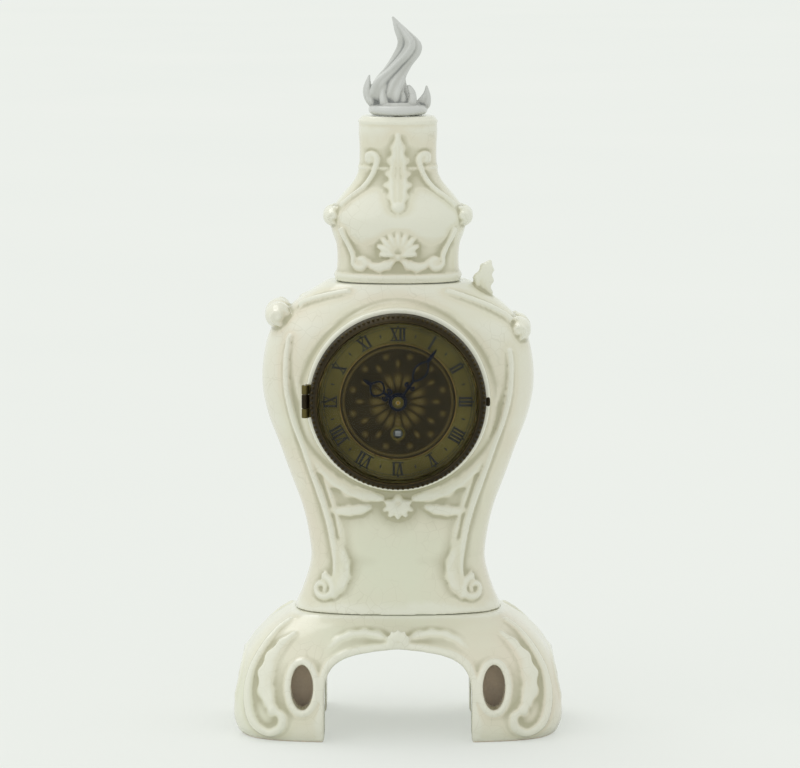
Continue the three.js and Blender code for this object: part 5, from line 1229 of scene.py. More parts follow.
@dataclass(frozen=True)
class Outline:
    """A moulded form given by its half width and half depth at several heights.

    Attributes:
        bottom: Height of its foot.
        height: From foot to top.
        knots: Share of the height, half width and half depth, from the foot up.
        power: Squareness of its plan, where 2 is an ellipse.
    """

    bottom: float
    height: float
    knots: tuple[Knot, ...]
    power: float

    @property
    def top(self) -> float:
        """Height of its top."""
        return self.bottom + self.height

    def size(self, z: float) -> Size:
        """Gives the half width and half depth at a height.

        Args:
            z: The height.

        Returns:
            The half width and the half depth.
        """
        share = min(max((z - self.bottom) / self.height, 0.0), 1.0)
        knots = self.knots
        index = 0
        while index < len(knots) - 2 and share > knots[index + 1][0]:
            index += 1
        start, end = knots[index], knots[index + 1]
        before = knots[max(index - 1, 0)]
        after = knots[min(index + 2, len(knots) - 1)]
        gap = end[0] - start[0]
        t = (share - start[0]) / gap
        values = []
        for axis in (1, 2):
            leave = (end[axis] - before[axis]) / (end[0] - before[0]) * gap
            arrive = (after[axis] - start[axis]) / (after[0] - start[0]) * gap
            rise = (2 * t**3 - 3 * t**2 + 1) * start[axis] + (t**3 - 2 * t**2 + t) * leave
            fall = (-2 * t**3 + 3 * t**2) * end[axis] + (t**3 - t**2) * arrive
            values.append(rise + fall)
        return values[0], values[1]

    def ring_point(self, angle: float, z: float, inset: float = 0.0) -> Vector:
        """Gives the point at an angle round the form.

        Args:
            angle: The angle.
            z: Its height.
            inset: How far the form is drawn in.

        Returns:
            The point.
        """
        width, depth = self.size(z)
        cosine, sine = math.cos(angle), math.sin(angle)
        bulge = 2.0 / self.power
        x = (width - inset) * math.copysign(abs(cosine) ** bulge, cosine)
        y = (depth - inset) * math.copysign(abs(sine) ** bulge, sine)
        return Vector((x, y, z))

    def _reach(self, aside: float, across: float, out: float) -> float:
        """Gives how far out the form comes, of at most out, at a place aside, of at most across."""
        share = min(abs(aside) / across, 0.999)
        return out * (1.0 - share**self.power) ** (1.0 / self.power)

    def front(self, x: float, z: float, facing: Facing, lift: float = 0.0) -> Vector:
        """Gives the point on the front or back at a place seen from the front."""
        width, depth = self.size(z)
        return Vector((x, facing.value * (self._reach(x, width, depth) + lift), z))

    def flank(self, y: float, z: float, side: Side, lift: float) -> Vector:
        """Gives the point on the left or right side at a depth and height."""
        width, depth = self.size(z)
        return Vector((side.value * (self._reach(y, depth, width) + lift), y, z))

    def add_form(
        self, bm: BMesh, count: int, levels: int, inset: float = 0.0, ends: Size | None = None
    ) -> None:
        """Adds the form, closed at both ends.

        Args:
            bm: The mesh that gets the form.
            count: Points round it.
            levels: Steps from its bottom to its top.
            inset: How far it is drawn in.
            ends: Heights of its bottom and top, where they aren't the outline's own.
        """
        low, high = ends or (self.bottom, self.top)
        rings = []
        for level in range(levels + 1):
            z = low + (high - low) * level / levels
            rings.append(add_ring(bm, count, lambda angle, z=z: self.ring_point(angle, z, inset)))
        skin_rings(bm, rings)


def mixed(sizes: Sequence[Size], rises: Sequence[Points]) -> tuple[Knot, ...]:
    """Works out an outline's knots from the sizes that it passes through.

    Args:
        sizes: Half width and half depth of each main level, from the foot up.
        rises: Between each two levels, each knot's share of the height and of the way to the upper one.

    Returns:
        Share of the height, half width and half depth of each knot.
    """
    knots = []
    for first, second, rise in zip(sizes, sizes[1:], rises):
        for share, part in rise:
            knots.append((share, *[blend_values(a, b, part) for a, b in zip(first, second)]))
    return tuple(knots)


@dataclass(frozen=True)
class Relief:
    """Where relief is laid: on one half of the front or back of a moulded form.

    Attributes:
        form: The mesh that gets the relief.
        outline: Outline of the moulded form.
        side: The side that the relief goes out to.
        facing: Front or back.
    """

    form: BMesh
    outline: Outline
    side: Side
    facing: Facing

    def spot(self, x: float, z: float, lift: float = 0.0) -> Vector:
        """Gives the point on the form at a distance from the middle and a height."""
        return self.outline.front(self.side.value * x, z, self.facing, lift)

    def edge(self, z: float, turn: float) -> Vector:
        """Gives the point at a turn from the side towards the front or back, in degrees."""
        spot = self.outline.ring_point(math.radians(turn), z)
        return Vector((self.side.value * abs(spot.x), self.facing.value * abs(spot.y), z))

    def out(self, aside: float, up: float) -> Vector:
        """Gives a direction that looks off the form, turned aside and up by shares."""
        return Vector((self.side.value * aside, self.facing.value, up)).normalized()

    def trace(self, points: Points, base: float = 0.0, lift: float = 0.0, unit: float = MM) -> list[Vector]:
        """Lays points on the form: millimetres from the middle, and units up from a base height."""
        return [self.spot(x * MM, base + z * unit, lift) for x, z in points]

    def add_leaf(
        self,
        points: Points,
        shape: LeafShape,
        aside: float = 0.0,
        up: float = 0.0,
        base: float = 0.0,
        unit: float = MM,
    ) -> None:
        """Lays a leaf on the form.

        Args:
            points: Its spine, as trace takes it.
            shape: Its proportions.
            aside: How much it looks aside.
            up: How much it looks up.
            base: Height that the spine counts from.
            unit: Length of the spine's units upwards.
        """
        spine = smooth_path(self.trace(points, base, unit=unit))
        add_leaf(self.form, spine, self.out(aside, up), shape)


def glaze(piece: Piece, finish: Finish, node: str, depth: float, passes: int = 24) -> None:
    """Marks where glaze pools and shade is painted on a porcelain piece, and enrols the piece with the case.

    Args:
        piece: The piece.
        finish: Its glaze.
        node: The frame's node that it stands for.
        depth: Depth that counts as a full hollow.
        passes: Passes of averaging, which set how wide the surroundings of a hollow are.
    """
    mark_hollows(piece, passes, depth)
    enrol(piece, finish, "case", node)


@dataclass
class PorcelainBase:
    """The arched plinth on four scroll feet. Lines of its relief are millimetres across and up.

    Attributes:
        arch: Half width and height of the front arch.
        side_arch: Half width and height of the side arches.
        foot: Half width and half depth where the plinth is widest.
        seat: Half width and half depth of the top.
        rise: Share of the height, and of the way from foot to seat, of each knot of the outline.
        deck: Thickness of the top.
        leg_wall: Porcelain between an arch and a leg's hollow.
        leg_hollow: Width, depth and height of a leg's hollow.
        eye: Half width and half height of a pierced scroll eye.
        eye_height: Height of the eye's middle.
        eye_rim: From the eye's edge to the middle of its moulding.
        bolt_out: From the middle to each bolt.
        bolt_bore: Radius of a bolt's hole.
        bead: Radius of the moulding along the arches.
        bead_foot: Height where that moulding starts.
        bare_slack: How far bare places reach past the hollows and the standing faces.
        sweep: The scroll down a leg.
        leg_spine: Spine of the leaf on a leg.
        apron_spine: Spine of a leaf over the front arch.
        apron_root: Height of the root of the shell over the front arch.
    """

    arch: Size = (40 * MM, 50 * MM)
    side_arch: Size = (28 * MM, 40 * MM)
    foot: Size = (91.2 * MM, 60.3 * MM)
    seat: Size = (57 * MM, 35 * MM)
    rise: Points = (
        (0, 0.13), (0.09, 0.03), (0.22, 0.0), (0.44, 0.09), (0.64, 0.22), (0.78, 0.42), (0.9, 0.7), (1, 1)
    )
    deck: float = 8 * MM
    leg_wall: float = 6 * MM
    leg_hollow: Knot = (20 * MM, 12 * MM, 43 * MM)
    eye: Size = (6 * MM, 12 * MM)
    eye_height: float = 30 * MM
    eye_rim: float = 1.6 * MM
    bolt_out: float = 30 * MM
    bolt_bore: float = 2.9 * MM
    bead: float = 2.1 * MM
    bead_foot: float = 1.5 * MM
    bare_slack: float = 0.6 * MM
    sweep: Points = (
        (58, 63), (66, 57), (74, 47), (79.5, 35), (81, 22), (78, 10), (70, 5), (63.5, 8.5), (63, 14.5),
        (67.5, 17.5),
    )
    leg_spine: Points = ((69, 20), (71.5, 30), (69.5, 41), (63, 51), (55, 58.5))
    apron_spine: Points = ((4, 54), (13, 56.5), (22, 57), (31, 55), (38, 50.5))
    apron_root: float = 52.5 * MM

    @property
    def leg_inner(self) -> Size:
        """From the middle planes to a leg's hollow, sideways and in depth."""
        return self.arch[0] + self.leg_wall, self.side_arch[0] + self.leg_wall

    @property
    def eye_out(self) -> float:
        """From the middle to a scroll eye's axis."""
        return self.leg_inner[0] + self.eye[0]

    def build(self) -> None:
        """Models the base and dresses it."""
        low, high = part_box("base")
        outline = Outline(low.z, high.z - low.z, mixed((self.foot, self.seat), (self.rise,)), power=4.0)
        form = bmesh.new()
        outline.add_form(form, count=128, levels=44)
        self._add_relief(form, outline)
        casting = Casting(grain=0.95 * MM, softening=5, keep=0.55)
        piece = casting.pour("base_porcelain", form, early=self._hollows(low, high))
        mark_bare(piece, self._unglazed(high))
        glaze(piece, Finish.CREAM_GLAZE, "base", depth=0.5 * MM)

    @staticmethod
    def _arch_line(size: Size, floor: float, grow: float = 0.0) -> list[Size]:
        """Works out an arch's outline from its right foot over the crown to its left foot.

        Args:
            size: Half width and height of the arch.
            floor: Height of its feet.
            grow: How much wider and higher the outline is.

        Returns:
            Points across and up.
        """
        width, height = size[0] + grow, size[1] + grow
        handles = ((width, 0.9 * height), (0.75 * width, 0.95 * height))
        corners = ((width, 0.5 * height), *handles, (0.0, height))
        rise = interpolate_bezier(*[Vector(corner) for corner in corners], 18)
        right = [(width, floor), *[(point[0], point[1]) for point in rise]]
        return right + [(-x, z) for x, z in reversed(right[:-1])]

    def _hollows(self, low: Vector, high: Vector) -> list[BMesh]:
        """Models all that is cut out of the plinth, each kind of hollow as its own form.

        Args:
            low: Lowest corner of the base.
            high: Highest corner of the base.

        Returns:
            The cutting forms.
        """
        front, side, room, bolts, legs, eyes = (bmesh.new() for _ in range(6))
        start, reach = low.y - OVERCUT, high.y - low.y + 2 * OVERCUT
        section = [Vector((x, start, z)) for x, z in self._arch_line(self.arch, -OVERCUT)]
        add_prism(front, section, DEPTH_AXIS * reach)
        start, reach = low.x - OVERCUT, high.x - low.x + 2 * OVERCUT
        section = [Vector((start, y, z)) for y, z in self._arch_line(self.side_arch, -OVERCUT)]
        add_prism(side, section, Vector((reach, 0.0, 0.0)))
        x, y = self.arch[0] - self.leg_wall / 2, self.side_arch[0] - self.leg_wall / 2
        add_block(room, (-x, -y, self.side_arch[1] / 2), (x, y, high.z - self.deck), soften=3 * MM)
        for way in Side:
            bolt = Vector((way.value * self.bolt_out, 0.0, 0.0))
            add_plug(bolts, bolt, WORLD_UP, self.bolt_bore, (high.z - 2 * self.deck, high.z + OVERCUT))
            for facing in Facing:
                self._add_leg_hollow(legs, way, facing)
                self._add_eye(eyes, way, facing, high.y)
        return [front, side, room, bolts, legs, eyes]

    def _add_leg_hollow(self, legs: BMesh, way: Side, facing: Facing) -> None:
        """Adds the hollow of one leg, which narrows towards the knee.

        Args:
            legs: The mesh that gets the hollow.
            way: Side of the leg.
            facing: Whether the leg is in front or behind.
        """
        inner_x, inner_y = self.leg_inner
        width, depth, height = self.leg_hollow
        corners = (
            (0.0, -OVERCUT), (depth, -OVERCUT), (depth, height / 3), (depth / 3, height), (0.0, height)
        )
        section = [Vector((way.value * inner_x, facing.value * (inner_y + y), z)) for y, z in corners]
        add_prism(legs, section, Vector((way.value * width, 0.0, 0.0)))

    def _add_eye(self, eyes: BMesh, way: Side, facing: Facing, reach: float) -> None:
        """Adds the pierced scroll eye that opens into a leg's hollow.

        Args:
            eyes: The mesh that gets the eye.
            way: Side of the leg.
            facing: Whether the leg is in front or behind.
            reach: Length of the cutting form.
        """
        start = self.leg_inner[1] + self.leg_hollow[1] / 4
        centre = Vector((way.value * self.eye_out, facing.value * start, self.eye_height))
        wide, high = self.eye
        line = [centre + Vector((wide * math.cos(a), 0.0, high * math.sin(a))) for a in turns(32)]
        add_prism(eyes, line, DEPTH_AXIS * (facing.value * reach))

    def _unglazed(self, high: Vector) -> list[Box]:
        """Lists the places of one quarter that the potter left bare.

        Args:
            high: Highest corner of the base.

        Returns:
            Boxes of the standing face and of the leg's hollow.
        """
        slack = self.bare_slack
        inner = Vector((*self.leg_inner, 0.0))
        far = inner + Vector(self.leg_hollow) + Vector((slack,) * 3)
        hollow = (inner - Vector((slack, slack, 0.0)), far)
        return [(Vector(), Vector((high.x, high.y, slack))), hollow]

    def _add_relief(self, form: BMesh, outline: Outline) -> None:
        """Adds the arch mouldings, the leg scrolls, the leaves and the shells over the front and back arch.

        Args:
            form: The mesh that gets them.
            outline: The plinth's outline.
        """
        gap, sink = 0.9 * self.bead, -0.4 * self.bead
        for facing in Facing:
            halves = [Relief(form, outline, side, facing) for side in Side]
            line = self._arch_line(self.arch, self.bead_foot, gap)
            add_tube(form, [outline.front(x, z, facing, sink) for x, z in line], lambda s: self.bead)
            for relief in halves:
                self._add_leg_scroll(relief)
            root = outline.front(0.0, self.apron_root, facing, 0.3 * MM)
            out = Vector((0.0, facing.value, 0.25)).normalized()
            add_shell(form, root, reach=9 * MM, spread=150.0, lobes=7, out=out, thickness=1.7 * MM)
            for relief in halves:
                relief.add_leaf(self.apron_spine, LeafShape(3.6 * MM, 1.7 * MM, lobes=5.0), up=0.25)
        for side in Side:
            line = self._arch_line(self.side_arch, self.bead_foot, gap)
            add_tube(form, [outline.flank(y, z, side, sink) for y, z in line], lambda s: self.bead)

    def _add_leg_scroll(self, relief: Relief) -> None:
        """Adds the moulding round a leg's eye, the scroll that runs down the leg and the leaf beside it.

        Args:
            relief: Where they go.
        """
        wide, high = self.eye[0] + self.eye_rim, self.eye[1] + self.eye_rim
        ring = []
        for angle in (*turns(40), FULL_TURN):
            x, z = self.eye_out + wide * math.cos(angle), self.eye_height + high * math.sin(angle)
            ring.append(relief.spot(x, z, 0.1 * MM))
        add_tube(relief.form, ring, lambda s: 1.9 * MM, sides=10)
        path = smooth_path(relief.trace(self.sweep, lift=0.2 * MM))
        add_tube(relief.form, path, lambda s: (3.3 - 1.5 * abs(2.0 * s - 0.9)) * MM)
        add_ball(relief.form, path[-1], (3.1, 2.6, 3.1))
        shape = LeafShape(6.2 * MM, 2.4 * MM, lobes=5.0, curl=1.2 * MM)
        relief.add_leaf(self.leg_spine, shape, aside=0.35, up=0.12)


@dataclass
class PorcelainBody:
    """The waisted shell that holds the movement, with a boss front and back.

    Attributes:
        seat: Half width and half depth of the foot.
        waist: Half width and half depth of the waist.
        belly_depth: Half depth at the dial's height.
        shoulder: Half width and half depth of the top.
        rises: Share of the height, and of the way to the next of these sizes, of each knot of the outline.
        wall: Porcelain thickness.
        crest_gap: Gap under the crest.
        boss_face: From the middle plane to a boss's face.
        boss_rim: Porcelain outside the ring that seats on a boss.
        boss_soft: Rounding of a boss's edge.
        boss_flare: How much wider a boss is at its foot.
        bore_gap: From the movement's plates to the bore through both bosses.
        ear: Radius of a rolled shoulder ear, and its half length.
        ear_out: From the middle to an ear's axis.
        ear_drops: From the top down to the axis of the left and the right ear.
        bead: Radius of the edge moulding.
        dial_gap: From a boss to the relief round it.
        foot_spine: Spine of the leaf at a corner's foot, in millimetres from the middle and the body's foot.
        sprays: Spine of each leaf beside the dial, in degrees round it and millimetres out, and its shape.
        plume: Spine of the leaf on the right shoulder, in millimetres from the middle of the top.
    """

    seat: Size = (57 * MM, 35 * MM)
    waist: Size = (48 * MM, 31.5 * MM)
    belly_depth: float = 38.5 * MM
    shoulder: Size = (39 * MM, 27 * MM)
    rises: Sequence[Points] = (
        ((0.0, 0.0), (0.055, 0.5)),
        ((0.143, 0.0), (0.215, 0.03), (0.31, 0.17), (0.41, 0.42), (0.505, 0.65), (0.595, 0.88), (0.69, 1.0)),
        ((0.79, 0.04), (0.866, 0.17), (0.92, 0.42), (0.955, 0.64), (1.0, 1.0)),
    )
    wall: float = 5 * MM
    crest_gap: float = 0.3 * MM
    boss_face: float = 42 * MM
    boss_rim: float = 2.5 * MM
    boss_soft: float = 1.2 * MM
    boss_flare: float = 4.5 * MM
    bore_gap: float = 4.4 * MM
    ear: Size = (8 * MM, 21 * MM)
    ear_out: float = 65.5 * MM
    ear_drops: Size = (18 * MM, 26 * MM)
    bead: float = 2.2 * MM
    dial_gap: float = 5.5 * MM
    foot_spine: Points = ((36, 9), (31, 16), (29, 25), (31, 35), (35.5, 43))
    sprays: Sequence[tuple[Points, LeafShape]] = (
        (
            ((262, 0), (250, 0), (238, 0), (226, 0), (214, 0), (203, 0)),
            LeafShape(6.0 * MM, 2.3 * MM, lobes=6.0, root=0.012),
        ),
        (
            ((256, 6), (250, 10), (243, 14.5), (236, 18)),
            LeafShape(3.8 * MM, 1.8 * MM, lobes=4.0, root=0.012),
        ),
    )
    plume: Sequence[Knot] = ((46, -5, -13), (46, -8, -6), (47, -8.5, 2), (49, -7, 8), (51, -3.5, 11.6))

    @property
    def axis(self) -> Vector:
        """The point of the middle plane on the dial's axis."""
        return WORLD_UP * middle_of("dial_plate").z

    @property
    def boss(self) -> float:
        """Radius of a boss's face."""
        return half_of("rear_ring")[2] + self.boss_rim

    def build(self) -> None:
        """Models the body and dresses it."""
        low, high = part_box("case_body")
        belly = (max(high.x, -low.x), self.belly_depth)
        knots = mixed((self.seat, self.waist, belly, self.shoulder), self.rises)
        outline = Outline(low.z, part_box("crest")[0].z - self.crest_gap - low.z, knots, power=2.6)
        form = bmesh.new()
        outline.add_form(form, count=144, levels=90)
        self._add_bosses(form)
        self._add_relief(form, outline)
        casting = Casting(grain=0.85 * MM, softening=5, keep=0.45)
        piece = casting.pour("body_porcelain", form, late=self._hollows(outline))
        glaze(piece, Finish.CREAM_GLAZE, "case_body", depth=0.5 * MM)

    def _add_bosses(self, form: BMesh) -> None:
        """Adds the round boss on the front and on the back.

        Args:
            form: The mesh that gets them.
        """
        boss, face, edge = self.boss, self.boss_face, self.boss_face - self.boss_soft
        profile = [(0.0, face), (boss - self.boss_soft, face), (boss, edge)]
        for share in shares(8)[1:]:
            profile.append((boss + self.boss_flare * share**2.4, blend_values(edge, 0.72 * face, share)))
        profile += [(boss + self.boss_flare, 0.0), (0.0, 0.0)]
        for facing in Facing:
            add_lathe(form, profile, self.axis, DEPTH_AXIS * facing.value, steps=144)

    def _hollows(self, outline: Outline) -> list[BMesh]:
        """Models the room inside and the bore through both bosses.

        Args:
            outline: The shell's outline.

        Returns:
            The cutting forms.
        """
        room, through = bmesh.new(), bmesh.new()
        ends = (outline.bottom + self.wall, outline.top - self.wall)
        outline.add_form(room, count=64, levels=32, inset=self.wall, ends=ends)
        bore, reach = half_of("front_plate")[0] + self.bore_gap, self.boss_face + self.wall
        add_plug(through, self.axis, DEPTH_AXIS, bore, (-reach, reach), steps=96)
        return [room, through]

    def _add_relief(self, form: BMesh, outline: Outline) -> None:
        """Adds the edge mouldings, ears, scrolls and leaves, and the shell under the dial.

        Args:
            form: The mesh that gets them.
            outline: The shell's outline.
        """
        top = outline.top
        for side, drop in zip(Side, self.ear_drops):
            ear = Vector((side.value * self.ear_out, 0.0, top - drop))
            add_rolled_ear(form, ear, *self.ear, side)
            for facing in Facing:
                relief = Relief(form, outline, side, facing)
                self._add_edge(relief, ear.z)
                self._add_foot_scroll(relief)
                self._add_shoulder(relief, ear.z)
            self._add_sprays(Relief(form, outline, side, Facing.FRONT))
        root = outline.front(0.0, self.axis.z - self.boss - self.dial_gap, Facing.FRONT, 0.2 * MM)
        add_shell(form, root, reach=-11 * MM, spread=150.0, lobes=7, out=-DEPTH_AXIS, thickness=1.9 * MM)
        add_ball(form, root, (3.0, 2.4, 3.0))
        spine = smooth_path([Vector((x * MM, y * MM, top + z * MM)) for x, y, z in self.plume])
        out = Vector((0.12, -1.0, 0.3)).normalized()
        add_leaf(form, spine, out, LeafShape(6.4 * MM, 2.2 * MM, lobes=4.0, sink=2.2 * MM))
        add_ball(form, Vector((45.5 * MM, -4 * MM, top - 9 * MM)), (6.5, 6, 9))

    def _add_edge(self, relief: Relief, ear_z: float) -> None:
        """Adds the moulding that climbs a corner from its foot to the ear, and the thin one inside it.

        Args:
            relief: Where they go.
            ear_z: Height of the ear's axis.
        """
        start, end = relief.outline.bottom + 14 * MM, ear_z - 9 * MM
        rows = [(blend_values(start, end, share), share) for share in shares(26)]
        outer = [relief.edge(z, blend_values(52.0, 38.0, share)) for z, share in rows]
        inner = [relief.edge(z, blend_values(60.0, 46.0, share)) for z, share in rows[3:-4]]
        path = smooth_path(outer, 3)
        add_tube(relief.form, path, lambda s: self.bead * (0.75 + 0.35 * math.sin(math.pi * s)))
        path = smooth_path(inner, 3)
        add_tube(relief.form, path, lambda s: 0.9 * MM * math.sin(math.pi * s) ** 0.4 + 0.3 * MM, sides=8)

    def _add_foot_scroll(self, relief: Relief) -> None:
        """Adds the scroll and leaf at the foot of a corner moulding.

        Args:
            relief: Where they go.
        """
        base = relief.outline.bottom
        curl = volute((41 * MM, base + 13 * MM), 7 * MM, 0.8 * MM, 1.5, 90.0, 40)
        path = [relief.spot(x, z, 0.2 * MM) for x, z in curl]
        add_tube(relief.form, path, lambda s: (2.3 - 1.1 * s) * MM, sides=10)
        relief.add_leaf(self.foot_spine, LeafShape(4.6 * MM, 1.9 * MM, lobes=5.0), aside=0.3, base=base)

    @staticmethod
    def _add_shoulder(relief: Relief, ear_z: float) -> None:
        """Adds the scroll that runs from an ear up to the crest.

        Args:
            relief: Where it goes.
            ear_z: Height of the ear's axis.
        """
        start, end = ear_z + 5.5 * MM, relief.outline.top - 3.2 * MM
        points = []
        for share in shares(12):
            turn = blend_values(24.0, 60.0, share**1.2)
            points.append(relief.edge(blend_values(start, end, share**0.75), turn))
        add_tube(relief.form, smooth_path(points, 3), lambda s: (2.5 - 0.9 * s) * MM)

    def _add_sprays(self, relief: Relief) -> None:
        """Adds the leaves under one lower corner of the dial.

        Args:
            relief: Where they go.
        """
        for stations, shape in self.sprays:
            spine = []
            for degrees, extra in stations:
                angle, reach = math.radians(degrees), self.boss + self.dial_gap + extra * MM
                spine.append(relief.spot(-reach * math.cos(angle), self.axis.z + reach * math.sin(angle)))
            add_leaf(relief.form, smooth_path(spine), relief.out(0.2, -0.1), shape)


@dataclass
class PorcelainCrest:
    """The hollow cap with scroll ears and the neck under the finial.

    Attributes:
        foot: Half width and half depth of the foot.
        brow: Half width and half depth of the brow.
        neck: Half width and half depth of the neck.
        rises: Share of the height, and of the way to the next of these sizes, of each knot of the outline.
        wall: Porcelain thickness.
        ear: Radius of a rolled ear, and its half length.
        ear_out: From the middle to an ear's axis.
        ear_share: Height of an ear's axis as a share of the crest's height.
        rod_bore: Radius of the tie rod's hole.
        bands: Share of the height, and radius in millimetres, of each level moulding.
        scrolls: Each side scroll: its line and curled end in millimetres, and its thickness there.
        shell_share: Height of the shell's root as a share of the crest's height.
        shell_spine: Spine of a leaf beside the shell, in millimetres across and shares of the height.
        neck_spine: Spine of the leaf up the neck, in the same way.
    """

    foot: Size = (34.5 * MM, 25 * MM)
    brow: Size = (37 * MM, 27 * MM)
    neck: Size = (21 * MM, 16.5 * MM)
    rises: Sequence[Points] = (
        ((0.0, 0.0), (0.1, -0.5), (0.22, -0.3), (0.3, 0.7), (0.39, 1.0)),
        ((0.47, 0.2), (0.53, 0.45), (0.59, 0.75), (0.66, 0.95), (0.8, 1.0), (0.93, 0.97), (1.0, 1.08)),
    )
    wall: float = 5 * MM
    ear: Size = (6 * MM, 15 * MM)
    ear_out: float = 35.5 * MM
    ear_share: float = 0.395
    rod_bore: float = 2.9 * MM
    bands: Points = ((0.035, 1.9), (0.965, 1.7), (0.69, 1.1))
    scrolls: Sequence[tuple[Points, tuple[Any, ...], float]] = (
        (((31, 30), (29, 25.5), (26, 20), (24, 14.8)), ((20.0, 11.4), 3.9, 0.7, -1.35, 0.0, 30), 2.0),
        (
            ((31, 41.5), (25.5, 46.5), (19, 51.5), (14, 58), (11.6, 64.5)),
            ((14.7, 67.5), 3.2, 0.6, -1.35, 180.0, 30),
            1.8,
        ),
    )
    shell_share: float = 0.17
    shell_spine: Points = ((2, 0.15), (6, 0.115), (10.5, 0.1), (14.5, 0.115), (17, 0.15))
    neck_spine: Points = ((0, 0.46), (0, 0.56), (0, 0.66), (0, 0.78), (0, 0.9))

    def build(self) -> None:
        """Models the crest and dresses it."""
        low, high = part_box("crest")
        knots = mixed((self.foot, self.brow, self.neck), self.rises)
        outline = Outline(low.z, high.z - low.z, knots, power=2.4)
        form = bmesh.new()
        outline.add_form(form, count=96, levels=60)
        self._add_relief(form, outline)
        casting = Casting(grain=0.7 * MM, softening=5, keep=0.5)
        piece = casting.pour("crest_porcelain", form, late=self._hollows(outline))
        glaze(piece, Finish.CREAM_GLAZE, "crest", depth=0.45 * MM)

    def _hollows(self, outline: Outline) -> list[BMesh]:
        """Models the room inside, open at the foot, and the rod's hole.

        Args:
            outline: The cap's outline.

        Returns:
            The cutting forms.
        """
        room, hole = bmesh.new(), bmesh.new()
        ceiling = outline.top - 2 * self.wall
        ends = (outline.bottom - self.wall, ceiling)
        outline.add_form(room, count=48, levels=20, inset=self.wall, ends=ends)
        add_plug(hole, Vector(), WORLD_UP, self.rod_bore, (ceiling - self.wall, outline.top + self.wall))
        return [room, hole]

    def _add_relief(self, form: BMesh, outline: Outline) -> None:
        """Adds the ears, the scrolls, the shells, the leaves and the mouldings.

        Args:
            form: The mesh that gets them.
            outline: The cap's outline.
        """
        for side in Side:
            ear_z = outline.bottom + self.ear_share * outline.height
            add_rolled_ear(form, Vector((side.value * self.ear_out, 0.0, ear_z)), *self.ear, side)
            for facing in Facing:
                self._add_side_scrolls(Relief(form, outline, side, facing))
        for facing in Facing:
            self._add_shell_panel(form, outline, facing)
        for share, bead in self.bands:
            self._add_band(form, outline, outline.bottom + share * outline.height, bead * MM)

    def _add_side_scrolls(self, relief: Relief) -> None:
        """Adds the scrolls that run from an ear down to the foot and up the neck, each with a curled end.

        Args:
            relief: Where they go.
        """
        for line, curl, thick in self.scrolls:
            points = [*line, *volute(*curl)]
            path = smooth_path(relief.trace(points, relief.outline.bottom, lift=0.1 * MM), 3)
            add_tube(relief.form, path, lambda s: (thick - 0.9 * s) * MM, sides=10)
            add_ball(relief.form, path[-1], (1.7, 1.5, 1.7))

    def _add_shell_panel(self, form: BMesh, outline: Outline, facing: Facing) -> None:
        """Adds the shell over the dial with leaves beside it, and a leaf up the neck.

        Args:
            form: The mesh that gets them.
            outline: The cap's outline.
            facing: Front or back.
        """
        bottom, height = outline.bottom, outline.height
        root = outline.front(0.0, bottom + self.shell_share * height, facing, 0.2 * MM)
        out = Vector((0.0, facing.value, 0.1)).normalized()
        add_shell(form, root, reach=15 * MM, spread=170.0, lobes=9, out=out, thickness=2.3 * MM)
        add_ball(form, root, (3.2, 2.6, 3.2))
        left, right = (Relief(form, outline, side, facing) for side in Side)
        shape = LeafShape(3.6 * MM, 1.9 * MM, lobes=4.0)
        for relief in (left, right):
            relief.add_leaf(self.shell_spine, shape, up=0.1, base=bottom, unit=height)
        shape = LeafShape(7.5 * MM, 2.0 * MM, lobes=6.0, curl=0.8 * MM)
        right.add_leaf(self.neck_spine, shape, up=0.1, base=bottom, unit=height)
        knot = outline.front(0.0, bottom + self.neck_spine[0][1] * height, facing)
        add_ball(form, knot, (3.6, 2.4, 3.0))
        add_ball(form, knot - WORLD_UP * 4.2 * MM, (2.0, 1.7, 2.0))

    @staticmethod
    def _add_band(form: BMesh, outline: Outline, z: float, bead: float) -> None:
        """Adds a level moulding right round the crest.

        Args:
            form: The mesh that gets it.
            outline: The cap's outline.
            z: Its height.
            bead: Its radius.
        """
        path = [outline.ring_point(angle, z, 0.4 * bead) for angle in turns(72)]
        rings = []
        for behind, point, ahead in zip(path[-1:] + path, path, path[1:] + path[:1]):
            along = (ahead - behind).normalized()
            across = WORLD_UP.cross(along).normalized()
            rings.append(add_section(form, point, (across, WORLD_UP, along), 10, bead))
        for near, far in zip(rings, rings[1:] + rings[:1]):
            bmesh.ops.bridge_loops(form, edges=near + far)


@dataclass(frozen=True)
class Tongue:
    """One fluted and twisted tongue of flame.

    Attributes:
        root: Sideways place of its foot, in millimetres.
        height: Its height before it leans, in millimetres, or zero for all that the frame gives.
        stations: Share of the height, sideways shift and radius in millimetres.
        flutes: Flutes round it.
        twist: Twist from foot to tip, in radians.
        lean: Lean to the right, in radians.
    """

    root: float
    height: float
    stations: Sequence[Knot]
    flutes: int
    twist: float
    lean: float

    def place(self, angle: float, spot: Vector, share: float) -> tuple[float, float, float]:
        """Gives a point of the fluted section, before the tongue leans.

        Args:
            angle: The point's angle round the section.
            spot: The section's sideways shift, radius and height.
            share: The section's share of the height.

        Returns:
            The point, on a tongue as deep as it is wide.
        """
        turn = self.flutes * (angle - share * self.twist)
        reach = max(spot.y, 0.5 * MM) * (1.0 + 0.15 * math.cos(turn) + 0.05 * math.cos(3 * turn))
        return spot.x + reach * math.cos(angle), reach * math.sin(angle), spot.z


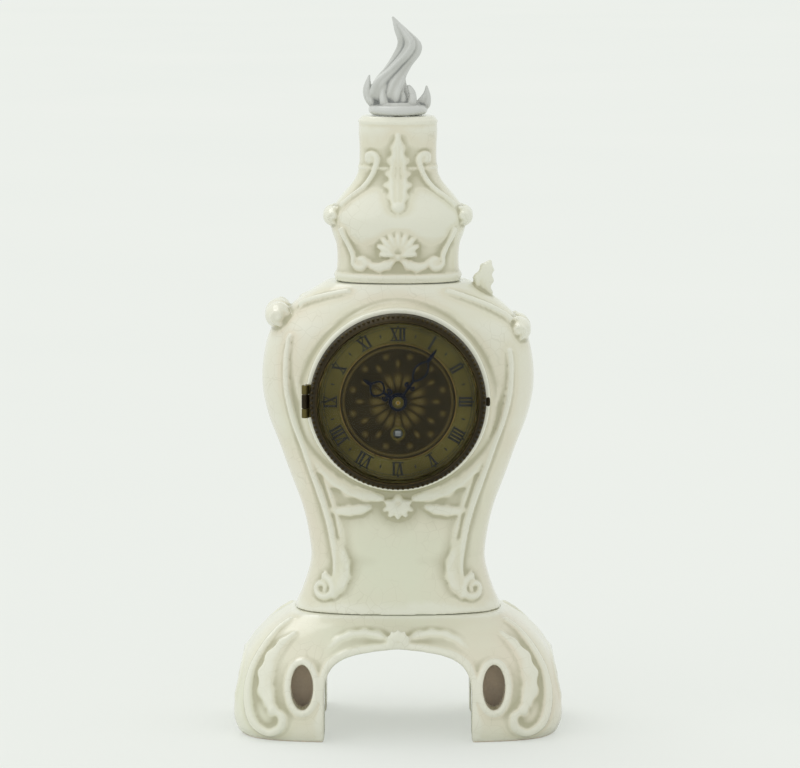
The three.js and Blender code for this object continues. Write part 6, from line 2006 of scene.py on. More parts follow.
@dataclass
class FlameFinial:
    """The grey flame on the neck.

    Attributes:
        foot_radius: Radius of its moulded foot.
        foot_height: Height of the foot.
        foot_profile: The foot's outline in shares of its radius and height.
        grip_bore: Radius of the tie rod's socket.
        grip: Depth of the socket.
        flattening: Depth of the flame over its width.
        tongues: The tongues of the flame.
        licks: Sideways place, height and bend in millimetres of the small licks at the flame's foot.
    """

    foot_radius: float = 16.2 * MM
    foot_height: float = 7 * MM
    foot_profile: Points = (
        (0, 0), (0.8, 0), (0.9, 0.06), (0.97, 0.2), (1, 0.36), (0.99, 0.5), (0.95, 0.66), (0.9, 0.76),
        (0.82, 0.8), (0.76, 0.9), (0.7, 1), (0, 1),
    )
    grip_bore: float = 2.9 * MM
    grip: float = 14.3 * MM
    flattening: float = 0.85
    tongues: Sequence[Tongue] = (
        Tongue(
            root=0.0,
            height=0.0,
            stations=(
                (0, -1, 8.5), (0.14, -4, 10), (0.3, -4.5, 9.2), (0.45, 0, 6.7), (0.6, 5, 6.4),
                (0.72, 6, 5.4), (0.86, 1.5, 3.5), (1, -3, 0.7),
            ),
            flutes=4,
            twist=2.4,
            lean=0.0,
        ),
        Tongue(
            root=-9.5,
            height=19.3,
            stations=((0, 0, 4.2), (0.35, -2.5, 4), (0.7, -2.5, 2.4), (1, 0.5, 0.6)),
            flutes=3,
            twist=1.2,
            lean=-0.35,
        ),
        Tongue(
            root=9.5,
            height=13.9,
            stations=((0, 0, 4), (0.35, 2.5, 3.6), (0.7, 2.2, 2.2), (1, -0.5, 0.6)),
            flutes=3,
            twist=-1.2,
            lean=0.5,
        ),
    )
    licks: Sequence[Knot] = ((-5.5, 15, -2.5), (0.5, 11, 2.0), (5.5, 12.5, 2.5))

    def build(self) -> None:
        """Models the flame and dresses it."""
        low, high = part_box("finial")
        form, socket = bmesh.new(), bmesh.new()
        profile = [(r * self.foot_radius, z * self.foot_height) for r, z in self.foot_profile]
        add_lathe(form, profile, WORLD_UP * low.z, WORLD_UP, steps=64)
        start = low.z + self.foot_height / 2
        for tongue in self.tongues:
            self._add_tongue(form, tongue, start, tongue.height * MM or high.z - start)
        for facing in Facing:
            self._add_licks(form, start, facing)
        add_plug(socket, Vector(), WORLD_UP, self.grip_bore, (low.z - self.grip, low.z + self.grip))
        casting = Casting(grain=0.45 * MM, softening=3, keep=0.6)
        piece = casting.pour("finial_flame", form, late=[socket])
        glaze(piece, Finish.GREY_GLAZE, "finial", depth=0.5 * MM, passes=30)

    def _add_tongue(self, form: BMesh, tongue: Tongue, start: float, height: float) -> None:
        """Adds one tongue of flame.

        Args:
            form: The mesh that gets the tongue.
            tongue: Its shape.
            start: Height of its foot.
            height: Its height before it leans.
        """
        root = Vector((tongue.root * MM, 0.0, start))
        turn = Matrix.Rotation(tongue.lean, 4, "Y")
        knots = [Vector((x * MM, radius * MM, share * height)) for share, x, radius in tongue.stations]
        rings = []
        for spot in smooth_path(knots, 7):

            def place(angle: float, spot: Vector = spot) -> Vector:
                """Gives a point of the section in the frame."""
                x, y, z = tongue.place(angle, spot, spot.z / height)
                return root + turn @ Vector((x, self.flattening * y, z))

            rings.append(add_ring(form, 48, place))
        skin_rings(form, rings)

    def _add_licks(self, form: BMesh, start: float, facing: Facing) -> None:
        """Adds the small licks that curl over the front or back of the flame's foot.

        Args:
            form: The mesh that gets them.
            start: Height of their feet.
            facing: Front or back.
        """
        for x, height, bend in self.licks:
            points = []
            for share in (0.0, 0.3, 0.6, 0.85, 1.0):
                sway = bend * math.sin(math.pi * share) * MM
                depth = facing.value * (9.2 - 4.2 * share + 1.6 * share**3) * MM
                points.append(Vector((x * MM + sway, depth * self.flattening, start + share * height * MM)))
            add_tube(form, smooth_path(points, 6), lambda s: (2.9 * (1.0 - s) ** 0.7 + 0.35) * MM, sides=10)


# Bezel, dial and hands


@dataclass
class Hinge:
    """An upright hinge whose door has one barrel between two of the ring's.

    Attributes:
        pin: The frame's node of its pin.
        knuckle: Outer radius of a barrel.
        bore: Inner radius of a barrel.
        soft: Rounding of a barrel's ends.
        plate_soft: Rounding of the plates that join the barrels on.
        door_half: Half length of the door's barrel.
        ring_length: Length of each of the ring's barrels.
        seam: Gap between barrels.
    """

    pin: str
    knuckle: float = 2.0 * MM
    bore: float = 1.15 * MM
    soft: float = 0.25 * MM
    plate_soft: float = 0.15 * MM
    door_half: float = 3.6 * MM
    ring_length: float = 5.0 * MM
    seam: float = 0.3 * MM

    @property
    def place(self) -> Vector:
        """Middle of the hinge."""
        return middle_of(self.pin)

    def _add_part(self, bm: BMesh, bottom: float, top: float, across: Size, depths: Size) -> None:
        """Adds one barrel, with its bore and softened ends, and the plate that joins it on.

        Args:
            bm: The mesh that gets them.
            bottom: Lower end, from the hinge's middle.
            top: Upper end, from the hinge's middle.
            across: Left and right end of the plate.
            depths: Front and back of the plate.
        """
        wide, narrow, z = self.knuckle, self.knuckle - self.soft, self.place.z
        profile = [(self.bore, bottom), (narrow, bottom), (wide, bottom + self.soft)]
        profile += [(wide, top - self.soft), (narrow, top), (self.bore, top)]
        add_lathe(bm, profile, self.place, WORLD_UP, steps=32, closed=True)
        low = (across[0], depths[0], z + bottom)
        add_block(bm, low, (across[1], depths[1], z + top), self.plate_soft)

    def join_ring(self, bm: BMesh, across: Size, depths: Size) -> None:
        """Adds the ring's two barrels with their plates.

        Args:
            bm: The mesh that gets them.
            across: Left and right end of the plates.
            depths: Front and back of the plates.
        """
        near = self.door_half + self.seam
        far = near + self.ring_length
        for bottom, top in ((-far, -near), (near, far)):
            self._add_part(bm, bottom, top, across, depths)

    def join_door(self, bm: BMesh, across: Size, depths: Size) -> None:
        """Adds the door's barrel with its plate, given as the ring's plates are."""
        self._add_part(bm, -self.door_half, self.door_half, across, depths)

    def build_pin(self) -> None:
        """Models the pin with its two rounded ends."""
        radius, _, half = half_of(self.pin)
        dome = [(radius * math.sin(a), half - radius * (1.0 - math.cos(a))) for a in (0.0, 0.5, 1.0, 1.3)]
        profile = [(r, -z) for r, z in dome] + [(r, z) for r, z in reversed(dome)]
        bm = bmesh.new()
        add_lathe(bm, profile, self.place, WORLD_UP, steps=24)
        enrol(new_object(f"{self.pin}_steel", bm), Finish.STEEL, "case", self.pin)


@dataclass
class SeatedRing:
    """A brass ring that seats on a boss and carries a hinged door.

    Attributes:
        pin: The frame's node of the hinge's pin.
        flange: Thickness of the flange.
        flange_soft: Rounding of the flange's edge.
        wall: Thickness of the spigot.
        spigot: Length of the spigot.
        dial_lap: How far the dial's plate reaches past the spigot's inside.
    """

    pin: str
    flange: float = 2.7 * MM
    flange_soft: float = 0.4 * MM
    wall: float = 1.4 * MM
    spigot: float = 8 * MM
    dial_lap: float = 2.4 * MM

    @property
    def hinge(self) -> Hinge:
        """The door's hinge."""
        return Hinge(self.pin)

    @property
    def axis(self) -> Vector:
        """The point of the middle plane on the ring's axis."""
        return WORLD_UP * self.hinge.place.z

    @property
    def inner(self) -> float:
        """Inner radius of the spigot."""
        return half_of("dial_plate")[0] - self.dial_lap


@dataclass
class GlazedBezel(SeatedRing):
    """The ring on the front boss and the hinged bezel with its domed glass.

    Attributes:
        pin: The frame's node of the hinge's pin.
        bezel_wall: Thickness of the bezel's side.
        lip: Width of the lip that holds the glass.
        glass: Thickness of the glass.
        glass_soft: Rounding of the ring that holds the glass.
        beads: Beads round the bezel.
        bead: Radius of a bead.
        moulding: The bezel's side, in millimetres in from its edge and shares of its depth from its back.
        brow: The bezel's front edge, in millimetres in from its side and back from its front.
    """

    pin: str = "bezel_hinge_pin"
    bezel_wall: float = 2.3 * MM
    lip: float = 2.0 * MM
    glass: float = 1.5 * MM
    glass_soft: float = 0.3 * MM
    beads: int = 108
    bead: float = 0.95 * MM
    moulding: Points = (
        (0.0, 0.24), (0.5, 0.28), (0.5, 0.36), (0.1, 0.42), (0.25, 0.55), (0.7, 0.68), (1.5, 0.8)
    )
    brow: Points = ((0.2, 0.9), (0.7, 0.35), (1.2, 0.0))

    def build(self) -> None:
        """Models the ring, the bezel and the glass, and dresses them."""
        self._build_ring()
        self._build_bezel()
        self._build_glass()
        self.hinge.build_pin()

    def _build_ring(self) -> None:
        """Models the seated ring."""
        seam, soft = self.hinge.seam, self.flange_soft
        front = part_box("dial_plate")[1].y + seam
        back = front + self.flange
        outer = half_of("bezel_door")[2] - seam
        inner, pipe, end = self.inner, self.inner + self.wall, back + self.spigot
        profile = [(inner, front), (outer - soft, front), (outer, front + soft), (outer, back)]
        profile += [(pipe, back), (pipe, end), (inner, end)]
        bm = bmesh.new()
        add_lathe(bm, profile, self.axis, steps=128, closed=True)
        across = (self.hinge.place.x, -outer + 2.5 * MM)
        self.hinge.join_ring(bm, across, (front + 0.1 * MM, back - 0.4 * MM))
        present(new_object("front_ring_brass", bm), Finish.AGED_BRASS, "case", "front_ring", slot="brass")

    def _build_bezel(self) -> None:
        """Models the hinged bezel with its beading and thumb piece."""
        low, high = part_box("bezel_door")
        back, front, depth = high.y, low.y, high.y - low.y
        outer = half_of("bezel_door")[2]
        inner = outer - self.bezel_wall
        lip_inner = half_of("dial_glass")[0] - self.lip + 0.4 * MM
        profile = [(inner, back), (outer - 0.3 * MM, back), (outer, back - 0.3 * MM)]
        profile += [(outer - cut * MM, back - share * depth) for cut, share in self.moulding]
        profile += [(inner - cut * MM, front + drop * MM) for cut, drop in self.brow]
        profile += [(lip_inner + 0.4 * MM, front + 0.1 * MM), (lip_inner, front + 0.6 * MM)]
        profile += [(lip_inner, front + self.lip), (inner, front + self.lip)]
        bm = bmesh.new()
        add_lathe(bm, profile, self.axis, steps=144, closed=True)
        ring = outer - 1.15 * MM
        for angle in turns(self.beads):
            away = Vector((ring * math.cos(angle), front + 0.235 * depth, ring * math.sin(angle)))
            matrix = Matrix.Translation(self.axis + away)
            bmesh.ops.create_icosphere(bm, subdivisions=1, radius=self.bead, matrix=matrix)
        across = (self.hinge.place.x + 0.9 * self.hinge.knuckle, -outer + 1.2 * MM)
        self.hinge.join_door(bm, across, (back - 2.0 * MM, back))
        reaches = (outer - 1.0 * MM, outer + 0.4 * MM, high.x)
        tab = smooth_path([Vector((x, back - 2.75 * MM, self.axis.z)) for x in reaches])
        add_tube(
            bm,
            tab,
            lambda s: (1.9 + 0.9 * s) * MM * math.sqrt(max(1.0 - 0.75 * s**8, 0.0)),
            sides=20,
            flatness=0.42,
        )
        present(new_object("bezel_bronze", bm), Finish.DARK_BRONZE, "bezel", "bezel_door")

    def _build_glass(self) -> None:
        """Models the domed glass and the ring that holds it."""
        low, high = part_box("dial_glass")
        radius, edge = half_of("dial_glass")[0], high.y - self.glass
        dome, rise = radius - self.lip, edge - low.y
        front = [(dome * share, edge - rise * (1.0 - share**2)) for share in shares(16)]
        back = [(r, y + self.glass) for r, y in reversed(front)]
        bm = bmesh.new()
        add_lathe(bm, [*front, (radius, edge), (radius, high.y), *back], self.axis)
        present(new_object("domed_glass", bm), Finish.GLASS, "bezel", "dial_glass")
        low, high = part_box("glass_retainer")
        profile = [(dome, high.y), (dome, low.y + self.glass_soft), (dome + self.glass_soft, low.y)]
        profile += [(radius, low.y), (radius, high.y)]
        bm = bmesh.new()
        add_lathe(bm, profile, self.axis, steps=128, closed=True)
        piece = new_object("glass_retainer_ring", bm)
        present(piece, Finish.AGED_BRASS, "bezel", "glass_retainer", slot="brass")


class Numeral(Enum):
    """The hours of the dial, as they are cut on chapter rings."""

    ONE = "I"
    TWO = "II"
    THREE = "III"
    FOUR = "IIII"
    FIVE = "V"
    SIX = "VI"
    SEVEN = "VII"
    EIGHT = "VIII"
    NINE = "IX"
    TEN = "X"
    ELEVEN = "XI"
    TWELVE = "XII"


@dataclass
class Dial:
    """The chapter ring with its numerals and the ornamented centre.

    Attributes:
        centre_gap: Gap between the centre and the chapter ring.
        border: The ring's raised border, in millimetres from its edge and behind its face.
        sink: Depth of the ring's face under its borders.
        numeral_height: Height of a numeral.
        numeral_in: From the ring's inner edge to a numeral's foot.
        thick: Width of a numeral's thick stroke.
        thin: Width of its thin stroke.
        broad: Width of the letters V and X.
        letter_gap: Gap between the strokes of a numeral.
        serif: Half height of the line along a numeral's head and foot.
        ink: How far the ink stands off the ring.
        ink_root: How far the ink reaches into the ring.
        track: From the ring's outer edge to the lines of the minute track.
        track_line: Half width of those lines.
        petals: Petals of the centre's rosette.
        pipe: Radius of the hole for the hands.
        hole: Radius of the winding hole.
        relief: Height of ornament that counts as fully raised.
        eyelet: Outline of the winding hole's eyelet, in millimetres from its axis and behind the face.
    """

    centre_gap: float = 0.4 * MM
    border: Points = ((0.0, 0.2), (0.2, 0.0), (0.8, 0.0))
    sink: float = 0.3 * MM
    numeral_height: float = 6.7 * MM
    numeral_in: float = 1.55 * MM
    thick: float = 1.25 * MM
    thin: float = 0.62 * MM
    broad: Size = (3.8 * MM, 4.0 * MM)
    letter_gap: float = 0.72 * MM
    serif: float = 0.32 * MM
    ink: float = 0.12 * MM
    ink_root: float = 0.05 * MM
    track: Size = (2.7 * MM, 1.35 * MM)
    track_line: float = 0.11 * MM
    petals: int = 16
    pipe: float = 3.5 * MM
    hole: float = 3.4 * MM
    relief: float = 0.5 * MM
    eyelet: Points = (
        (2.6, 0.15), (2.6, -0.45), (2.9, -0.6), (3.5, -0.55), (3.95, -0.3), (4.1, 0.0), (3.2, 0.15)
    )

    def __post_init__(self) -> None:
        """Finds the dial's place and main sizes in the frame."""
        self.axis = WORLD_UP * middle_of("chapter_ring").z
        self.winding = WORLD_UP * middle_of("barrel_arbor").z
        self.outer = half_of("chapter_ring")[0]
        self.inner = half_of("dial_centre")[0] + self.centre_gap
        self.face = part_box("chapter_ring")[0].y
        self.sunk = self.face + self.sink

    def build(self) -> None:
        """Models the ring, its markings and the centre, and dresses them."""
        self._build_ring()
        self._build_markings()
        self._build_centre()
        self._build_eyelet()

    def _build_ring(self) -> None:
        """Models the chapter ring with a raised border on each edge."""
        back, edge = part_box("chapter_ring")[1].y, 1.0 * MM
        inside = [(self.inner + cut * MM, self.face + drop * MM) for cut, drop in self.border]
        outside = [(self.outer - cut * MM, self.face + drop * MM) for cut, drop in reversed(self.border)]
        floor = [(self.inner + edge, self.sunk), (self.outer - edge, self.sunk)]
        bm = bmesh.new()
        profile = [(self.inner, back), *inside, *floor, *outside, (self.outer, back)]
        add_lathe(bm, profile, self.axis, steps=144, closed=True)
        present(new_object("chapter_ring_brass", bm), Finish.AGED_BRASS, "case", "chapter_ring")

    def _add_mark(self, bm: BMesh, turn: float, corners: Points) -> None:
        """Adds a flat mark of ink.

        Args:
            bm: The mesh that gets the mark.
            turn: Angle of the mark's line, clockwise from twelve.
            corners: The mark's corners, clockwise from that line and out from the dial's axis.
        """
        radial = Vector((math.sin(turn), 0.0, math.cos(turn)))
        tangent = Vector((math.cos(turn), 0.0, -math.sin(turn)))
        root = Vector((0.0, self.sunk + self.ink_root, self.axis.z))
        outline = [root + radial * out + tangent * across for across, out in corners]
        add_prism(bm, outline, DEPTH_AXIS * (-self.ink - self.ink_root))

    def _add_stroke(self, bm: BMesh, turn: float, foot: Size, head: Size, width: float) -> None:
        """Adds one straight stroke between two places.

        Args:
            bm: The mesh that gets the stroke.
            turn: Angle of its line, clockwise from twelve.
            foot: Where it starts, clockwise from that line and out from the dial's axis.
            head: Where it ends, likewise.
            width: Its width.
        """
        half = width / 2.0
        starts = [(foot[0] - half, foot[1]), (foot[0] + half, foot[1])]
        self._add_mark(bm, turn, [*starts, (head[0] + half, head[1]), (head[0] - half, head[1])])

    def _add_numeral(self, bm: BMesh, hour: int, letters: str) -> None:
        """Adds an hour's numeral, its feet towards the centre.

        Args:
            bm: The mesh that gets the numeral.
            hour: The hour.
            letters: The numeral's letters.
        """
        turn = FULL_TURN * hour / 12
        low = self.inner + self.numeral_in
        high = low + self.numeral_height
        widths = dict(zip("IVX", (self.thick, *self.broad)))
        total = sum(widths[letter] for letter in letters) + self.letter_gap * (len(letters) - 1)
        place = -total / 2.0
        for letter in letters:
            width = widths[letter]
            left, right = place + self.thick / 2.0, place + width - self.thin / 2.0
            middle = place + width / 2.0
            strokes = {
                "I": ((middle, middle, self.thick),),
                "V": ((middle, left, self.thick), (middle, right, self.thin)),
                "X": ((right - 0.3 * MM, left, self.thick), (left, right, self.thin)),
            }
            for foot, head, thickness in strokes[letter]:
                self._add_stroke(bm, turn, (foot, low), (head, high), thickness)
            place += width + self.letter_gap
        for out in (low, high):
            ends = (0.0, out - self.serif), (0.0, out + self.serif)
            self._add_stroke(bm, turn, *ends, total + 0.5 * MM)

    def _build_markings(self) -> None:
        """Models the numerals and the minute track as thin ink."""
        bm = bmesh.new()
        for hour, numeral in enumerate(Numeral, start=1):
            self._add_numeral(bm, hour, numeral.value)
        track_in, track_out = (self.outer - inset for inset in self.track)
        for radius in (track_in, track_out):
            near, far, top = radius - self.track_line, radius + self.track_line, self.sunk - self.ink
            profile = [(near, self.sunk), (near, top), (far, top), (far, self.sunk)]
            add_lathe(bm, profile, self.axis, steps=120, closed=True)
        between, wide = (track_in + track_out) / 2, 0.6 * MM
        diamond = ((0.0, track_in - 0.5 * MM), (wide, between), (0.0, track_out), (-wide, between))
        for minute, turn in enumerate(turns(60)):
            if minute % 5:
                self._add_stroke(bm, turn, (0.0, track_in), (0.0, track_out), 0.26 * MM)
            else:
                self._add_mark(bm, turn, diamond)
        out, wide, long = self.inner + 4.9 * MM, 0.5 * MM, 1.5 * MM
        leaf = ((0.0, out - long), (wide, out), (0.0, out + long), (-wide, out))
        for hour in range(12):
            self._add_mark(bm, FULL_TURN * (hour + 0.5) / 12, leaf)
        piece = new_object("dial_markings", bm, smooth=False)
        enrol(piece, Finish.INK, "case", slot="dark_bronze")

    def _build_centre(self) -> None:
        """Models the sunk centre with its rosette and rayed ground."""
        low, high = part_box("dial_centre")
        face, back, outer = low.y, high.y, self.inner - self.centre_gap
        bm, hole = bmesh.new(), bmesh.new()
        ground = [(blend_values(self.pipe, outer, share), face) for share in shares(48)]
        add_lathe(bm, [(self.pipe, back), *ground, (outer, back)], self.axis, steps=192, closed=True)
        for vert in bm.verts:
            if vert.co.y <= face + 0.01 * MM:
                x, z = vert.co.x, vert.co.z - self.axis.z
                vert.co.y -= self._ornament(math.hypot(x, z) / outer, math.atan2(z, x))
        bmesh.ops.recalc_face_normals(bm, faces=bm.faces[:])
        piece = new_object("dial_centre_bronze", bm)
        ends = (face - 2 * OVERCUT, back + 2 * OVERCUT)
        add_plug(hole, self.winding, DEPTH_AXIS, self.hole, ends, steps=40)
        settle(piece, [combine(piece, hole)])
        soften_shading(piece, 60.0)
        # height of the relief, which the finish uses to paint a highlight on the raised ornament
        store(piece.data, "raised", (face - vertex_rows(piece.data, "co")[:, 1]) / self.relief)
        enrol(piece, Finish.DARK_BRONZE, "case", "dial_centre")

    def _ornament(self, share: float, angle: float) -> float:
        """Gives the height of the centre's relief at a place.

        Args:
            share: The place's share of the radius.
            angle: Its angle.

        Returns:
            The height over the ground.
        """
        rosette = bump_at(share, 0.36, 0.13) * abs(math.cos(self.petals / 2 * angle)) ** 0.7
        buds = bump_at(share, 0.66, 0.07) * max(0.0, math.cos(12 * angle)) ** 3
        leaves = bump_at(share, 0.8, 0.06) * max(0.0, math.cos(12 * angle + math.pi)) ** 2
        return (0.52 * rosette + 0.5 * buds + 0.42 * leaves + 0.4 * bump_at(share, 0.94, 0.025)) * MM

    def _build_eyelet(self) -> None:
        """Models the brass eyelet round the winding hole."""
        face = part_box("dial_centre")[0].y
        profile = [(r * MM, face + y * MM) for r, y in self.eyelet]
        bm = bmesh.new()
        add_lathe(bm, profile, self.winding, steps=48, closed=True)
        present(new_object("winding_eyelet", bm), Finish.AGED_BRASS, "case")


@dataclass(frozen=True)
class HandShape:
    """Sizes of one pierced hand.

    Attributes:
        node: The frame's node that it stands for.
        body: The body that it moves with.
        degrees: Its angle clockwise from twelve.
        length: From its axis to its tip.
        bore: Radius of the hole in its boss.
        hub: Outer radius of its boss.
        scroll: Half width of the pierced part.
    """

    node: str
    body: str
    degrees: float
    length: float
    bore: float
    hub: float
    scroll: float


@dataclass
class Hands:
    """The pierced hands and the nut that holds them.

    Attributes:
        hands: The two hands.
        bar: Radius of the bars of the pierced part.
        loop: The loop of the pierced part, in shares of the half width and of the hand's length.
        nut_bore: Radius of the nut's hole.
        nut_soft: Rounding of the nut's edge.
    """

    hands: Sequence[HandShape] = (
        HandShape("hour_hand", "hour_pipe", 303.0, 23 * MM, 3.4 * MM, 5.0 * MM, 4.2 * MM),
        HandShape("minute_hand", "minute_arbor", 36.0, 36 * MM, 2.2 * MM, 4.0 * MM, 3.4 * MM),
    )
    bar: float = 0.55 * MM
    loop: Points = ((0.0, 0.0), (0.55, 0.05), (1.0, 0.16), (0.8, 0.26), (0.3, 0.33), (0.0, 0.36))
    nut_bore: float = 1.25 * MM
    nut_soft: float = 0.15 * MM

    def build(self) -> None:
        """Models both hands and the nut, and dresses them."""
        for hand in self.hands:
            self._build_hand(hand)
        self._build_nut()

    def _build_hand(self, hand: HandShape) -> None:
        """Models one pierced hand, upright about the origin first, as fused flat scrollwork.

        Args:
            hand: Its sizes.
        """
        half, length, hub = half_of(hand.node)[1], hand.length, hand.hub
        flat = half / self.bar
        bm = bmesh.new()
        profile = [(hand.bore, -half), (hub - 0.2 * MM, -half), (hub, -0.4 * half)]
        profile += [(hub, half), (hand.bore, half)]
        add_lathe(bm, profile, Vector(), steps=48, closed=True)
        stem = smooth_path([WORLD_UP * z for z in (hub * 0.85, 0.42 * length)], 6)
        add_tube(bm, stem, lambda s: (0.75 - 0.15 * s) * MM, flatness=flat / 1.3)
        for side in Side:
            wide, start = side.value * hand.scroll, 0.4 * length
            loop = [Vector((x * wide, 0.0, start + z * length)) for x, z in self.loop]
            add_tube(bm, smooth_path(loop), lambda s: self.bar, 10, flat)
            eye = (0.48 * hand.scroll, 0.29 * length)
            spiral = volute(eye, 0.42 * hand.scroll, 0.25 * MM, -1.2, 90.0, 28)
            curl = [Vector((side.value * x, 0.0, z)) for x, z in spiral]
            add_tube(bm, curl, lambda s: (0.5 - 0.15 * s) * MM, 10, flat)
        tip = smooth_path([WORLD_UP * z for z in (0.74 * length, 0.86 * length, length - 0.4 * MM)], 6)
        add_tube(bm, tip, lambda s: (0.8 + 0.5 * math.sin(math.pi * s) - 0.62 * s) * MM, flatness=flat / 1.5)
        spot = Vector((0.0, middle_of(hand.node).y, middle_of("dial_plate").z))
        turn = Matrix.Translation(spot) @ Matrix.Rotation(math.radians(hand.degrees), 4, "Y")
        bmesh.ops.transform(bm, matrix=turn, verts=bm.verts[:])
        piece = Casting(grain=0.14 * MM, softening=2, keep=0.4).pour(f"{hand.node}_pierced", bm)
        enrol(piece, Finish.BLUED_STEEL, hand.body, hand.node)

    def _build_nut(self) -> None:
        """Models the domed hand nut."""
        low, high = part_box("hand_nut")
        radius, height, soft = half_of("hand_nut")[0], high.y - low.y, self.nut_soft
        profile = [(self.nut_bore, high.y), (radius - soft, high.y), (radius, high.y - soft)]
        for share in shares(8)[1:]:
            reach = blend_values(radius, self.nut_bore + 0.5 * MM, share**1.6)
            profile.append((reach, high.y - height * (0.15 + 0.85 * share**0.8)))
        profile.append((self.nut_bore, low.y + 0.1 * MM))
        bm = bmesh.new()
        add_lathe(bm, profile, WORLD_UP * middle_of("dial_plate").z, steps=40, closed=True)
        piece = new_object("hand_nut_brass", bm)
        present(piece, Finish.AGED_BRASS, "minute_arbor", "hand_nut", slot="brass")


# Back of the case and the pendulum


@dataclass
class CaseBack(SeatedRing):
    """The ring on the rear boss with its hinged door and latch.

    Attributes:
        pin: The frame's node of the hinge's pin.
        boss_face: From the middle plane to the boss's face.
        lip: Width of the lip that the latch holds.
        door: Thickness of the door at its rim.
        door_soft: Rounding of the door's rim.
        crown: How much higher the door's middle stands.
        grooves: Turned grooves of the door, as shares of its radius.
        groove: Half width and depth of a groove.
        lug: Length, half width and thickness of the lugs that the straps are screwed to.
        lug_gap: From the flange to a lug's front.
        lug_angle: Turn of a lug below the horizontal, in degrees.
        lug_soft: Rounding of a lug.
        latch_bore: Radius of the latch's hole.
        shaft: Radius of the latch's shaft, and half width of its tongue.
        tongue: Thickness of the tongue.
        knob: Length of the latch's knob.
        knob_profile: The knob's outline in shares of its radius and length.
        flutes: Flutes round the knob.
    """

    pin: str = "back_door_hinge_pin"
    boss_face: float = 42 * MM
    lip: float = 2 * MM
    door: float = 1.3 * MM
    door_soft: float = 0.5 * MM
    crown: float = 0.6 * MM
    grooves: Sequence[float] = (0.2, 0.24, 0.52, 0.86, 0.9)
    groove: Size = (0.8 * MM, 0.5 * MM)
    lug: Knot = (7.8 * MM, 4 * MM, 1.8 * MM)
    lug_gap: float = 3.7 * MM
    lug_angle: float = 25.0
    lug_soft: float = 0.2 * MM
    latch_bore: float = 1.45 * MM
    shaft: float = 1.2 * MM
    tongue: float = 1.5 * MM
    knob: float = 6 * MM
    knob_profile: Points = (
        (0.7, 0.0), (0.68, 0.08), (0.55, 0.27), (0.7, 0.38), (0.92, 0.46), (1.0, 0.54), (1.0, 0.78),
        (0.92, 0.87), (0.6, 0.96), (0.3, 0.99), (0.0, 1.0),
    )
    flutes: int = 20

    @property
    def latch_spot(self) -> Vector:
        """The point of the middle plane on the latch's axis."""
        return self.axis + Vector((middle_of("door_latch").x, 0.0, 0.0))

    def build(self) -> None:
        """Models the ring, the door and the latch, and dresses them."""
        front = self.boss_face + self.hinge.seam
        self._build_ring(front)
        self._build_door(front + self.flange + self.hinge.seam)
        self._build_latch()
        self.hinge.build_pin()

    def _build_ring(self, front: float) -> None:
        """Models the ring with its lugs and its two hinge barrels.

        Args:
            front: Depth of the flange's front.
        """
        outer, inner, back, soft = half_of("rear_ring")[2], self.inner, front + self.flange, self.flange_soft
        pipe, end, lip = inner + self.wall, front - self.spigot, inner - self.lip
        profile = [(inner, end), (pipe, end), (pipe, front), (outer, front), (outer, back - soft)]
        profile += [(outer - soft, back), (lip, back), (lip, front), (inner, front)]
        bm = bmesh.new()
        add_lathe(bm, profile, self.axis, steps=128, closed=True)
        across = (outer - 2.5 * MM, self.hinge.place.x)
        self.hinge.join_ring(bm, across, (front + 0.4 * MM, back - 0.1 * MM))
        length, half, thickness = self.lug
        reach, near = inner + self.wall / 2.0, front - self.lug_gap
        for degrees in (self.lug_angle, 180.0 - self.lug_angle):
            lug = bmesh.new()
            add_block(lug, (reach - length, near, -half), (reach, near + thickness, half), self.lug_soft)
            turn = Matrix.Translation(self.axis) @ Matrix.Rotation(math.radians(degrees), 4, "Y")
            bmesh.ops.transform(lug, matrix=turn, verts=lug.verts[:])
            merge_into(bm, lug)
        present(new_object("rear_ring_brass", bm), Finish.BRASS, "case", "rear_ring")

    def _build_door(self, front: float) -> None:
        """Models the spun door with its turned grooves, the latch's hole and the hinge barrel.

        Args:
            front: Depth of the door's inner face.
        """
        radius, back, soft = half_of("back_door")[2], front + self.door, self.door_soft
        width, depth = self.groove
        profile = [(0.0, front), (radius, front), (radius, back - soft), (radius - soft, back)]
        for done in shares(96):
            share = 1.0 - done
            dip = sum(bump_at(share * radius, groove * radius, width) for groove in self.grooves)
            profile.append(((radius - self.door) * share, back + self.crown * (1.0 - share) - depth * dip))
        bm, hole = bmesh.new(), bmesh.new()
        add_lathe(bm, profile, self.axis, steps=128)
        piece = new_object("back_door_spun", bm)
        ends = (front - self.door, back + self.door)
        add_plug(hole, self.latch_spot, DEPTH_AXIS, self.latch_bore, ends, steps=32)
        settle(piece, [combine(piece, hole)])
        bm = bmesh.new()
        bm.from_mesh(piece.data)
        across = (radius - 3 * MM, self.hinge.place.x - self.hinge.bore - 0.1 * MM)
        self.hinge.join_door(bm, across, (front + 0.1 * MM, back + 0.2 * MM))
        bm.to_mesh(piece.data)
        bm.free()
        present(piece, Finish.BRASS, "back_door", "back_door")

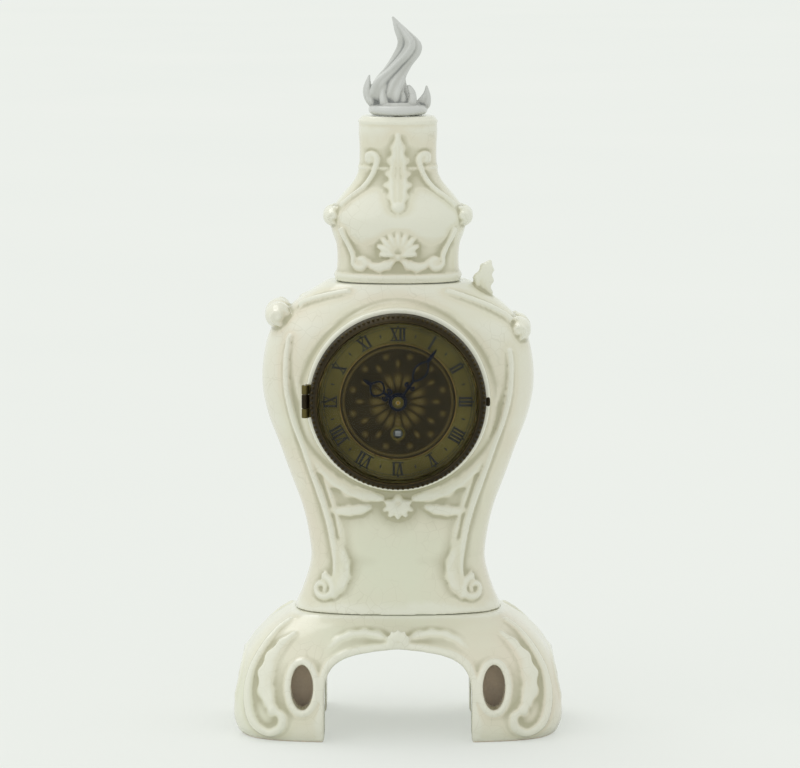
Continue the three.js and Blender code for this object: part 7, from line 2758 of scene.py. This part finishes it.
    def _build_latch(self) -> None:
        """Models the latch: a fluted knob, a shaft and a tongue behind the ring's lip."""
        low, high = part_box("door_latch")
        radius, spot, shaft = half_of("door_latch")[0], self.latch_spot, self.shaft
        knob = high.y - self.knob
        profile = [(0.0, low.y), (shaft, low.y), (shaft, knob)]
        profile += [(share * radius, knob + along * self.knob) for share, along in self.knob_profile]
        bm = bmesh.new()
        add_lathe(bm, profile, spot, steps=160)
        least = 0.85 * radius
        outer = [vert for vert in bm.verts if math.hypot(vert.co.x - spot.x, vert.co.z - spot.z) > least]
        mill_rim(outer, spot, plane=(0, 2), count=self.flutes, depth=0.07)
        corner = (spot.x + shaft, low.y + self.tongue, high.z)
        add_block(bm, (spot.x - shaft, low.y, spot.z), corner, soften=0.15 * MM)
        present(new_object("door_latch_fluted", bm), Finish.BRASS, "latch", "door_latch")


@dataclass
class Pendulum:
    """The brass bob on its rod and the milled nut that sets its height.

    Attributes:
        bore: Radius of the bob's bore.
        sleeve: Radius and length of the sleeve under the bob.
        sleeve_lap: How far the sleeve reaches into the bob.
        nut_bore: Radius of the nut's bore.
        nut_soft: Rounding of the nut's edges.
        teeth: Teeth milled round the nut.
    """

    bore: float = 1.4 * MM
    sleeve: Size = (2.6 * MM, 4 * MM)
    sleeve_lap: float = 2 * MM
    nut_bore: float = 1.25 * MM
    nut_soft: float = 0.35 * MM
    teeth: int = 30

    def build(self) -> None:
        """Models the bob and the nut, and dresses them."""
        self._build_bob()
        self._build_nut()

    def _build_bob(self) -> None:
        """Models the lens-shaped bob with its turned border, its sleeve and its bore."""
        low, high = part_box("pendulum_bob")
        middle = middle_of("pendulum_bob")
        radius, half, _ = half_of("pendulum_bob")
        side = []
        for share in shares(32):
            border = bump_at(share, 0.88, 0.025) + 0.7 * bump_at(share, 0.3, 0.03)
            side.append((radius * share, half * (0.12 + 0.88 * (1.0 - share**1.8)) - 0.25 * MM * border))
        bm, sleeve, hole = bmesh.new(), bmesh.new(), bmesh.new()
        add_lathe(bm, [(r, -y) for r, y in side] + [(r, y) for r, y in reversed(side)], middle)
        foot = Vector((middle.x, middle.y, low.z))
        outer, length = self.sleeve
        add_plug(sleeve, foot, WORLD_UP, outer, (0.0, length + self.sleeve_lap), steps=32)
        add_plug(hole, foot, WORLD_UP, self.bore, (-OVERCUT, high.z - low.z + OVERCUT))
        piece = new_object("pendulum_bob_turned", bm)
        settle(piece, [combine(piece, sleeve, "UNION"), combine(piece, hole)])
        present(piece, Finish.BRASS, "bob", "pendulum_bob")

    def _build_nut(self) -> None:
        """Models the milled rating nut."""
        spot, (radius, _, half) = middle_of("rating_nut"), half_of("rating_nut")
        bore, soft = self.nut_bore, self.nut_soft
        profile = [(bore, -half), (radius - soft, -half), (radius, -half + soft)]
        profile += [(radius, half - soft), (radius - soft, half), (bore, half)]
        bm = bmesh.new()
        add_lathe(bm, profile, spot, WORLD_UP, steps=6 * self.teeth, closed=True)
        least = radius - 0.5 * soft
        outer = [vert for vert in bm.verts if math.hypot(vert.co.x - spot.x, vert.co.y - spot.y) > least]
        mill_rim(outer, spot, plane=(0, 1), count=self.teeth, depth=0.06)
        present(new_object("rating_nut_milled", bm), Finish.BRASS, "rating_nut", "rating_nut")


# Studio


@dataclass
class Studio:
    """The pale floor, the soft light and the camera at the photograph's angle.

    Attributes:
        image: Width and height of the photograph in pixels.
        axis_pixel: Column of the clock's axis.
        top_pixel: Row of the finial's tip.
        foot_pixel: Row of the front feet's standing line.
        elevation: Height of the camera over the horizon, in degrees.
        distance: From the camera to the clock.
        sensor: Width of the camera's sensor, in millimetres.
        room: Colour of the light from all round.
        backdrop: Colour that the camera sees behind the clock.
        floor: The two colours of the floor's clouds.
        floor_radius: Radius of the floor.
        floor_glow: Share of the backdrop's colour that the camera sees in the floor.
        lamps: Name, direction, strength and softness in degrees of each lamp.
    """

    image: tuple[int, int] = (800, 768)
    axis_pixel: float = 398.0
    top_pixel: float = 20.0
    foot_pixel: float = 738.0
    elevation: float = 7.0
    distance: float = 2.4
    sensor: float = 36.0
    room: Colour = (0.79, 0.795, 0.79, 1.0)
    backdrop: Colour = srgb(238, 242, 236)
    floor: tuple[Colour, Colour] = (srgb(228, 231, 227), srgb(231, 233, 229))
    floor_radius: float = 30.0
    floor_glow: float = 0.5
    lamps: Sequence[tuple[str, Knot, float, float]] = (
        ("top_lamp", (-0.5, 0.7, 2.0), 0.7, 40.0),
        ("side_lamp", (-1.4, -1.2, 1.2), 0.3, 60.0),
    )

    def build(self, low: Vector, high: Vector) -> None:
        """Sets up everything round the clock.

        Args:
            low: Lowest corner of the clock.
            high: Highest corner of the clock.
        """
        self._set_world()
        self._add_floor()
        for lamp in self.lamps:
            self._add_lamp(*lamp)
        self._add_camera(low, high)
        bpy.context.scene.view_settings.view_transform = "Standard"

    def _set_world(self) -> None:
        """Lights the room evenly and shows the pale backdrop."""
        world = bpy.data.worlds.new("studio")
        bpy.context.scene.world = world
        world.use_nodes = True
        graph = Graph(world.node_tree)
        rays = graph.add("LightPath").outputs
        seen = graph.math("MAXIMUM", rays["Is Camera Ray"], rays["Is Glossy Ray"])
        seen = graph.math("MAXIMUM", seen, rays["Is Transmission Ray"])
        colour = graph.mix(seen, self.room, self.backdrop)
        graph.dress(world.node_tree.nodes["Background"], {"Color": colour, "Strength": 1.0})

    def _add_floor(self) -> None:
        """Adds the pale floor, whose own glow keeps the clock's shadow soft."""
        bm = bmesh.new()
        bmesh.ops.create_circle(bm, cap_ends=True, segments=96, radius=self.floor_radius)
        floor = new_object("floor", bm)
        material, graph, shader, place = start_material("pale_floor")
        tone = graph.mix(graph.mottled(place, 1.2), *self.floor)
        graph.dress(shader, {"Base Color": tone, "Roughness": 0.9, "Specular IOR Level": 0.0})
        seen = graph.add("LightPath").outputs["Is Camera Ray"]
        glow = graph.add("Emission", {"Color": self.backdrop})
        share = graph.math("MULTIPLY", seen, self.floor_glow)
        lit = graph.add("MixShader", {0: share, 1: shader.outputs[0], 2: glow.outputs[0]})
        graph.dress(material.node_tree.nodes["Material Output"], {"Surface": lit.outputs[0]})
        floor.data.materials.append(material)
        floor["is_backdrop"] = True

    @staticmethod
    def _place(name: str, data: bpy.types.ID, spot: Vector, towards: tuple[str, Vector]) -> Piece:
        """Adds a lamp or the camera to the scene.

        Args:
            name: Its name.
            data: Its settings.
            spot: Where it stands.
            towards: One of its own axes, and the direction that the axis points in.

        Returns:
            The new object.
        """
        made = bpy.data.objects.new(name, data)
        made.rotation_mode = "QUATERNION"
        made.rotation_quaternion = towards[1].to_track_quat(towards[0], "Y")
        made.location = spot
        bpy.context.scene.collection.objects.link(made)
        return made

    def _add_lamp(self, name: str, towards: Knot, strength: float, softness: float) -> None:
        """Adds a wide soft lamp that shines from a direction.

        Args:
            name: Its name.
            towards: The direction.
            strength: Its strength.
            softness: Its width in degrees.
        """
        data = bpy.data.lights.new(name, "SUN")
        data.energy = strength
        data.angle = math.radians(softness)
        self._place(name, data, Vector(towards), ("Z", Vector(towards)))

    def _add_camera(self, low: Vector, high: Vector) -> None:
        """Places the camera so that the clock fills the frame as in the photograph.

        Args:
            low: Lowest corner of the clock.
            high: Highest corner of the clock.
        """
        tilt = math.radians(self.elevation)
        up = Vector((0.0, math.sin(tilt), math.cos(tilt)))
        tip = (WORLD_UP * high.z).dot(up)
        foot = Vector((0.0, 0.95 * low.y, low.z)).dot(up)
        scale = (tip - foot) / (self.foot_pixel - self.top_pixel)
        middle_row = (self.foot_pixel + self.top_pixel) / 2.0
        centre = (tip + foot) / 2.0 + (middle_row - self.image[1] / 2.0) * scale
        sideways = (self.image[0] / 2.0 - self.axis_pixel) * scale
        target = Vector((sideways, 0.0, centre / math.cos(tilt)))
        back = Vector((0.0, -math.cos(tilt), math.sin(tilt)))
        data = bpy.data.cameras.new("camera")
        data.sensor_width = self.sensor
        data.sensor_fit = "HORIZONTAL"
        data.lens = self.sensor * self.distance / (self.image[0] * scale)
        data.clip_end = 100.0
        spot = target + back * self.distance
        bpy.context.scene.camera = self._place("camera", data, spot, ("-Z", -back))


def dress_frame(frame: dict[str, Any]) -> None:
    """Gives each piece of the frame that still shows the finish of its slot.

    Args:
        frame: The loaded frame.
    """
    finishes = {finish.value.name: finish for finish in Finish}
    for row in frame["record"]["subparts"]:
        node = frame["nodes"][row["node"]]
        node.data.materials.clear()
        node.data.materials.append(finishes[row["material_slot"]].material())


def main() -> None:
    """Builds the clock round its frame, with the studio placed by the frame's box."""
    logging.basicConfig(level=logging.INFO, format="%(name)s: %(message)s")
    bpy.ops.wm.read_factory_settings(use_empty=True)
    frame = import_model()
    cad_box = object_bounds()
    Studio().build(*cad_box)
    dress_frame(frame)
    porcelain = (PorcelainBase, PorcelainBody, PorcelainCrest, FlameFinial)
    for maker in (*porcelain, GlazedBezel, Dial, Hands, CaseBack, Pendulum):
        maker().build()


if __name__ == "__main__":
    main()
